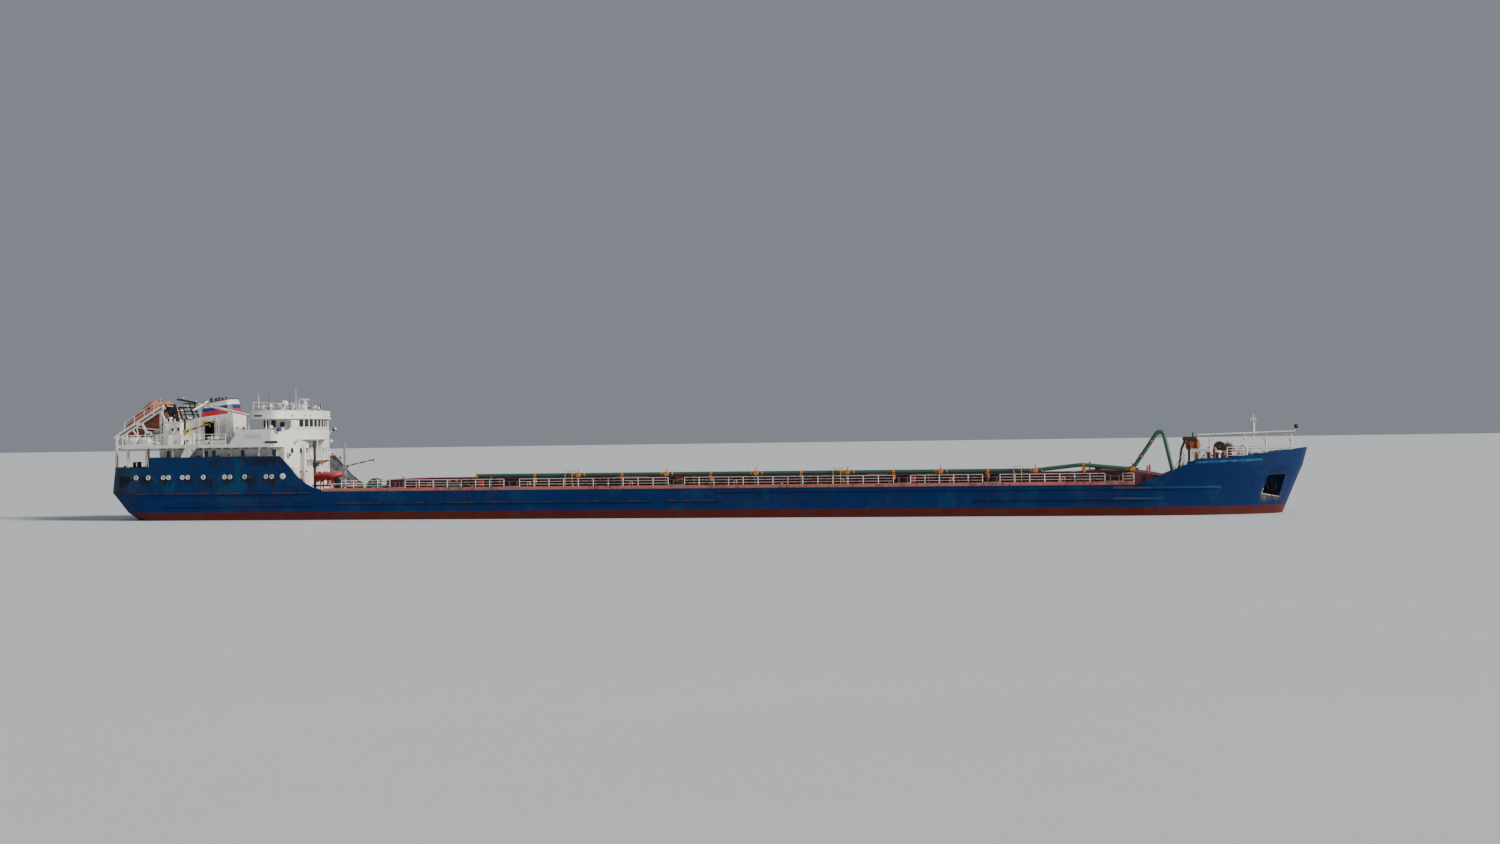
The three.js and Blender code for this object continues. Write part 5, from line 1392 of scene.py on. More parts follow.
def build_island():
    """The deck over the bridge: rail, boxes, domes, aerials, lamps and the horn."""
    gear = Shape()
    floor = ISLAND_TOP + 0.05
    gear.box(-42.95, -39.7, -5.3, 4.8, ISLAND_TOP + 0.004, floor, "grey")
    for i in range(14):
        y = -5.0 + 0.72 * i
        gear.box(-42.9, -39.75, y, y + 0.05, floor, floor + 0.03)
    # Aerials: x, y, top, radius, paint
    for x, y, top, radius, paint in (
            (-42.8, -5.0, 12.7, 0.035, "white"), (-41.9, 2.5, 12.2, 0.035, "white"),
            (-41.4, 0.7, 13.4, 0.03, "white"), (-42.8, 4.5, 12.4, 0.035, "white"),
            (-40.0, 1.6, 12.1, 0.035, "grey"), (-41.6, -2.0, 12.1, 0.045, "white"),
            (-42.4, -3.6, 12.9, 0.02, "black"), (-42.5, 1.6, 12.8, 0.02, "black")):
        foot = Vector((x, y, floor))
        profile = [(0, 0.1), (0.05, 0.1), (0.07, 0.055), (0.35, 0.055), (0.4, radius),
                   (top - floor, radius * 0.5)]
        gear.turned(foot, UP, profile, 10, paint)
    # Boxes: x, y, half width, top
    for x, y, half, top in ((-42.2, -5.0, 0.2, 11.5), (-41.2, -3.2, 0.25, 11.7), (-40.6, -1.9, 0.17, 11.8),
                            (-41.4, 3.4, 0.25, 11.6)):
        gear.turned((x, y, floor), UP, [(0, 0.12), (top - floor - 0.4, 0.09)], 10)
        gear.panel((x, y, top - 0.24), AHEAD, rounded(half, 0.22, 0.05), -half * 0.8, half * 0.8)
        gear.panel((x, y, top - 0.24), AHEAD, rounded(half * 0.8, 0.17, 0.04), half * 0.8, half * 0.85,
                   "dark_glass")
    # Domes and mushrooms: x, y, radius, height of the centre
    for x, y, radius, centre in ((-42.3, 0.0, 0.34, 11.75), (-41.9, -4.2, 0.2, 11.45),
                                 (-40.3, 3.0, 0.16, 11.4),
                                 (-40.3, -4.4, 0.14, 11.35), (-42.4, 3.9, 0.22, 11.5)):
        stem = [(0, 0.12), (0.04, 0.12), (0.05, 0.06), (centre - floor - radius * 0.5, 0.06)]
        gear.turned((x, y, floor), UP, stem, 12)
        dome = [(-0.7, 0.72), (-0.3, 0.97), (0, 1), (0.5, 0.86), (0.85, 0.5), (1, 0)]
        gear.turned((x, y, centre), UP, [(a * radius, b * radius) for a, b in dome], 24)
    # Radar pedestal with its gearbox.
    radar = Vector((-40.1, 0, floor))
    gear.turned(radar, UP, [(0, 0.3), (0.05, 0.3), (0.08, 0.2), (0.55, 0.16), (0.6, 0.24), (0.85, 0.24),
                            (0.92, 0.14), (11.945 - floor, 0.12)], 18)
    gear.box(-40.42, -40.1, -0.16, 0.16, 11.55, 11.82)
    ladder(gear, (-40.42, 0.0, floor), (-40.42, 0.0, 11.5), PORT, 0.16)
    # The rail on the deck's aft edge, and the searchlights and the horn on its fore edge.
    rail_run(gear, [(-43.2, -5.4, ISLAND_TOP), (-43.2, 4.9, ISLAND_TOP)], 0.85, 0.02, (0.5, 1.0), 1.1)
    for angle, paint in ((-9.5, "white"), (9.3, "navy"), (-16.0, "white")):
        foot = on_front(angle, ISLAND_TOP, -0.4)[0]
        gear.turned(foot, UP, [(0, 0.09), (0.04, 0.09), (0.05, 0.045), (0.35, 0.045)], 10)
        floodlight(gear, foot + UP * 0.3, foot + UP * 0.45, (1, 0, -0.1), 0.19, paint)
    horn = on_front(3.5, ISLAND_TOP, -0.5)[0]
    gear.turned(horn, UP, [(0, 0.08), (0.3, 0.05)], 10)
    gear.turned(horn + UP * 0.34 - AHEAD * 0.25, AHEAD, [(0, 0.09), (0.12, 0.09), (0.14, 0.035), (0.35, 0.05),
                                                       (0.55, 0.1), (0.62, 0.17), (0.6, 0.14), (0.3, 0.02)],
                16)
    gear.build("island_gear", replaces=("signal_gear",))

    # Lamps, brackets and the slots on the band round the deck, the slots' openings painted as black shade.
    lamps = Shape()
    for angle in (-10.8, -7.0, 8.0, 15.5, -19.0):
        place, facing = on_front(angle, 10.5, 0.1)
        lamps.panel(place, facing, rounded(0.09, 0.05, 0.01), -0.02, 0.06)
        lamps.turned(place + facing * 0.1 - UP * 0.04, facing - UP * 0.5,
                     [(-0.04, 0.05), (0.02, 0.09), (0.05, 0.09), (0.05, 0.0)], 12, "lens")
    for side in SIDES:
        outer = side * (HALF_BEAM - 0.05)
        facing = PORT * side
        lamps.panel((-42.1, outer, 10.42), facing, rounded(0.46, 0.09, 0.08), -0.01, 0.004, "black")
        lamps.trim((-42.1, outer, 10.42), facing, (0.46, 0.09, 0.08), 0.03, -0.01, 0.025)
    lamps.build("island_lamps")

    scanner = Shape()
    low, high = span("radar_scanner")
    middle = (low.x + high.x) / 2
    bar = (middle, 0, high.z - 0.08)
    scanner.turned((middle, 0, low.z), UP, [(0, 0.1), (0.07, 0.1), (0.1, 0.13), (0.13, 0.13)], 20)
    scanner.panel(bar, AHEAD, rounded(0.995, 0.075, 0.06, 5), -0.09, 0.09)
    scanner.panel(bar, AHEAD, rounded(0.9, 0.05, 0.04), 0.088, 0.096, "grey")
    scanner.build("radar_scanner_bar", "scanner", "house_white", 0.006, replaces=("radar_scanner",))


def build_poop_house():
    """The house on the poop deck, its stairs, the boats' deck edges, rails, rafts and benches."""
    house = Shape()
    for side in SIDES:
        wall = side * 5.5
        facing = PORT * side
        for x in TIER_WINDOWS:
            house.window((x, wall, TIER_WINDOW_Z), facing, (0.21, 0.32, 0.05))
        for x in (-50.9, -45.9):
            steel_door(house, (x, wall, POOP_DECK + 1.02), facing, 0.34, 0.85)
        # Pillars under the boat deck, deck beams and pipes beneath it.
        for x, paint in ((-54.4, "yellow"), (-45.2, "yellow"), (-51.6, "white"), (-48.2, "white"),
                         (-42.2, "white")):
            house.tube([(x, side * 6.35, POOP_DECK), (x, side * 6.35, 7.31)], 0.06, 10, paint)
            pillar_foot(house, (x, side * 6.35, POOP_DECK), paint=paint)
        for i in range(13):
            x = -53.2 + 1.0 * i
            house.box(x, x + 0.05, min(wall, side * 6.5), max(wall, side * 6.5), 7.17, 7.302)
        house.tube([(-53.0, side * 5.7, 7.135), (-41.0, side * 5.7, 7.135)], 0.045, 8)
        house.tube([(-53.0, side * 5.85, 7.15), (-41.0, side * 5.85, 7.15)], 0.03, 8, "grey")
        # Stair from the poop deck down beside the house to the main deck.
        stair(house, (-37.6, side * 6.05, DECK), (-40.25, side * 6.05, POOP_DECK), PORT, 0.33, 1.05, "grey")
        for x, paint in ((-52.0, "white"), (-49.2, "red"), (-47.0, "red")):
            house.panel((x, wall, 6.3), facing, rounded(0.16, 0.22, 0.02), -0.01, 0.14, paint)
    for y in (-4.2, 4.2):
        steel_door(house, (-53.5, y, POOP_DECK + 1.02), -AHEAD, 0.36, 0.88)
    for y in (-2.4, -0.8, 0.8, 2.4):
        house.window((-53.5, y, 6.45), -AHEAD, (0.22, 0.26, 0.06))
    # Mooring gear on the poop deck's open stern.
    for side in SIDES:
        bollard_pair(house, (-55.9, side * 4.4, POOP_DECK), AHEAD, 0.16, 0.75, 0.42)
        house.box(-56.7, -55.1, side * 4.4 - 0.28, side * 4.4 + 0.28, POOP_DECK, POOP_DECK + 0.05, "black")
        bollard_pair(house, (-57.9, side * 2.2, POOP_DECK), PORT, 0.16, 0.7, 0.42)
        coil(house, (-54.6, side * 3.2, POOP_DECK), 0.5, 5, 0.045)
        # Rollers on the stern rim.
        for y in (1.2, 3.3):
            house.turned((-58.6, side * y, 5.2), UP, [(0, 0.16), (0.28, 0.1), (0.34, 0.17), (0.36, 0.17)], 14,
                         "black")
    winch(house, (-55.6, 0.0, POOP_DECK))
    ladder(house, (-54.62, 0.6, POOP_DECK), (-54.62, 0.6, 7.31), PORT, 0.2)
    house.build("poop_house_fittings")

    sizes = bpy.context.scene.ship_sizes
    bar, height, pitch = sizes.rail_bar, sizes.rail_height, sizes.rail_pitch
    for name, side in HANDS:
        deck = Shape()
        y = side * 6.55
        rail_run(deck, [(-57.05, y, BOAT_DECK), (-51.95, y, BOAT_DECK)], height, bar, pitch=pitch)
        rail_run(deck, [(-51.5, y, BOAT_DECK), (-45.73, y, BOAT_DECK)], height, bar, (0.35, 0.68, 1.0), pitch)
        bow_up = ((-54.6, 8.65), (-54.45, 8.95), (-54.2, 9.05), (-53.9, 8.95), (-53.75, 8.65))
        deck.tube([(x, y, z) for x, z in bow_up], bar, 8)
        deck.turned((-51.73, y, BOAT_DECK), UP, [(0, 0.1), (0.04, 0.1), (0.05, 0.05), (1.15, 0.05)], 10)
        deck.turned((-51.73, y, BOAT_DECK + 1.1), UP, [(0, 0.07), (0.1, 0.07), (0.13, 0.03)], 10, "red")
        deck.stand_for("boat_deck_rail_" + name, "_tubes")

    gear = Shape()
    for y0, y1 in ((-6.5, -2.95), (2.95, 6.5)):
        rail_run(gear, [(-57.05, y0, BOAT_DECK), (-57.05, y1, BOAT_DECK)], height, bar, pitch=pitch)
    for side in SIDES:
        # Benches with blue covers, vents and boxes along the boat deck.
        for x in (-48.6, -46.9):
            crate(gear, (x - 0.7, side * 5.9 - 0.3, BOAT_DECK), (x + 0.7, side * 5.9 + 0.3, BOAT_DECK + 0.48))
        for x, y, tall in ((-52.3, 5.6, 0.7), (-50.2, 4.6, 0.9), (-46.2, 4.9, 0.6)):
            mushroom(gear, (x, side * y, BOAT_DECK), tall, 0.14)
        gooseneck(gear, (-50.9, side * 5.9, BOAT_DECK), 0.7, (0.35, 0.0), 0.08)
        gooseneck(gear, (-45.6, side * 3.0, BOAT_DECK), 0.5, (0.0, side * 0.3), 0.07)
        floodlight(gear, (-44.52, side * 5.4, BRIDGE_DECK), (-44.6, side * 5.4, BRIDGE_DECK + 0.4),
                   (-1, 0, -0.3), 0.12)
        # Box vents beside the casing.
        gear.bed(-49.3, -48.4, side * 3.0 - 0.4, side * 3.0 + 0.4, 0.06, BOAT_DECK, BOAT_DECK + 0.8)
        for i in range(5):
            z = BOAT_DECK + 0.2 + 0.11 * i
            gear.box(-49.2, -48.5, side * 3.0 - 0.43, side * 3.0 + 0.43, z, z + 0.03)
    gear.box(-56.6, -55.6, 3.3, 4.2, BOAT_DECK + 0.003, BOAT_DECK + 0.45)
    gear.box(-56.65, -55.55, 3.25, 4.25, BOAT_DECK + 0.4, BOAT_DECK + 0.47, "grey")
    gear.build("boat_deck_gear")

    for name, side in HANDS:
        raft = Shape()
        y = side * 5.5
        for low, high in ((y - 0.3, y - 0.24), (y + 0.24, y + 0.3)):
            raft.box(-57.0, -54.5, low, high, BOAT_DECK + SEAT, BOAT_DECK + 0.14)
        for x0, x1 in ((-56.98, -55.87), (-55.68, -54.52)):
            raft_canister(raft, x0, x1, y, 8.08, 0.35)
            for x in (x0 + 0.2, x1 - 0.2):
                raft.plate([(y - 0.3, BOAT_DECK + 0.12), (y + 0.3, BOAT_DECK + 0.12), (y + 0.3, 7.95),
                            (y + 0.24, 7.95), (y + 0.1, 7.76), (y - 0.1, 7.76), (y - 0.24, 7.95),
                            (y - 0.3, 7.95)], x - 0.04, x + 0.04, "yz")
        raft.build("rafts_" + name, "ship", "raft_white", replaces=("raft_rack_" + name,))


def raft_canister(shape, x0, x1, y, z, radius):
    """A life raft's container: two half shells with a joint, ribs, end caps and straps."""
    length = x1 - x0
    cap = [(0, radius * 0.55), (0.03, radius * 0.78), (0.09, radius * 0.93), (0.14, radius)]
    shape.turned((x0, y, z), AHEAD, cap + [(length - a, b) for a, b in reversed(cap)], 24)
    shape.box(x0 + 0.04, x1 - 0.04, y - radius * 1.03, y + radius * 1.03, z - 0.025, z + 0.025)
    for share, paint in ((0.22, "navy"), (0.5, "white"), (0.78, "navy")):
        shape.turned((x0 + length * share - 0.035, y, z), AHEAD,
                     [(0, radius * 0.9), (0.0, radius * 1.02), (0.07, radius * 1.02), (0.07, radius * 0.9)],
                     24, paint)


def winch(shape, centre, paint="deck_green"):
    """A mooring winch: bed, two side frames, a drum of rope, a warping head and its motor."""
    x, y, z = centre
    shape.box(x - 0.5, x + 0.5, y - 1.3, y + 1.3, z, z + 0.12, paint)
    for step in (-0.75, 0.35):
        shape.plate([(x - 0.4, z + 0.1), (x + 0.4, z + 0.1), (x + 0.16, z + 0.95), (x - 0.16, z + 0.95)],
                    y + step, y + step + 0.08, "xz", paint)
    head = [(0, 0.24), (0.04, 0.26), (0.12, 0.17), (0.3, 0.15), (0.42, 0.22), (0.44, 0.1), (0.8, 0.08)]
    shape.turned((x, y - 1.5, z + 0.7), PORT, head, 18, paint)
    shape.spool((x, y - 0.62, z + 0.7), PORT, 0.95, 0.05, 0.46, 0.3, 20, paint)
    for i in range(9):
        shape.hoop((x, y - 0.5 + 0.088 * i, z + 0.7), PORT, 0.33, 0.045, 20, "rope", 6)
    shape.turned((x, y + 0.45, z + 0.7), PORT, [(0, 0.2), (0.5, 0.2), (0.52, 0.12), (0.75, 0.12)], 16, "grey")
    shape.box(x - 0.3, x + 0.3, y + 0.5, y + 1.1, z + 0.1, z + 0.5, paint)
    hand_wheel(shape, (x + 0.48, y + 0.3, z + 0.95), AHEAD, 0.18, "red")


def build_casing():
    """The engine casing, the funnel's fittings, the aft house and the crutch of the mast."""
    gear = Shape()
    for side in SIDES:
        wall = side * 1.5
        facing = PORT * side
        # Louvred vents and doors along the casing.
        for x in (-48.6, -51.9):
            gear.trim((x, wall, 9.1), facing, (0.42, 0.5, 0.03), 0.04, -0.01, 0.03)
            for i in range(8):
                z = 8.68 + 0.115 * i
                lip = wall + side * 0.05
                gear.plate([(wall, z + 0.05), (lip, z), (lip, z - 0.012), (wall, z + 0.038)],
                           x - 0.42, x + 0.42, "yz")
        for x, top in ((-49.2, 10.35), (-48.95, 10.1), (-51.1, 10.2)):
            out = wall + side * 0.1
            gear.tube([(x, out, BOAT_DECK), (x, out, top), (x, wall - side * 0.02, top)], 0.05, 10)
            for z in (8.4, 9.4):
                gear.rod((x, out, z), UP, 0.06, 0.08, 10)
        ladder(gear, (-47.75, wall + side * 0.14, BOAT_DECK), (-47.75, wall + side * 0.14, 10.7), AHEAD, 0.2)
        # Rail on the casing's roof.
        rail_run(gear, [(-52.6, side * 1.42, 10.27), (-51.1, side * 1.42, 10.45)], 0.9, 0.024, (0.5, 1.0),
                 0.75,
                 "casing", False)
        # The aft house's small window, lamp and vent.
        gear.window((-52.85 if side > 0 else -52.82, side * 2.8, 9.25), facing, (0.13, 0.2, 0.1))
        floodlight(gear, (-54.2, side * 2.8, 9.6), (-54.25, side * 2.98, 9.75), (-0.4, side, -0.6), 0.11)
        gear.turned((-54.05, side * 2.1, 10.0), UP, [(0, 0.2), (0.05, 0.2), (0.05, 0.13), (0.35, 0.13),
                                                     (0.35, 0.24), (0.5, 0.2), (0.52, 0.0)], 16)
    # The open doorway to starboard: a yellow frame, a doorstep, and near-black walls inside, painted shade of
    # the dark passage.
    gear.trim((-50.02, -1.5, 9.0), -PORT, (0.57, 1.0, 0.04), 0.06, -0.02, 0.05, "casing")
    for x in (-50.42, -49.58):
        gear.panel((x, -1.5, 9.95), -PORT, rounded(0.2, 0.09, 0.02), -0.02, 0.06, "yellow")
    gear.box(-50.6, -49.45, -1.62, -1.5, BOAT_DECK + SEAT, BOAT_DECK + 0.12, "grey")
    # Painted shade: near-black linings on the doorway's sides and back.
    for x0, x1, y0, y1 in ((-50.59, -49.46, -0.36, -0.31), (-50.59, -50.54, -1.45, -0.36),
                           (-49.51, -49.46, -1.45, -0.36)):
        gear.box(x0, x1, y0, y1, BOAT_DECK + 0.36, 9.99, "rubber")
    gear.tube([(-49.8, -0.8, BOAT_DECK + 0.4), (-49.8, -0.8, 9.9)], 0.07, 10, "black")
    for y in (-1.9, 1.9):
        gear.window((-54.5, y, 9.15), -AHEAD, (0.28, 0.3, 0.06))
    steel_door(gear, (-54.5, 0.0, BOAT_DECK + 1.05), -AHEAD, 0.36, 0.88)
    steel_door(gear, (-47.35, 0.0, BOAT_DECK + 1.05), AHEAD, 0.36, 0.88)
    for y in (-0.8, 0.8):
        gear.window((-47.33, y, 9.2), AHEAD, (0.2, 0.24, 0.06))
    # The sooty cradle and its drums on the aft house's roof, beside the boat; their near-black also stands
    # for painted shade under the lifeboat's bow.
    arm = [(-55.3, 11.85), (-55.38, 11.5), (-54.95, 11.2), (-54.42, 11.0), (-54.32, 10.0), (-53.98, 10.0),
           (-53.9, 10.85), (-53.6, 10.9), (-53.5, 10.0), (-53.28, 10.0), (-53.55, 11.2), (-53.75, 11.85)]
    for y in (-2.05, -1.66):
        gear.plate(arm, y, y + 0.09, "xz", "soot")
    gear.box(-55.25, -53.85, -2.0, -1.6, 11.3, 11.75, "soot")
    for x, z, radius in ((-54.12, 10.5, 0.24), (-53.6, 11.05, 0.13), (-55.0, 11.5, 0.16)):
        gear.spool((x, -2.12, z), PORT, 0.6, 0.04, radius, radius * 0.6, 18, "soot")
    gear.hoop((-54.5, -2.12, 10.63), PORT, 0.2, 0.05, 20, "steel", 8)
    gear.tube([(-54.5, -2.12, 10.45), (-54.3, -2.08, 10.0)], 0.045, 8, "worn_white")
    gear.tube([(-54.45, -2.12, 11.7), (-53.75, -2.12, 11.62)], 0.08, 12, "worn_white")
    # Trim round the aft house's roof.
    for a, b in (((-54.5, -2.8), (-52.58, -2.8)), ((-54.5, 2.8), (-52.58, 2.8)),
                 ((-54.5, -2.8), (-54.5, 2.8))):
        gear.tube([(*a, 9.98), (*b, 9.98)], 0.05, 8)
    gear.build("casing_fittings")

    door = Shape()
    low, high = span("aft_house_door")
    middle = Vector(((low.x + high.x) / 2, low.y, (low.z + high.z) / 2))
    door.panel(middle + PORT * 0.03, -PORT, rounded(0.39, 0.955, 0.04), -0.028, 0.028)
    door.panel(middle, -PORT, rounded(0.3, 0.85, 0.06), -0.002, 0.02)
    door.port(middle + UP * 0.45 - PORT * 0.01, -PORT, 0.16)
    for level in (-0.7, 0.0, 0.7):
        hinge = middle + Vector((0.36, -0.03, level))
        door.tube([hinge - UP * 0.1, hinge + UP * 0.1], 0.025, 8, "steel")
    door.turned(middle + Vector((-0.28, 0, -0.05)), -PORT, [(0, 0.05), (0.05, 0.04), (0.08, 0.02)], 12,
                "brass")
    door.stand_for("aft_house_door", "_leaf")

    stack = Shape()
    low, high = span("funnel")
    for x, y, radius, tall in ((-50.2, -0.55, 0.17, 0.42), (-50.2, 0.55, 0.17, 0.42),
                               (-49.4, -0.35, 0.11, 0.35), (-49.4, 0.35, 0.11, 0.35),
                               (-48.8, 0.0, 0.09, 0.3)):
        foot = Vector((x, y, 11.75 + 0.165 * (x - low.x)))
        stack.tube([foot, foot + UP * tall, foot + UP * (tall + 0.12) - AHEAD * 0.1], radius, 18, "black")
        stack.rod(foot + UP * 0.1, UP, 0.05, radius * 1.35, 18, "steel")
    rim = [(-50.86, -1.07, 11.84), (-48.27, -1.07, 12.26), (-47.87, -0.77, 12.33)]
    rim += [(-47.77, 0.0, 12.35)] + [(x, -y, z) for x, y, z in reversed(rim)]
    stack.tube(rim, 0.045, 8, "black", closed=True)
    for side in SIDES:
        for x in (-50.3, -49.4):
            stack.trim((x, side * 1.22, 11.55), PORT * side, (0.3, 0.12, 0.02), 0.03, -0.05, 0.03)
    stack.build("funnel_pipes", slot="gear_black")


def build_mast():
    """The lowered mast: tapered tubes, rungs, lamps on brackets, and wires along it."""
    mast = Shape()
    side = -2.3
    foot, tip = Vector((-43.62, side, 10.28)), Vector((-53.2, side, 12.35))

    def at(share):
        return foot.lerp(tip, share)

    along = (tip - foot).normalized()
    lift = along.cross(PORT).normalized()
    if lift.z < 0:
        lift = -lift
    mast.rod((foot.x, side - 0.195, foot.z), PORT, 0.39, 0.17, 24, "mast")
    mast.rod((foot.x, side - 0.197, foot.z), PORT, 0.394, 0.06, 12, "steel")
    mast.tube([at(0.005), at(0.54), at(0.56)], [0.15, 0.14, 0.11], 16, "mast")
    mast.tube([at(0.55), at(0.995)], [0.11, 0.08], 16, "mast")
    for share in (0.06, 0.3, 0.54, 0.86):
        mast.turned(at(share), along, [(-0.04, 0.18 - share * 0.06), (0.04, 0.18 - share * 0.06)], 18, "mast")
    for i in range(18):
        spot = at(0.08 + 0.024 * i)
        mast.tube([spot + PORT * 0.26, spot - PORT * 0.26], 0.018, 6, "mast")
    yard = at(0.86)
    mast.tube([yard - PORT * 0.3, yard + PORT * 0.7], 0.055, 12, "mast")
    spreader = at(0.7)
    mast.tube([spreader + Vector((0.25, 0.6, 0.35)), spreader, spreader + Vector((-0.58, -0.98, -0.58))],
              [0.09, 0.13, 0.08], 12, "mast")
    # Lamps in their cages along the upper side.
    for share, paint in ((0.62, "lens"), (0.7, "signal_red"), (0.78, "lens"), (0.93, "lens")):
        lamp = at(share) + lift * 0.2
        mast.tube([at(share), lamp], 0.03, 8, "mast")
        mast.turned(lamp, lift, [(-0.04, 0.07), (-0.02, 0.09), (0.0, 0.06), (0.1, 0.06), (0.12, 0.09),
                                 (0.16, 0.05)], 14, paint)
    mast.panel(at(0.985) - AHEAD * 0.02 + UP * -0.03, -PORT, rounded(0.1, 0.09, 0.02), -0.1, 0.1, "mast")
    for reach in (-0.05, 0.05):
        mast.tube([at(0.02) + lift * 0.16 + PORT * reach, at(0.5) + lift * 0.16 + PORT * reach,
                   at(0.97) + lift * 0.1 + PORT * reach], 0.015, 6, "rubber")
    mast.stand_for("folding_mast", "_tubes")


# Derricks: name, post's x, y, foot, top, heel, boom's reach and rise, paint
DERRICKS = (
    ("aft", -51.72, -3.5, BOAT_DECK, 10.35, 8.95, 2.75, 0.8, "black"),
    ("starboard", -37.5, -3.5, DECK, 7.85, 5.45, 2.8, 0.75, "black"),
    ("port", -37.3, 3.5, DECK, 7.6, 5.1, 3.2, 0.75, "grey"),
)


def build_lifting_gear():
    """Derrick posts with winches, and booms with their blocks, wire and hook."""
    for name, x, y, foot, top, heel, reach, rise, paint in DERRICKS:
        post = Shape()
        post.turned((x, y, foot), UP, [(0, 0.13), (top - foot - 0.02, 0.13), (top - foot, 0.1)], 24, paint)
        post.turned((x, y, foot), UP, [(0, 0.24), (0.04, 0.24), (0.05, 0.17), (0.2, 0.13)], 20, paint)
        post.rod((x, y, top - 0.5), UP, 0.06, 0.16, 20, "navy" if name == "starboard" else paint)
        if name == "starboard":
            post.turned((x, y, top - 0.4), UP, [(0, 0.15), (0.38, 0.15), (0.4, 0.0)], 20, "navy")
        heel_paint = "yellow" if name == "aft" else paint
        post.box(x + 0.02, x + 0.42, y - 0.1, y + 0.1, heel - 0.14, heel - 0.003, heel_paint)
        post.box(x - 0.15, x + 0.15, y - 0.15, y + 0.15, heel - 0.3, heel + 0.25, heel_paint)
        post.box(x - 0.14, x + 0.24, y - 0.06, y + 0.06, top - 0.24, top - 0.12, heel_paint)
        hoist = heel - 0.95
        post.spool((x + 0.22, y - 0.1, hoist), PORT, 0.2, 0.02, 0.15, 0.1, 18, "steel")
        post.box(x + 0.1, x + 0.3, y - 0.16, y - 0.11, hoist - 0.16, hoist + 0.16, paint)
        post.tube([(x + 0.22, y + 0.11, hoist), (x + 0.22, y + 0.2, hoist), (x + 0.36, y + 0.2, hoist + 0.1),
                   (x + 0.36, y + 0.28, hoist + 0.1)], 0.015, 6, "steel")
        for i in range(5):
            post.hoop((x + 0.22, y - 0.06 + 0.03 * i, hoist), PORT, 0.11, 0.015, 16, "steel", 6)
        post.stand_for("derrick_post_" + name, "_tube", 0.006)

        boom = Shape()
        heel_point = Vector((x + 0.32, y, heel))
        head = Vector((x + reach, y, heel + rise))
        start = heel_point + UP * 0.14
        boom.turned(heel_point, UP, [(0, 0.09), (0.2, 0.09), (0.22, 0.06)], 18, "black")
        end = head - (head - start).normalized() * 0.03
        boom.tube([start, start.lerp(head, 0.5), end], [0.06, 0.07, 0.055], 16, "boom_bands")
        boom.turned(head - UP * 0.02, PORT, [(-0.07, 0.07), (0.07, 0.07)], 14, "black")
        drop = head - UP * 0.16
        boom.tube([head - UP * 0.02, drop], 0.014, 6, "steel")
        boom.turned(drop - UP * 0.02, PORT, [(-0.04, 0.075), (0.04, 0.075)], 16, "yellow")
        hook = drop - UP * 0.1
        boom.tube([hook, hook - UP * 0.08, hook + Vector((0.05, 0, -0.12)), hook + Vector((0.09, 0, -0.06))],
                  0.017, 8, "steel")
        boom.tube([heel_point + UP * 0.2, head + UP * 0.04], 0.012, 6, "steel")
        boom.stand_for("derrick_boom_" + name, "_tube")


# Boats

RAMP_LOW = Vector((-60.0, 0, 8.4))
RAMP_HIGH = Vector((-54.6, 0, 11.55))
RAMP_ALONG = (RAMP_HIGH - RAMP_LOW).normalized()
RAMP_SQUARE = Vector((-RAMP_ALONG.z, 0, RAMP_ALONG.x))
BOAT_BOTTOM = -0.997
# Sections of the lifeboat from its stern: u along the ramp, half breadth, bottom, shoulder, top
BOAT_SECTIONS = (
    (-0.58, 0.12, 0.56, 0.8, 0.98), (-0.2, 0.42, 0.36, 0.86, 1.48), (0.2, 0.74, 0.16, 0.9, 1.98),
    (0.8, 0.98, 0.08, 0.94, 2.24), (1.4, 1.14, 0.01, 0.95, 2.43), (2.2, 1.22, 0.01, 0.98, 2.52),
    (3.1, 1.27, 0.01, 1.0, 2.59), (3.4, 1.265, 0.01, 1.0, 2.73), (3.9, 1.26, 0.01, 1.0, 2.86),
    (4.35, 1.245, 0.01, 1.0, 2.93), (4.7, 1.21, 0.01, 1.0, 2.84), (5.0, 1.17, 0.01, 1.0, 2.7),
    (5.3, 1.11, 0.02, 0.95, 2.29), (5.6, 1.06, 0.08, 0.95, 2.1), (5.88, 0.99, 0.15, 0.95, 1.94),
)


def on_ramp(u, y, v):
    """The point at u along the boat's ramp, y to port and v square to the ramp."""
    return RAMP_LOW + RAMP_ALONG * u + RAMP_SQUARE * v + PORT * y


def boat_profile(half, bottom, shoulder, top):
    """The lifeboat's section from the keel up the port side and down the other: y, v."""
    rise = shoulder - bottom
    crown = top - shoulder
    port = [(y * half, bottom + v * rise) for y, v in ((0.3, 0), (0.62, 0.12), (0.84, 0.36), (0.95, 0.68))]
    port += [(y * half, shoulder + v * crown) for y, v in (
        (1, 0), (0.985, 0.14), (0.94, 0.4), (0.83, 0.66), (0.66, 0.87), (0.4, 0.97))]
    return port + [(0.0, top)] + [(-y, v) for y, v in reversed(port)]


def boat_skin(u, share_y, share_up):
    """A point on the shell at u, at a share of the half breadth between the shoulder and the top."""
    for low, high in zip(BOAT_SECTIONS, BOAT_SECTIONS[1:]):
        if low[0] <= u <= high[0]:
            mix = (u - low[0]) / (high[0] - low[0])
            half, bottom, shoulder, top = (a + (b - a) * mix for a, b in zip(low[1:], high[1:]))
            return on_ramp(u, half * share_y, BOAT_BOTTOM + shoulder + (top - shoulder) * share_up)
    raise RuntimeError(f"the boat has no section at {u}")


def build_boats():
    """The lifeboat on its ramp, and the rescue boat."""
    build_lifeboat()
    build_ramp()
    build_rescue_boat()


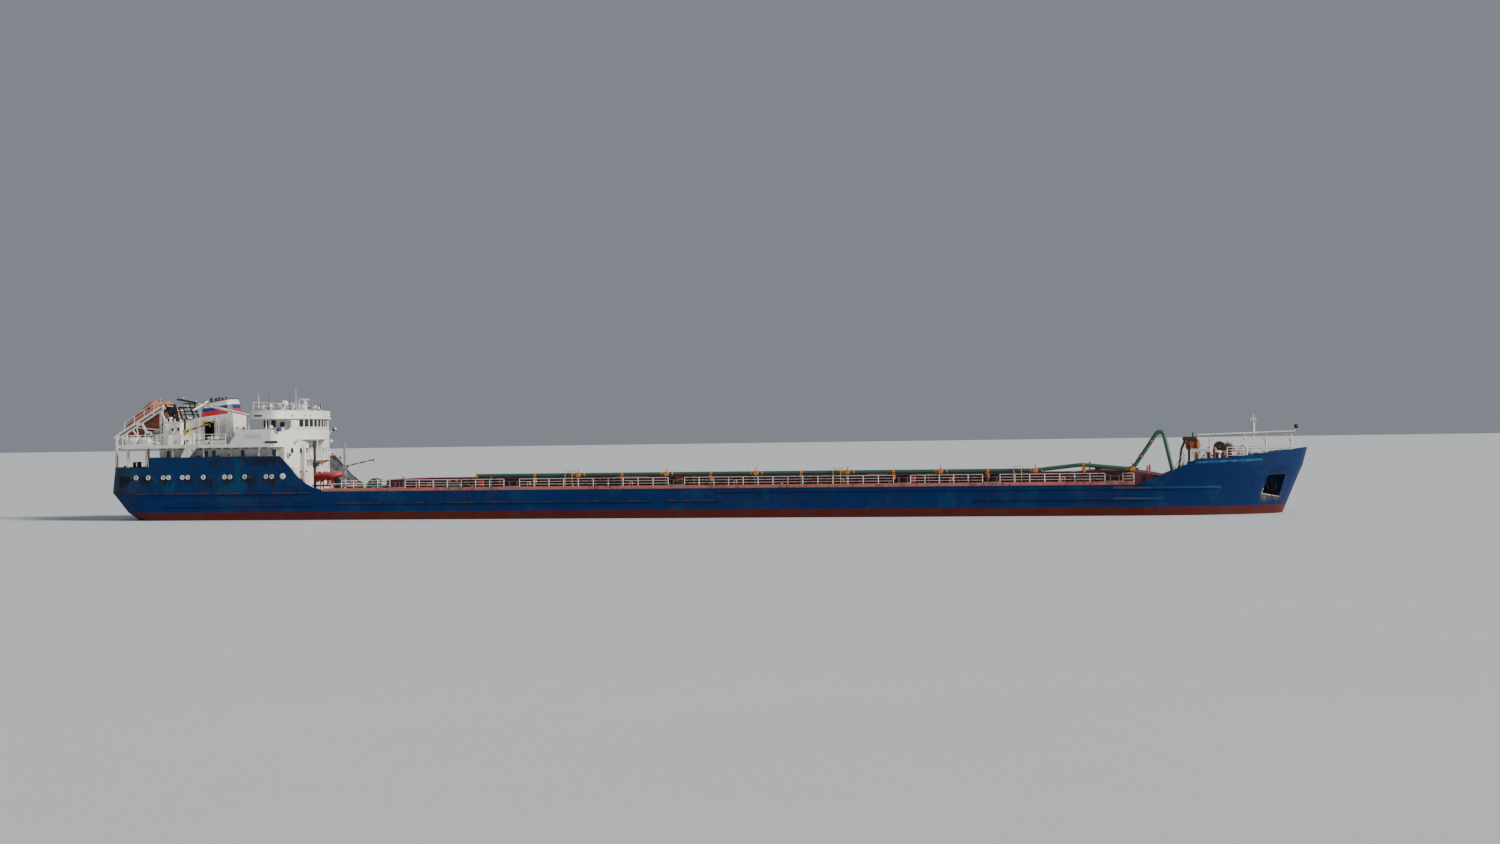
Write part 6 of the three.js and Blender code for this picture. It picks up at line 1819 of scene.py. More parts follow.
def build_lifeboat():
    """The enclosed lifeboat: shell, fender, lifeline, windows and screw."""
    boat = Shape()
    boat.rings([[on_ramp(u, y, v + BOAT_BOTTOM) for y, v in boat_profile(*sizes)]
                for u, *sizes in BOAT_SECTIONS], "boat_shell")
    # The joint between hull and canopy, with its rubber fender.
    for side in SIDES:
        fender = [boat_skin(u, side * 0.985, -0.02) for u, *unused in BOAT_SECTIONS[1:]]
        boat.tube(fender, 0.035, 8, "rubber")
        line = [boat_skin(0.4 + 0.31 * i, side * 1.0, -0.3 if i % 2 else -0.12) for i in range(17)]
        boat.tube(line, 0.014, 6, "rope")
        # Windows along the side, in the cockpit, and the hatch between them.
        for u, y, up, lean, wide, tall, pane in (
                (0.7, 0.945, 0.36, (0.97, 0.25), 0.17, 0.1, "dark_glass"),
                (1.5, 0.945, 0.36, (0.97, 0.25), 0.17, 0.1, "dark_glass"),
                (2.3, 0.945, 0.36, (0.97, 0.25), 0.17, 0.1, "dark_glass"),
                (4.1, 0.86, 0.6, (0.9, 0.43), 0.17, 0.14, "dark_glass"),
                (4.7, 0.86, 0.6, (0.9, 0.43), 0.17, 0.14, "dark_glass"),
                (3.0, 0.95, 0.3, (0.97, 0.2), 0.33, 0.3, "boat_shell")):
            facing = PORT * side * lean[0] + RAMP_SQUARE * lean[1]
            boat_window(boat, boat_skin(u, side * y, up), facing, wide, tall, pane)
        ends = [(boat_skin(u, side * 0.68, 0.86), boat_skin(u, side * 0.66, 0.86) + RAMP_SQUARE * 0.1)
                for u in (0.9, 2.9)]
        boat.tube([*ends[0], *reversed(ends[1])], 0.018, 6, "steel")
    # Cockpit's aft and fore windows, and the hatch in the upper end.
    for y in (-0.42, 0.0, 0.42):
        boat_window(boat, on_ramp(3.25, y, BOAT_BOTTOM + 2.56), RAMP_SQUARE * 0.9 - RAMP_ALONG * 0.45, 0.16,
                    0.1)
        boat_window(boat, on_ramp(5.17, y, BOAT_BOTTOM + 2.44), RAMP_SQUARE * 0.6 + RAMP_ALONG * 0.8, 0.16,
                    0.14)
    end = on_ramp(5.88, 0, BOAT_BOTTOM + 1.05)
    for wide, tall, corner, low, high in ((0.42, 0.6, 0.15, 0.0, 0.04), (0.34, 0.52, 0.12, 0.03, 0.06)):
        ring = [end + PORT * a + RAMP_SQUARE * b for a, b in rounded(wide, tall, corner)]
        boat.rings([[p + RAMP_ALONG * step for p in ring] for step in (low, high)], "boat_shell")
    boat.turned(end + RAMP_ALONG * 0.05 + RAMP_SQUARE * 0.2, RAMP_ALONG,
                [(0, 0.13), (0.03, 0.13), (0.04, 0.1), (0.04, 0.0)], 16, "dark_glass")
    # Propeller in its steering nozzle, under the upper end.
    screw = on_ramp(5.93, 0, BOAT_BOTTOM + 0.36)
    boat.turned(screw, RAMP_ALONG, [(-0.08, 0.24), (0.06, 0.22), (0.08, 0.18), (-0.06, 0.2)], 18,
                "boat_shell")
    boat.turned(screw, RAMP_ALONG, [(-0.2, 0.05), (0.04, 0.05), (0.08, 0.0)], 10, "brass")
    for blade in range(3):
        turn = 2 * math.pi * blade / 3
        arm = PORT * math.cos(turn) + RAMP_SQUARE * math.sin(turn)
        boat.rings([[screw + arm * r + arm.cross(RAMP_ALONG) * w + RAMP_ALONG * t for w, t in
                     ((-0.06, -0.03), (0.06, 0.02), (0.06, 0.03), (-0.06, -0.02))] for r in (0.03, 0.16)],
                   "brass")
    boat.build("lifeboat_shell", "free_fall_boat", "boat_orange", replaces=("lifeboat",))


def boat_window(shape, centre, normal, wide, tall, pane="dark_glass"):
    """A pane or hatch on the lifeboat's canopy, with its long side along the boat."""
    normal = normal.normalized()
    across = RAMP_ALONG if abs(normal.dot(RAMP_ALONG)) < 0.3 else PORT
    across = (across - normal * across.dot(normal)).normalized()
    up = normal.cross(across)
    for grow, low, high, paint in ((0.035, -0.06, 0.012, "boat_shell"), (0.0, 0.0, 0.02, pane)):
        ring = [centre + across * a + up * b for a, b in rounded(wide + grow, tall + grow, 0.06)]
        shape.rings([[p + normal * step for p in ring] for step in (low, high)], paint)


def build_ramp():
    """The lifeboat's ramp, with its hatched walkways, slots, ladder, winch and rollers."""
    plated("lifeboat_ramp", "worn_white", 0.012)
    gear = Shape()
    for side in SIDES:
        outer = side * 2.67
        # Slots in the girder's side, drawn as thin black sheets: painted shade of the openings.
        for u0, u1 in ((0.6, 2.7), (3.2, 4.9), (5.1, 6.05)):
            slot = ((u0, -0.1), (u1, -0.1), (u1, 0.04), (u0, 0.04))
            gear.rings([[on_ramp(u, outer + side * step, v) for u, v in slot] for step in (SEAT, -0.01)],
                       "black")
        # The walkway of gratings along the girder, in steps.
        for i in range(20):
            u = 0.1 + 0.3 * i
            low = on_ramp(u, 0, 0.27)
            gear.box(low.x, low.x + 0.24, *sorted((outer, side * 2.5)), low.z + 0.02, low.z + 0.05, "grey")
            gear.tube([on_ramp(u, outer, 0.25), (low.x, outer, low.z + 0.04)], 0.014, 6, "worn_white")
            brace = outer - side * 0.01
            gear.tube([on_ramp(u, brace, 0.06), on_ramp(u + 0.24, brace, 0.24)], 0.014, 6, "worn_white")
        for v in (-0.25, 0.25):
            gear.tube([on_ramp(-0.1, outer, v), on_ramp(6.3, outer, v)], 0.035, 8, "worn_white")
        posts = [on_ramp(u, side * 2.6, 0.26) for u in (1.3, 2.6, 3.9, 5.2, 6.1)]
        for post in posts:
            gear.tube([post, post + UP * 0.75], 0.028, 8, "worn_white")
        for level in (0.4, 0.75):
            gear.tube([p + UP * level for p in posts], 0.022, 8, "worn_white")
        # Rollers on the skids, and the struts under the ramp.
        for u in (0.9, 1.7, 2.5, 3.3, 4.1, 4.9, 5.7):
            gear.rod(on_ramp(u, side * 0.3 - 0.07, -1.06), PORT, 0.14, 0.05, 12, "steel")
        y = side * 2.56
        for foot, radius in (((-57.3, y, BOAT_DECK), 0.06), ((-55.0, y, 9.2), 0.05)):
            gear.tube([on_ramp(2.6, y, -0.25), foot], radius, 10, "worn_white")
    ladder(gear, (-54.85, -2.35, BOAT_DECK), (-54.85, -2.35, 11.3), PORT, 0.2, paint="worn_white")
    gear.spool((-54.9, -0.25, 11.25), PORT, 0.5, 0.02, 0.14, 0.09, 16, "steel")
    gear.tube([(-54.9, -2.6, 11.25), (-54.9, 2.6, 11.25)], 0.05, 10, "worn_white")
    for y in (-3.4, 3.4):
        gear.turned((-58.79, y, BOAT_DECK), UP, [(0, 0.07), (0.1, 0.07), (0.12, 0.03)], 10)
    gear.build("ramp_fittings")


def build_rescue_boat():
    """The rescue boat: its tubes, folded cover, engine, console and seats."""
    boat = Shape()
    y, z, half = -4.5, 4.4, 0.62
    tube = 0.285
    arm = ((-36.8, 1, 0), (-36.2, 1, 0), (-35.0, 1, 0), (-34.66, 0.82, 0.04), (-34.42, 0.45, 0.09))
    path = [(x, y - half * share, z + rise) for x, share, rise in arm]
    path += [(-34.32, y, z + 0.115)] + [(px, 2 * y - py, pz) for px, py, pz in reversed(path)]
    radii = [tube * 0.75] + [tube] * (len(path) - 2) + [tube * 0.75]
    boat.tube(path, radii, 20, "tube_skin")
    for wall, drop, ends in ((y - half - 0.29, 0.02, path[1:3]), (y + half + 0.285, 0.0, path[8:10])):
        boat.tube([(px, wall, pz - drop) for px, py, pz in ends], 0.03, 8, "black")
    hull = [(-0.5, 4.3), (-0.36, 4.2), (0.0, 4.18), (0.36, 4.2), (0.5, 4.3), (0.5, 4.36), (-0.5, 4.36)]
    boat.plate([(y + a, b) for a, b in hull], -36.7, -34.9, "yz", "grey")
    boat.plate([(-36.72, 4.2), (-36.64, 4.2), (-36.64, 4.75), (-36.72, 4.75)], y - 0.34, y + 0.34, "xz",
               "grey")
    # The red cover hangs in folds under the tube.
    folds = [(-36.72, 4.3), (-36.8, 3.76), (-36.5, 3.7), (-36.2, 3.92), (-35.8, 3.84), (-35.45, 4.02),
             (-34.95, 4.1), (-34.95, 4.3)]
    for py in (y - 0.62, y + 0.58):
        boat.plate(folds, py, py + 0.04, "xz", "tube_skin")
    # Engine, console, seats and grab lines.
    boat.box(-36.62, -36.45, y - 0.13, y + 0.13, 4.45, 4.79, "black")
    boat.box(-36.0, -35.7, y - 0.2, y + 0.2, 4.36, 4.74, "grey")
    boat.hoop((-36.05, y, 4.7), (-1, 0, 0.4), 0.09, 0.014, 18, "black", 6)
    boat.box(-35.3, -34.95, y - 0.3, y + 0.3, 4.36, 4.5, "navy")
    for px, py, pz in path[1:10]:
        out = Vector((px + 35.6, py - y, 0)).normalized()
        boat.ball(Vector((px, py, pz)) + out * 0.16 + UP * 0.22, 0.03, 10, "black")
    boat.tube([(px, py, pz + tube + 0.005) for px, py, pz in path[1:10]], 0.014, 6, "rope")
    for px in (-36.3, -35.2):
        for side in SIDES:
            boat.tube([(px, y + side * 0.45, 4.6), (-35.75, y, 4.8)], 0.012, 6, "rope")
    boat.stand_for("rescue_boat", "_tubes")
    plated("rescue_boat_stand", "orange", 0.01)


# Main deck

BULKHEADS = (-5.5, 19.0)
BOLLARDS = (-27.4, -15.6, 0.9, 22.6, 30.9, 42.05)
RAIL_ENDS = (-33.3, 43.85)
PIPE_Y = -5.6
PIPE_JOINTS = tuple(43.7 - 8.8 * i for i in range(7))
PIPE_RUN = ((-19.5, 4.2), (34.8, 4.2), (39.1, 4.67), (43.7, 4.22), (46.0, 7.6), (46.5, 7.6), (47.3, 4.0))


def build_hold():
    """Coamings with their stays, the bulkheads' ribs, ladders, and the trunk's lids."""
    for node in ("hold_bulkhead_1", "hold_bulkhead_2", "coaming_starboard", "coaming_port", "coaming_aft",
                 "fore_trunk"):
        plated(node, "maroon", 0.01)
    hold = Shape()
    for x in BULKHEADS:
        for face in SIDES:
            wall = x + face * 0.2
            for i in range(9):
                hold.tube([(wall, i - 4.0, -1.66), (wall, i - 4.0, COAMING_TOP - 0.12)], 0.13, 10, "maroon")
            foot = wall + face * 0.25
            ladder(hold, (foot, 4.35, -1.6), (foot, 4.6, COAMING_TOP), PORT, 0.17, paint="salmon")
        hold.tube([(x, -4.9, COAMING_TOP + 0.02), (x, 4.9, COAMING_TOP + 0.02)], 0.09, 10, "maroon")
    for side in SIDES:
        # Frames on the hopper's slope, and stays outside the coaming.
        frame_outline = [(side * 4.2, -1.66), (side * 5.0, DECK), (side * 4.88, DECK), (side * 4.08, -1.66)]
        for i in range(33):
            x = -27.6 + 2.2 * i
            if all(abs(x - bulkhead) > 0.5 for bulkhead in BULKHEADS):
                hold.plate(frame_outline, x, x + 0.06, "yz", "maroon")
        stay = [(side * 5.11, DECK + SEAT), (side * 5.42, DECK + SEAT), (side * 5.27, COAMING_TOP - 0.1),
                (side * 5.11, COAMING_TOP - 0.1)]
        for i in range(35):
            x = -26.0 + 1.85 * i
            hold.plate(stay, x, x + 0.05, "yz", "salmon")
        hold.tube([(-29.0, side * 5.14, 3.35), (37.8, side * 5.14, 3.35)], 0.035, 8, "salmon")
        ladder(hold, (-28.7, side * 4.3, -1.6), (-28.7, side * 4.8, COAMING_TOP), PORT, 0.17, paint="salmon")
    # Lids, vents and rails on the trunk.
    for x, y, z in ((40.6, -2.6, 4.15), (40.6, 2.6, 4.15), (43.6, 0.0, 4.01)):
        hold.turned((x, y, z - 0.06), UP, [(0, 0.44), (0.2, 0.44), (0.2, 0.5), (0.26, 0.5), (0.3, 0.4),
                                           (0.3, 0.0)], 24, "maroon")
        for angle in range(0, 360, 45):
            hold.rod(Vector((x, y, z + 0.18)) + compass(angle) * 0.46, UP, 0.07, 0.04, 8, "steel")
    for x, y, z in ((39.3, 4.2, 4.05), (45.0, 3.6, 3.75)):
        for side in SIDES:
            gooseneck(hold, (x, side * y, z), 0.55, (0.0, side * 0.3), 0.09, "salmon")
    for side in SIDES:
        for i in range(4):
            x = 38.6 + 2.1 * i
            hold.box(x, x + 0.06, *sorted((side * 5.3, side * 5.42)), 2.84, 3.8, "maroon")
    hold.build("hold_fittings", slot="maroon")


def build_main_deck():
    """Deck edges with bollards, the rails, the cargo pipe, and what stands along the deck."""
    for name, side in HANDS:
        edge = Shape()
        y = side * 6.59
        section = [(side * 6.5, DECK + SEAT), (side * 6.5, 3.1), (side * 6.53, 3.13), (side * 6.65, 3.13),
                   (side * 6.68, 3.1), (side * 6.68, DECK + SEAT)]
        edge.plate(section, -35.2, 43.9, "yz", "salmon")
        for x in BOLLARDS:
            middle = side * 6.25
            edge.bed(x - 0.7, x + 0.7, middle - 0.24, middle + 0.24, 0.1, DECK + SEAT, DECK + 0.1, "black")
            bollard_pair(edge, (x, middle, DECK + 0.08), AHEAD, 0.14, 0.75, 0.4)
            edge.bed(x - 0.72, x + 0.72, y - 0.09, y + 0.09, 0.05, 3.1, 3.2, "steel")
        edge.stand_for("deck_edge_" + name, "_gear")

        rail = Shape()
        starts = [RAIL_ENDS[0]] + [x + 0.8 for x in BOLLARDS]
        ends = [x - 0.8 for x in BOLLARDS] + [RAIL_ENDS[1]]
        pitch = bpy.context.scene.ship_sizes.rail_pitch
        for start, end in zip(starts, ends):
            rail_run(rail, [(start, y, DECK + 0.3), (end, y, DECK + 0.3)], 0.74, 0.027, (0.3, 0.65, 1.0),
                     pitch,
                     "worn_white", False)
        for x in BOLLARDS:
            rail.tube([(x - 0.8, y, 3.72), (x, y, 3.6), (x + 0.8, y, 3.72)], 0.014, 6, "steel")
        rail.stand_for("deck_rail_" + name, "_tubes")

    build_cargo_pipe()

    gear = Shape()
    for side in SIDES:
        for i in range(7):
            x = -24.5 + 10.3 * i
            y = side * 5.98
            gooseneck(gear, (x, y, DECK), 0.6, (0.26, 0.0), 0.075, "salmon")
            oval = [(x + 2.2 + a, y + b) for a, b in rounded(0.32, 0.2, 0.2, 6)]
            gear.plate(oval, DECK + 0.002, DECK + 0.06, "xy", "steel")
            for angle in range(0, 360, 36):
                arm = compass(angle)
                bolt = (x + 2.2 + 0.27 * arm.x, y + 0.155 * arm.y, DECK + 0.05)
                gear.rod(bolt, UP, 0.035, 0.025, 6, "steel")
            gear.turned((x + 4.6, y, DECK), UP,
                        [(0, 0.07), (0.35, 0.07), (0.35, 0.1), (0.42, 0.1), (0.44, 0.0)],
                        12, "brass")
        y, top = side * 5.95, DECK + 0.95
        for x in (-19.0, 1.0, 23.5):
            gear.bed(x - 0.3, x + 0.3, y - 0.16, y + 0.16, 0.04, DECK + 0.35, top, "red")
            gear.bed(x - 0.33, x + 0.33, y - 0.19, y + 0.19, 0.04, top, top + 0.05, "red")
            for step in (-0.25, 0.25):
                gear.tube([(x + step, y, DECK), (x + step, y, DECK + 0.4)], 0.03, 8, "red")
        for x in (2.5, 25.0, -17.0):
            gear.tube([(x, side * 6.0, DECK), (x, side * 6.0, DECK + 1.15)], 0.035, 8, "red")
            hand_wheel(gear, (x, side * 6.0, DECK + 1.15), UP, 0.13, "red")
        life_ring(gear, (-32.0, side * 6.52, 3.62), PORT * side, 0.28)
        for x, radius, turns, paint in (
                (-25.2, 0.42, 5, "teal_rope"), (34.5, 0.4, 4, "teal_rope"), (10.2, 0.38, 4, "rope")):
            coil(gear, (x, side * 6.0, DECK), radius, turns, 0.04, paint)
        # Pipes and winch between the poop and the hold.
        for y, radius, paint in ((3.0, 0.09, "green"), (2.6, 0.06, "orange"), (1.9, 0.05, "grey")):
            bends = ((-38.0, 0.5), (-34.6, 0.5), (-34.2, 0.3), (-29.9, 0.3))
            gear.tube([(x, side * y, DECK + rise) for x, rise in bends], radius, 12, paint)
            for x in (-36.6, -33.2, -31.0):
                gear.box(x - 0.04, x + 0.04, side * y - 0.1, side * y + 0.1, DECK, DECK + 0.26)
        hoop = ((-34.6, 0), (-34.6, 0.7), (-31.2, 0.7), (-31.2, 0))
        gear.tube([(x, side * 5.9, DECK + rise) for x, rise in hoop], 0.05, 10, "worn_white")
    winch(gear, (-32.4, 0.0, DECK))
    for y in (3.9, -3.9):
        bollard_pair(gear, (-31.0, y, DECK), AHEAD, 0.15, 0.7, 0.4)
    # A net heaped by the rail, the toolbox and the crossings over the pipe.
    for i in range(9):
        gear.hoop((-30.2 + 0.13 * i, -5.95, DECK + 0.16), (0.6, 0.2 * (i % 3 - 1), 0.3), 0.2, 0.03, 14,
                  "teal_rope", 6)
    crate(gear, (-35.0, 1.0, DECK), (-33.6, 1.7, DECK + 0.6), "grey", "grey")
    for x in (-9.9, 16.4, 33.3):
        for step in (-0.35, 0.35):
            legs = ((-6.35, DECK), (-6.35, 4.6), (-5.15, 4.6), (-5.15, 3.95))
            gear.tube([(x + step, y, z) for y, z in legs], 0.03, 8, "yellow")
        for i in range(5):
            y = -6.2 + 0.25 * i
            gear.box(x - 0.35, x + 0.35, y, y + 0.12, 4.57, 4.6, "grey")
    gear.build("deck_gear")


def build_cargo_pipe():
    """The pipe along the deck: flanged joints, outlets with valves, stands and the goose neck."""
    pipe = Shape()
    radius = 0.185
    run = [Vector((x, PIPE_Y, z)) for x, z in PIPE_RUN]
    smooth = []
    for before, corner, after in zip(run, run[1:], run[2:]):
        cut_back = min(0.5, (corner - before).length * 0.45, (after - corner).length * 0.45)
        start = corner + (before - corner).normalized() * cut_back
        end = corner + (after - corner).normalized() * cut_back
        smooth += [start.lerp(corner, t).lerp(corner.lerp(end, t), t) for t in (0.0, 0.25, 0.5, 0.75, 1.0)]
    pipe.tube([run[0], *smooth, run[-1]], radius, 20, "green")
    for i, x in enumerate(PIPE_JOINTS):
        joint = Vector((x, PIPE_Y, 4.22 if i == 0 else 4.2))
        pipe.spool(joint - AHEAD * 0.1, AHEAD, 0.2, 0.07, 0.26, 0.2, 20, "orange")
        pipe.turned(joint, PORT, [(-0.28, 0.1), (-0.28, 0.2), (-0.2, 0.24), (0.2, 0.24), (0.28, 0.2),
                                  (0.28, 0.1)],
                    16, "orange")
        for angle in range(0, 360, 36):
            arm = compass(angle)
            bolt = joint + Vector((-0.13, 0.225 * arm.x, 0.225 * arm.y))
            pipe.tube([bolt, bolt + AHEAD * 0.26], 0.018, 6, "steel")
        pipe.turned(joint - AHEAD * 0.55, AHEAD, [(0, radius + 0.012), (0.3, radius + 0.012)], 20, "tape")
        hand_wheel(pipe, joint + UP * 0.5, UP, 0.17, "orange")
        pipe.tube([joint + UP * 0.2, joint + UP * 0.5], 0.03, 8, "steel")
        if i:
            pipe.turned(joint + AHEAD * 0.55, AHEAD, [(0, radius + 0.012), (0.12, radius + 0.012)], 20,
                        "yellow")
        outlet = Vector((x - 4.4, PIPE_Y, 4.67 if i == 0 else 4.2))
        pipe.turned(outlet, -UP, [(0.0, 0.12), (0.3, 0.12), (0.3, 0.19), (0.37, 0.19), (0.37, 0.12),
                                  (0.5, 0.15), (0.62, 0.15), (0.74, 0.1)], 16, "orange")
        pipe.turned(outlet, AHEAD, [(-0.12, radius + 0.03), (0.12, radius + 0.03)], 20, "orange")
        stem = outlet - UP * 0.52
        hand_wheel(pipe, stem - PORT * 0.3, PORT, 0.13, "red")
        pipe.tube([stem - PORT * 0.28, stem], 0.025, 8, "steel")
    # Stands under the level run of the pipe.
    top = 4.1
    for i in range(12):
        x = -18.0 + 4.4 * i
        pipe.plate([(PIPE_Y - 0.22, DECK + SEAT), (PIPE_Y + 0.22, DECK + SEAT), (PIPE_Y + 0.1, top),
                    (PIPE_Y - 0.1, top)], x - 0.035, x + 0.035, "yz", "green")
        pipe.box(x - 0.16, x + 0.16, PIPE_Y - 0.25, PIPE_Y + 0.25, DECK + SEAT, DECK + 0.03, "green")
        pipe.turned((x, PIPE_Y, top - 0.1), AHEAD, [(-0.05, radius + 0.02), (0.05, radius + 0.02)], 20,
                    "steel")
    # The blanked aft end and the valve block behind it.
    pipe.turned((-19.5, PIPE_Y, 4.2), -AHEAD, [(-0.1, 0.28), (0.05, 0.28), (0.05, 0.0)], 20, "orange")
    pipe.bed(-22.9, -21.1, -5.95, -5.5, 0.08, DECK + SEAT, DECK + 0.7, "green")
    for x in (-22.4, -21.6):
        hand_wheel(pipe, (x, -5.72, DECK + 0.95), UP, 0.2, "orange")
    # The stub under the goose neck.
    pipe.turned((47.3, PIPE_Y, DECK), UP,
                [(0, 0.34), (0.06, 0.34), (0.06, 0.23), (1.0, 0.23), (1.0, 0.3), (1.1, 0.3),
                                          (1.1, 0.24), (1.2, 0.24)], 20, "green")
    along = (run[4] - run[3]).normalized()
    for share in (0.35, 0.75):
        pipe.spool(run[3].lerp(run[4], share) - along * 0.09, along, 0.18, 0.07, 0.25, 0.2, 20, "orange")
    pipe.stand_for("cargo_pipe", "_run")


# Forecastle

def build_forecastle():
    """The gear on the forecastle and in the well before it."""
    for node in ("hose_frame", "rope_reel_stand"):
        plated(node, "black", 0.01)
    plated("mooring_bitts", "white", 0.012)
    build_windlass()
    build_reel()
    build_pump()
    build_beam()
    build_anchors()

    rail = Shape()
    path = []
    for side in SIDES:
        run = []
        for x in (52.25, 53.4, 54.5, 55.5, 56.4, 57.2, 57.85, 58.25):
            point, normal = hull_side(x, 5.0, side)
            point -= Vector((normal.x, normal.y, 0)).normalized() * 0.42
            point.z = FORECASTLE_DECK
            run.append(point)
        path += run if side < 0 else run[::-1]
    rail_run(rail, path, 1.24, 0.026, (0.42, 0.62, 0.82, 1.0), 1.3)
    rail.stand_for("forecastle_rail", "_tubes")

    gear = Shape()
    deck = FORECASTLE_DECK
    for side in SIDES:
        stair(gear, (47.15, side * 3.6, DECK), (48.3, side * 3.6, deck), PORT, 0.36, 0.95)
        steel_door(gear, (48.4, side * 2.2, DECK + 1.0), -AHEAD, 0.34, 0.85)
        rail_run(gear, [(48.5, side * 4.1, 4.57), (48.5, side * 5.35, 4.57)], 1.2, 0.025, pitch=1.25)
        gear.box(48.58, 48.86, side * 1.2 - 0.14, side * 1.2 + 0.14, 4.6, 4.88, "black")
        bollard_pair(gear, (50.9, side * 5.15, deck), AHEAD, 0.14, 0.72, 0.38)
        bollard_pair(gear, (56.4, side * 1.9, deck), (0.7, -side * 0.7, 0), 0.13, 0.65, 0.34)
        mushroom(gear, (51.4, side * 4.1, deck), 0.75, 0.17)
        mushroom(gear, (55.2, side * 3.4, deck), 0.55, 0.13)
        gooseneck(gear, (53.9, side * 3.2, deck), 1.2, (-0.36, 0.0), 0.1)
        gooseneck(gear, (49.3, 4.6 if side > 0 else -4.75, deck), 0.6, (0.28, 0.0), 0.08, "salmon")
        coil(gear, (55.4, side * 2.4, deck), 0.4, 5, 0.05)
        # Rollers on the bow.
        gear.turned((57.2, side * 1.15, deck), UP, [(0, 0.2), (0.05, 0.2), (0.5, 0.12), (0.56, 0.18),
                                                    (0.6, 0.18), (0.6, 0.0)], 16, "black")
    for x in (50.05, 49.45):
        gear.rod((x, -4.0, deck + 1.0), AHEAD, 0.03, 0.17, 12, "salmon")
    # Hatch with its lid and a deck box.
    gear.bed(51.0, 52.0, -0.5, 0.5, 0.08, deck + 0.002, deck + 0.45)
    gear.bed(50.93, 52.07, -0.57, 0.57, 0.1, deck + 0.45, deck + 0.53, "grey")
    for y in (-0.4, 0.0, 0.4):
        gear.rod((50.9, y, deck + 0.4), UP, 0.16, 0.03, 8, "brass")
    crate(gear, (49.9, 2.2, deck), (51.2, 3.0, deck + 0.55), "grey", "white")
    # The machine on the black frame: an orange casing, its pipes and valves.
    gear.bed(48.5, 49.72, -1.25, 0.22, 0.1, 5.97, 6.72, "orange")
    gear.turned((48.6, -0.5, 6.35), AHEAD, [(-0.2, 0.26), (-0.12, 0.3), (1.1, 0.3), (1.2, 0.2)], 20, "orange")
    bends = ((0.5, 7.1), (0.5, 7.35), (0.2, 7.45), (-0.6, 7.45), (-0.9, 7.3), (-0.9, 7.08))
    gear.tube([(49.1, y, z) for y, z in bends], 0.09, 12, "green")
    hand_wheel(gear, (48.9, -1.36, 6.4), PORT, 0.2, "red")
    hoop = ((-1.1, 7.1), (-1.1, 7.3), (1.1, 7.3), (1.1, 7.1))
    gear.tube([(48.7, y, z) for y, z in hoop], 0.04, 8, "yellow")
    # An orange valve with its hand wheel, and the big dark reel.
    gear.turned((50.5, -1.1, deck), UP, [(0, 0.2), (0.05, 0.2), (0.05, 0.11), (0.7, 0.11), (0.7, 0.2),
                                         (0.78, 0.2), (0.8, 0.14), (1.05, 0.1)], 16, "orange")
    hand_wheel(gear, (50.5, -1.1, deck + 1.25), UP, 0.19, "orange")
    gear.spool((51.5, -1.4, deck + 1.25), PORT, 0.8, 0.06, 0.55, 0.3, 28, "black")
    gear.tube([(51.5, -1.58, deck + 1.25), (51.5, -0.42, deck + 1.25)], 0.07, 12, "steel")
    for i in range(7):
        gear.hoop((51.5, -1.27 + 0.09 * i, deck + 1.25), PORT, 0.34, 0.05, 24, "rubber", 8)
    for y in (-1.5, -0.5):
        gear.plate([(51.1, deck), (51.9, deck), (51.58, deck + 1.3), (51.42, deck + 1.3)], y - 0.04, y + 0.04,
                   "xz", "black")
    gear.build("forecastle_gear")


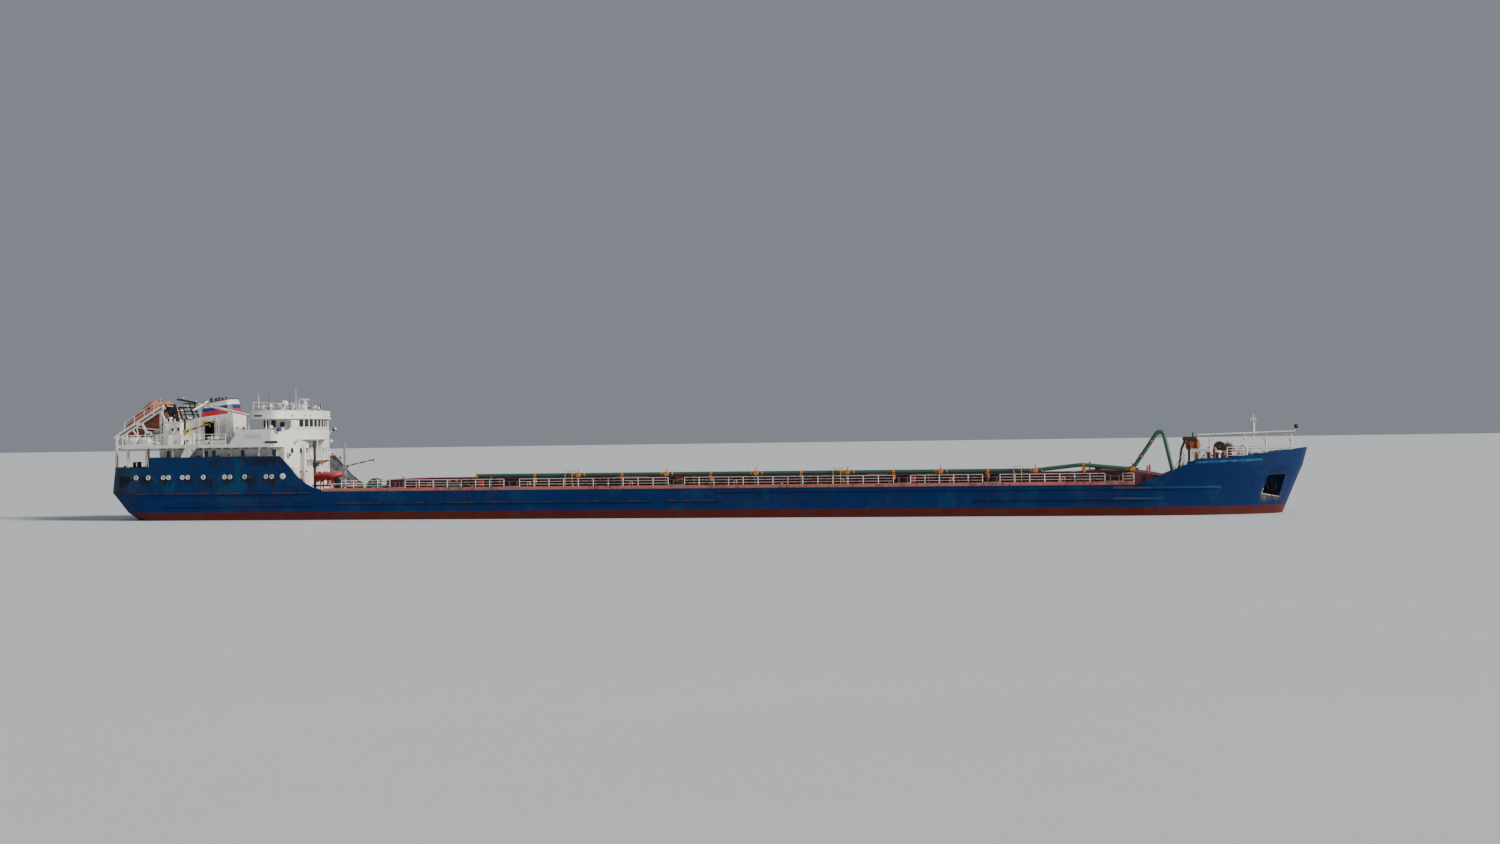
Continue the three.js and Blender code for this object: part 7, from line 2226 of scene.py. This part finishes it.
def build_windlass():
    """The windlass: two chain wheels with their chains, rope drums, warping heads, brakes and a motor."""
    deck = FORECASTLE_DECK
    axle = Vector((53.55, 0, deck + 0.7))
    gear = Shape()
    gear.bed(52.7, 54.4, -1.9, 1.9, 0.1, deck + SEAT, deck + 0.16)
    for y in (-1.5, -0.5, 0.5, 1.5):
        gear.plate([(53.05, deck + 0.1), (54.05, deck + 0.1), (53.85, deck + 0.85), (53.7, deck + 0.95),
                    (53.4, deck + 0.95), (53.25, deck + 0.85)], y - 0.07, y + 0.07)
        gear.turned(axle + PORT * y, PORT, [(-0.11, 0.2), (0.11, 0.2)], 16, "grey")
    gear.turned(axle, PORT, [(-2.25, 0.1), (2.25, 0.1)], 16, "steel")
    for side in SIDES:
        drum = axle + PORT * side * 1.0
        gear.spool(drum - PORT * 0.38, PORT, 0.53, 0.05, 0.47, 0.27, 24)
        for i in range(4):
            gear.hoop(drum + PORT * (-0.28 + 0.1 * i), PORT, 0.31, 0.05, 22, "rope", 6)
        wheel = drum + PORT * 0.26
        gear.turned(wheel, PORT, [(-0.1, 0.34), (-0.05, 0.24), (0.05, 0.24), (0.1, 0.34)], 12, "steel")
        gear.turned(axle + PORT * side * 2.02, PORT * side,
                    [(-0.18, 0.27), (-0.14, 0.27), (-0.02, 0.18), (0.1, 0.19), (0.2, 0.28), (0.22, 0.28),
                     (0.24, 0.1)], 22)
        hand_wheel(gear, (52.85, side * 1.5, deck + 1.0), AHEAD, 0.2, "red")
        gear.tube([(52.95, side * 1.5, deck + 1.0), (53.3, side * 1.2, deck + 0.45)], 0.03, 8, "steel")
        chain(gear, wheel + Vector((0.24, 0, 0.22)), Vector((55.35, side * 1.35, deck + 0.14)))
        gear.turned((55.4, side * 1.35, deck), (-0.4, 0, 1),
                    [(0, 0.24), (0.06, 0.24), (0.2, 0.17), (0.24, 0.2), (0.26, 0.12)], 16, "black")
        # Chain stopper between the windlass and the pipe.
        y = side * 1.33
        gear.box(54.75, 55.05, y - 0.2, y + 0.2, deck + SEAT, deck + 0.08, "black")
        for cheek in (y - 0.15, y + 0.15):
            gear.box(54.8, 55.0, cheek - 0.04, cheek + 0.04, deck + 0.06, deck + 0.42, "black")
    gear.turned((53.55, 0, deck + 0.5), PORT, [(-0.38, 0.2), (-0.34, 0.26), (0.34, 0.26), (0.38, 0.2)], 20)
    gear.box(53.2, 53.95, -0.42, 0.42, deck + 0.1, deck + 0.36)
    gear.stand_for("windlass", "_gear")


def chain(shape, start, end, link=0.11, wire=0.022):
    """Stud links from start to end, each turned square to the last."""
    start, end = Vector(start), Vector(end)
    along = (end - start).normalized()
    up = along.cross(PORT).normalized()
    count = int((end - start).length / (link * 1.3))
    for i in range(count):
        middle = start.lerp(end, (i + 0.5) / count)
        across = PORT if i % 2 else up
        ring = [middle + along * a + across * b for a, b in rounded(link, link * 0.6, link * 0.6, 3)]
        shape.tube(ring, wire, 6, "steel", closed=True)


def build_reel():
    """The reel with its teal rope."""
    reel = Shape()
    axle = Vector((52.3, 3.1, FORECASTLE_DECK + 1.15))
    reel.turned(axle, PORT, [(-0.59, 0.12), (0.59, 0.12)], 16, "steel")
    reel.turned(axle, PORT, [(-0.48, 0.28), (0.48, 0.28)], 24, "orange")
    for y in (-0.5, 0.5):
        hub = axle + PORT * y
        reel.turned(hub, PORT, [(-0.04, 0.12), (-0.04, 0.18), (0.04, 0.18), (0.04, 0.12)], 20, "orange")
        reel.hoop(hub, PORT, 0.51, 0.038, 32, "orange", 8)
        for angle in range(0, 360, 45):
            turn = compass(angle)
            arm = Vector((turn.x, 0, turn.y))
            reel.tube([hub + arm * 0.15, hub + arm * 0.5], 0.024, 8, "orange")
    for layer, radius in enumerate((0.31, 0.38)):
        for i in range(9 - layer):
            turn = axle + PORT * (-0.4 + 0.1 * i + 0.05 * layer)
            reel.hoop(turn, PORT, radius, 0.052, 28, "teal_rope", 8)
    reel.stand_for("rope_reel", "_drum")


def build_pump():
    """The pump set: an electric motor with ribs, its pump, a strainer and a starter box."""
    deck = FORECASTLE_DECK
    pump = Shape()
    pump.bed(50.9, 52.3, -3.0, -1.6, 0.06, deck + SEAT, deck + 0.14, "salmon")
    pump.turned((51.35, -2.3, deck + 0.55), AHEAD,
                [(-0.05, 0.3), (0.0, 0.38), (0.72, 0.38), (0.82, 0.3), (0.84, 0.12)], 24, "salmon")
    for i in range(16):
        turn = compass(22.5 * i)
        rib = Vector((51.4, -2.3 + turn.x * 0.385, deck + 0.55 + turn.y * 0.385))
        pump.tube([rib, rib + AHEAD * 0.6], 0.02, 6, "salmon")
    pump.turned((51.0, -2.3, deck + 0.5), AHEAD,
                [(-0.08, 0.26), (-0.06, 0.32), (0.18, 0.32), (0.2, 0.2), (0.32, 0.1)], 24, "salmon")
    bends = ((50.97, -2.3, 0.75), (50.97, -2.3, 1.05), (51.05, -2.5, 1.18), (51.1, -2.78, 1.2))
    pump.tube([(x, y, deck + rise) for x, y, rise in bends], 0.09, 12, "salmon")
    pump.turned((51.1, -2.85, deck + 0.14), UP,
                [(0, 0.19), (0.7, 0.19), (0.72, 0.22), (0.8, 0.22), (0.9, 0.17),
                                                 (1.08, 0.1), (1.1, 0.0)], 18, "salmon")
    pump.box(51.9, 52.15, -3.0, -2.6, deck + 0.5, deck + 0.95, "grey")
    pump.tube([(52.02, -2.8, deck + 0.1), (52.02, -2.8, deck + 0.5)], 0.04, 8, "grey")
    for x in (51.4, 52.0):
        pump.box(x - 0.05, x + 0.05, -2.62, -1.98, deck + 0.1, deck + 0.26, "salmon")
    pump.stand_for("pump_set", "_machine")


def build_beam():
    """The beam over the forecastle on its posts, and the light mast with its platform and lamps."""
    deck = FORECASTLE_DECK
    beam = Shape()
    start, end = Vector((49.6, 0, 7.22)), Vector((58.3, 0, 7.46))

    def at(x):
        return start.lerp(end, (x - start.x) / (end.x - start.x))

    beam.tube([start, end], 0.11, 18)
    for x in (49.6, 53.0, 56.6, 58.26):
        beam.turned(at(x), AHEAD, [(-0.02, 0.14), (0.04, 0.14)], 20)
    for x in (50.6, 55.7, 58.0):
        beam.tube([(x, 0, deck), at(x)], 0.07, 14)
        beam.turned((x, 0, deck), UP, [(0, 0.18), (0.04, 0.18), (0.05, 0.09)], 16)
        beam.tube([(x, 0, deck + 1.5), at(x - 0.5 if x > 51 else x + 0.5)], 0.035, 8)
    mast = Vector((54.6, 0, 7.36))
    beam.tube([mast, mast + UP * 1.0, mast + UP * 1.74], [0.1, 0.075, 0.045], 16)
    for x in (54.45, 54.75):
        beam.tube([(x, 0, 7.4), (x, 0, 8.5)], 0.02, 8)
    for i in range(5):
        beam.tube([(54.45, 0, 7.6 + 0.2 * i), (54.75, 0, 7.6 + 0.2 * i)], 0.015, 6)
    beam.bed(54.33, 54.87, -0.27, 0.27, 0.05, 8.5, 8.54)
    rail = [(54.35, -0.25), (54.85, -0.25), (54.85, 0.25), (54.35, 0.25)]
    beam.tube([(x, y, 8.8) for x, y in rail], 0.012, 6, closed=True)
    for x, y in rail:
        beam.tube([(x, y, 8.53), (x, y, 8.8)], 0.012, 6)
    for x, z in ((54.6, 8.96), (54.79, 8.66), (54.42, 8.66)):
        beam.turned((x, 0, z), UP, [(-0.08, 0.05), (-0.06, 0.07), (-0.05, 0.05), (0.06, 0.05), (0.07, 0.07),
                                    (0.11, 0.03)], 14, "lens")
    for x in (53.8, 54.6):
        lamp = Vector((x, -0.24, 6.9))
        floodlight(beam, at(x) - UP * 0.1, lamp, (-0.7, -0.3, -0.6), 0.14)
    beam.tube([(58.28, 0, 7.46), (58.45, 0, 7.75)], 0.025, 8)
    beam.ball((58.46, 0, 7.95), 0.21, 20, "black")
    beam.stand_for("forecastle_beam", "_tubes")


POCKET = ((55.2, 1.9), (56.75, 1.6), (57.3, 3.58), (55.8, 3.56))


def build_anchors():
    """Stockless anchors drawn up in their pockets, and the lips round the pockets."""
    centre_x = sum(x for x, z in POCKET) / 4
    centre_z = sum(z for x, z in POCKET) / 4
    for name, side in HANDS:
        anchor = Shape()
        y = side * 2.2
        crown = Vector((56.12, y, 2.2))
        top = Vector((56.05, y, 3.28))
        lean = (top - crown).normalized()
        across = Vector((lean.z, 0, -lean.x))
        anchor.tube([crown, crown.lerp(top, 0.5), top - lean * 0.05], [0.1, 0.08, 0.06], 12, "black")
        anchor.hoop(top - lean * 0.1, AHEAD, 0.075, 0.025, 16, "black", 8)
        anchor.tube([crown - across * 0.4, crown + across * 0.4], [0.1, 0.1], 14, "black")
        anchor.turned(crown - lean * 0.05, lean, [(-0.12, 0.1), (-0.08, 0.16), (0.1, 0.16), (0.14, 0.1)], 14,
                      "black")
        for reach in SIDES:
            root = crown + across * reach * 0.3
            tip = crown + across * reach * 0.44 + lean * 0.72
            wide = across * 0.13
            thick = PORT * 0.05
            corners = ((-1, -1), (1, -1), (1, 1), (-1, 1))
            sections = ((root, 1, 1), (root.lerp(tip, 0.6), 0.9, 0.8), (tip, 0.1, 0.3))
            anchor.rings([[spot + wide * share * a + thick * slim * b for a, b in corners]
                          for spot, share, slim in sections], "black")
        anchor.stand_for("anchor_" + name, "_forged", 0.008)

        # A thin rim round the pocket, and the worn lip that the chain rubs, below and aft.
        lip = Shape()
        low_fore, low_aft = sorted(sorted(POCKET, key=lambda corner: corner[1])[:2], reverse=True)
        high_aft = min(sorted(POCKET, key=lambda corner: corner[1])[2:])
        knee = tuple(a + (b - a) * 0.4 for a, b in zip(low_aft, high_aft))
        for corners, closed, radius, paint in ((POCKET, True, 0.025, "hull"),
                                               ((low_fore, low_aft, knee), False, 0.045, "rusty_lip")):
            path = []
            ends = list(corners[1:]) + ([corners[0]] if closed else [])
            for (x0, z0), (x1, z1) in zip(corners, ends):
                for share in (0.04, 0.28, 0.52, 0.76):
                    x = centre_x + (x0 + (x1 - x0) * share - centre_x) * 1.07
                    z = centre_z + (z0 + (z1 - z0) * share - centre_z) * 1.07
                    path.append(hull_side(x, z, side)[0])
            lip.tube(path, radius, 10, paint, closed=closed)
        lip.build(f"anchor_pocket_lip_{name}", slot="hull_blue")


def build_stern_gear():
    """The propellers and the rudders."""
    for name in ("starboard", "port"):
        plated("propeller_" + name, "cast_bronze", 0.01)
        plated("rudder_" + name, "hull", 0.01)


# Stage

CAMERA_PLACE = (5.085, -19.906, 0.74)   # metres of the model
CAMERA_AZIMUTH = math.radians(12.5)
CAMERA_PITCH = math.radians(0.48)
CAMERA_ROLL = math.radians(0.78)
FLOOR_REACH = 400.0
HOLE = (-3.0, 4.5, 0.55)                # where the floor is open inside the hull: x, x, half width


def build_stage():
    """The camera, the floor, the sky light and the sun."""
    scene = bpy.context.scene
    lens = bpy.data.cameras.new("camera")
    lens.lens = 50.0
    lens.sensor_width = 36.0
    lens.clip_start = 0.1
    lens.clip_end = 1000.0
    camera = bpy.data.objects.new("camera", lens)
    scene.collection.objects.link(camera)
    scene.camera = camera
    level = Vector((-math.sin(CAMERA_AZIMUTH), math.cos(CAMERA_AZIMUTH), 0))
    right = Vector((math.cos(CAMERA_AZIMUTH), math.sin(CAMERA_AZIMUTH), 0))
    ahead = level * math.cos(CAMERA_PITCH) + Vector((0, 0, math.sin(CAMERA_PITCH)))
    up = right.cross(ahead)
    rolled_right = right * math.cos(CAMERA_ROLL) - up * math.sin(CAMERA_ROLL)
    rolled_up = up * math.cos(CAMERA_ROLL) + right * math.sin(CAMERA_ROLL)
    axes = Matrix((rolled_right, rolled_up, -ahead)).transposed()
    camera.matrix_world = Matrix.Translation(CAMERA_PLACE) @ axes.to_4x4()

    low, high, half = HOLE
    reach = FLOOR_REACH
    columns = (-reach, low, high, reach)
    rows = (-reach, -half, half, reach)
    points = [(x, y, 0.0) for y in rows for x in columns]
    faces = [(r * 4 + c, r * 4 + c + 1, r * 4 + c + 5, r * 4 + c + 4)
             for r in range(3) for c in range(3) if (r, c) != (1, 1)]
    mesh = bpy.data.meshes.new("floor")
    mesh.from_pydata(points, [], faces)
    graph, shader = new_material("floor_finish")
    grain = graph.noise(graph.node("ShaderNodeTexCoord").outputs["Object"], 0.6, 3.0)
    graph.join(graph.mix(grain, (0.60, 0.63, 0.66), (0.63, 0.66, 0.69)), shader.inputs["Base Color"])
    shader.inputs["Roughness"].default_value = 0.6
    mesh.materials.append(finish("floor_finish"))
    floor = bpy.data.objects.new("floor", mesh)
    scene.collection.objects.link(floor)

    world = bpy.data.worlds.new("studio")
    world.use_nodes = True
    background = world.node_tree.nodes["Background"]
    background.inputs["Color"].default_value = (0.74, 0.82, 0.92, 1.0)
    background.inputs["Strength"].default_value = 0.3
    scene.world = world

    sun = bpy.data.lights.new("key", "SUN")
    sun.energy = 4.9
    sun.angle = math.radians(14)
    sun.color = (1.0, 0.95, 0.87)
    key = bpy.data.objects.new("key", sun)
    key.rotation_mode = "QUATERNION"
    towards = Vector((0.86, -0.2, 0.5))
    key.rotation_quaternion = towards.to_track_quat("Z", "Y")
    scene.collection.objects.link(key)


# Operators

class ShipOperator:
    """What the builders of the ship's pieces share."""
    bl_options = {"REGISTER"}

    def execute(self, context):
        type(self).make()
        return {"FINISHED"}


class SHIP_OT_hull(ShipOperator, bpy.types.Operator):
    """Build the hull's plating, strakes and portholes"""
    bl_idname = "ship.hull"
    bl_label = "Hull"
    make = staticmethod(build_hull)


class SHIP_OT_houses(ShipOperator, bpy.types.Operator):
    """Build the deckhouses, the bridge and the funnel"""
    bl_idname = "ship.houses"
    bl_label = "Deckhouses"
    make = staticmethod(build_houses)


class SHIP_OT_hold(ShipOperator, bpy.types.Operator):
    """Build the hold and its coamings"""
    bl_idname = "ship.hold"
    bl_label = "Hold"
    make = staticmethod(build_hold)


class SHIP_OT_mast(ShipOperator, bpy.types.Operator):
    """Build the lowered mast"""
    bl_idname = "ship.mast"
    bl_label = "Mast"
    make = staticmethod(build_mast)


class SHIP_OT_lifting_gear(ShipOperator, bpy.types.Operator):
    """Build the derricks"""
    bl_idname = "ship.lifting_gear"
    bl_label = "Lifting gear"
    make = staticmethod(build_lifting_gear)


class SHIP_OT_boats(ShipOperator, bpy.types.Operator):
    """Build the lifeboat and the rescue boat"""
    bl_idname = "ship.boats"
    bl_label = "Boats"
    make = staticmethod(build_boats)


class SHIP_OT_main_deck(ShipOperator, bpy.types.Operator):
    """Build the deck edges, rails and cargo pipe"""
    bl_idname = "ship.main_deck"
    bl_label = "Main deck"
    make = staticmethod(build_main_deck)


class SHIP_OT_forecastle(ShipOperator, bpy.types.Operator):
    """Build the gear on the forecastle"""
    bl_idname = "ship.forecastle"
    bl_label = "Forecastle"
    make = staticmethod(build_forecastle)


class SHIP_OT_stern_gear(ShipOperator, bpy.types.Operator):
    """Build the propellers and rudders"""
    bl_idname = "ship.stern_gear"
    bl_label = "Stern gear"
    make = staticmethod(build_stern_gear)


class SHIP_OT_stage(bpy.types.Operator):
    """Set the floor, the light and the camera"""
    bl_idname = "ship.stage"
    bl_label = "Stage"

    def execute(self, context):
        build_stage()
        return {"FINISHED"}


PIECE_OPERATORS = (
    SHIP_OT_stage, SHIP_OT_hull, SHIP_OT_houses, SHIP_OT_hold, SHIP_OT_mast, SHIP_OT_lifting_gear,
    SHIP_OT_boats, SHIP_OT_main_deck, SHIP_OT_forecastle, SHIP_OT_stern_gear)


class SHIP_PT_panel(bpy.types.Panel):
    """The ship's pieces, paints and sizes"""
    bl_idname = "SHIP_PT_panel"
    bl_label = "Ship"
    bl_space_type = "VIEW_3D"
    bl_region_type = "UI"
    bl_category = "Ship"

    def draw(self, context):
        for operator in PIECE_OPERATORS:
            self.layout.operator(operator.bl_idname)
        for group in (context.scene.ship_paints, context.scene.ship_sizes):
            for name in group.__annotations__:
                self.layout.prop(group, name)


CLASSES = (ShipPaints, ShipSizes, *PIECE_OPERATORS, SHIP_PT_panel)


def register():
    for cls in CLASSES:
        bpy.utils.register_class(cls)
    bpy.types.Scene.ship_paints = PointerProperty(type=ShipPaints)
    bpy.types.Scene.ship_sizes = PointerProperty(type=ShipSizes)


def unregister():
    del bpy.types.Scene.ship_sizes
    del bpy.types.Scene.ship_paints
    for cls in reversed(CLASSES):
        bpy.utils.unregister_class(cls)


def main():
    register()
    for operator in PIECE_OPERATORS:
        group, name = operator.bl_idname.split(".")
        getattr(getattr(bpy.ops, group), name)()


if __name__ == "__main__":
    main()
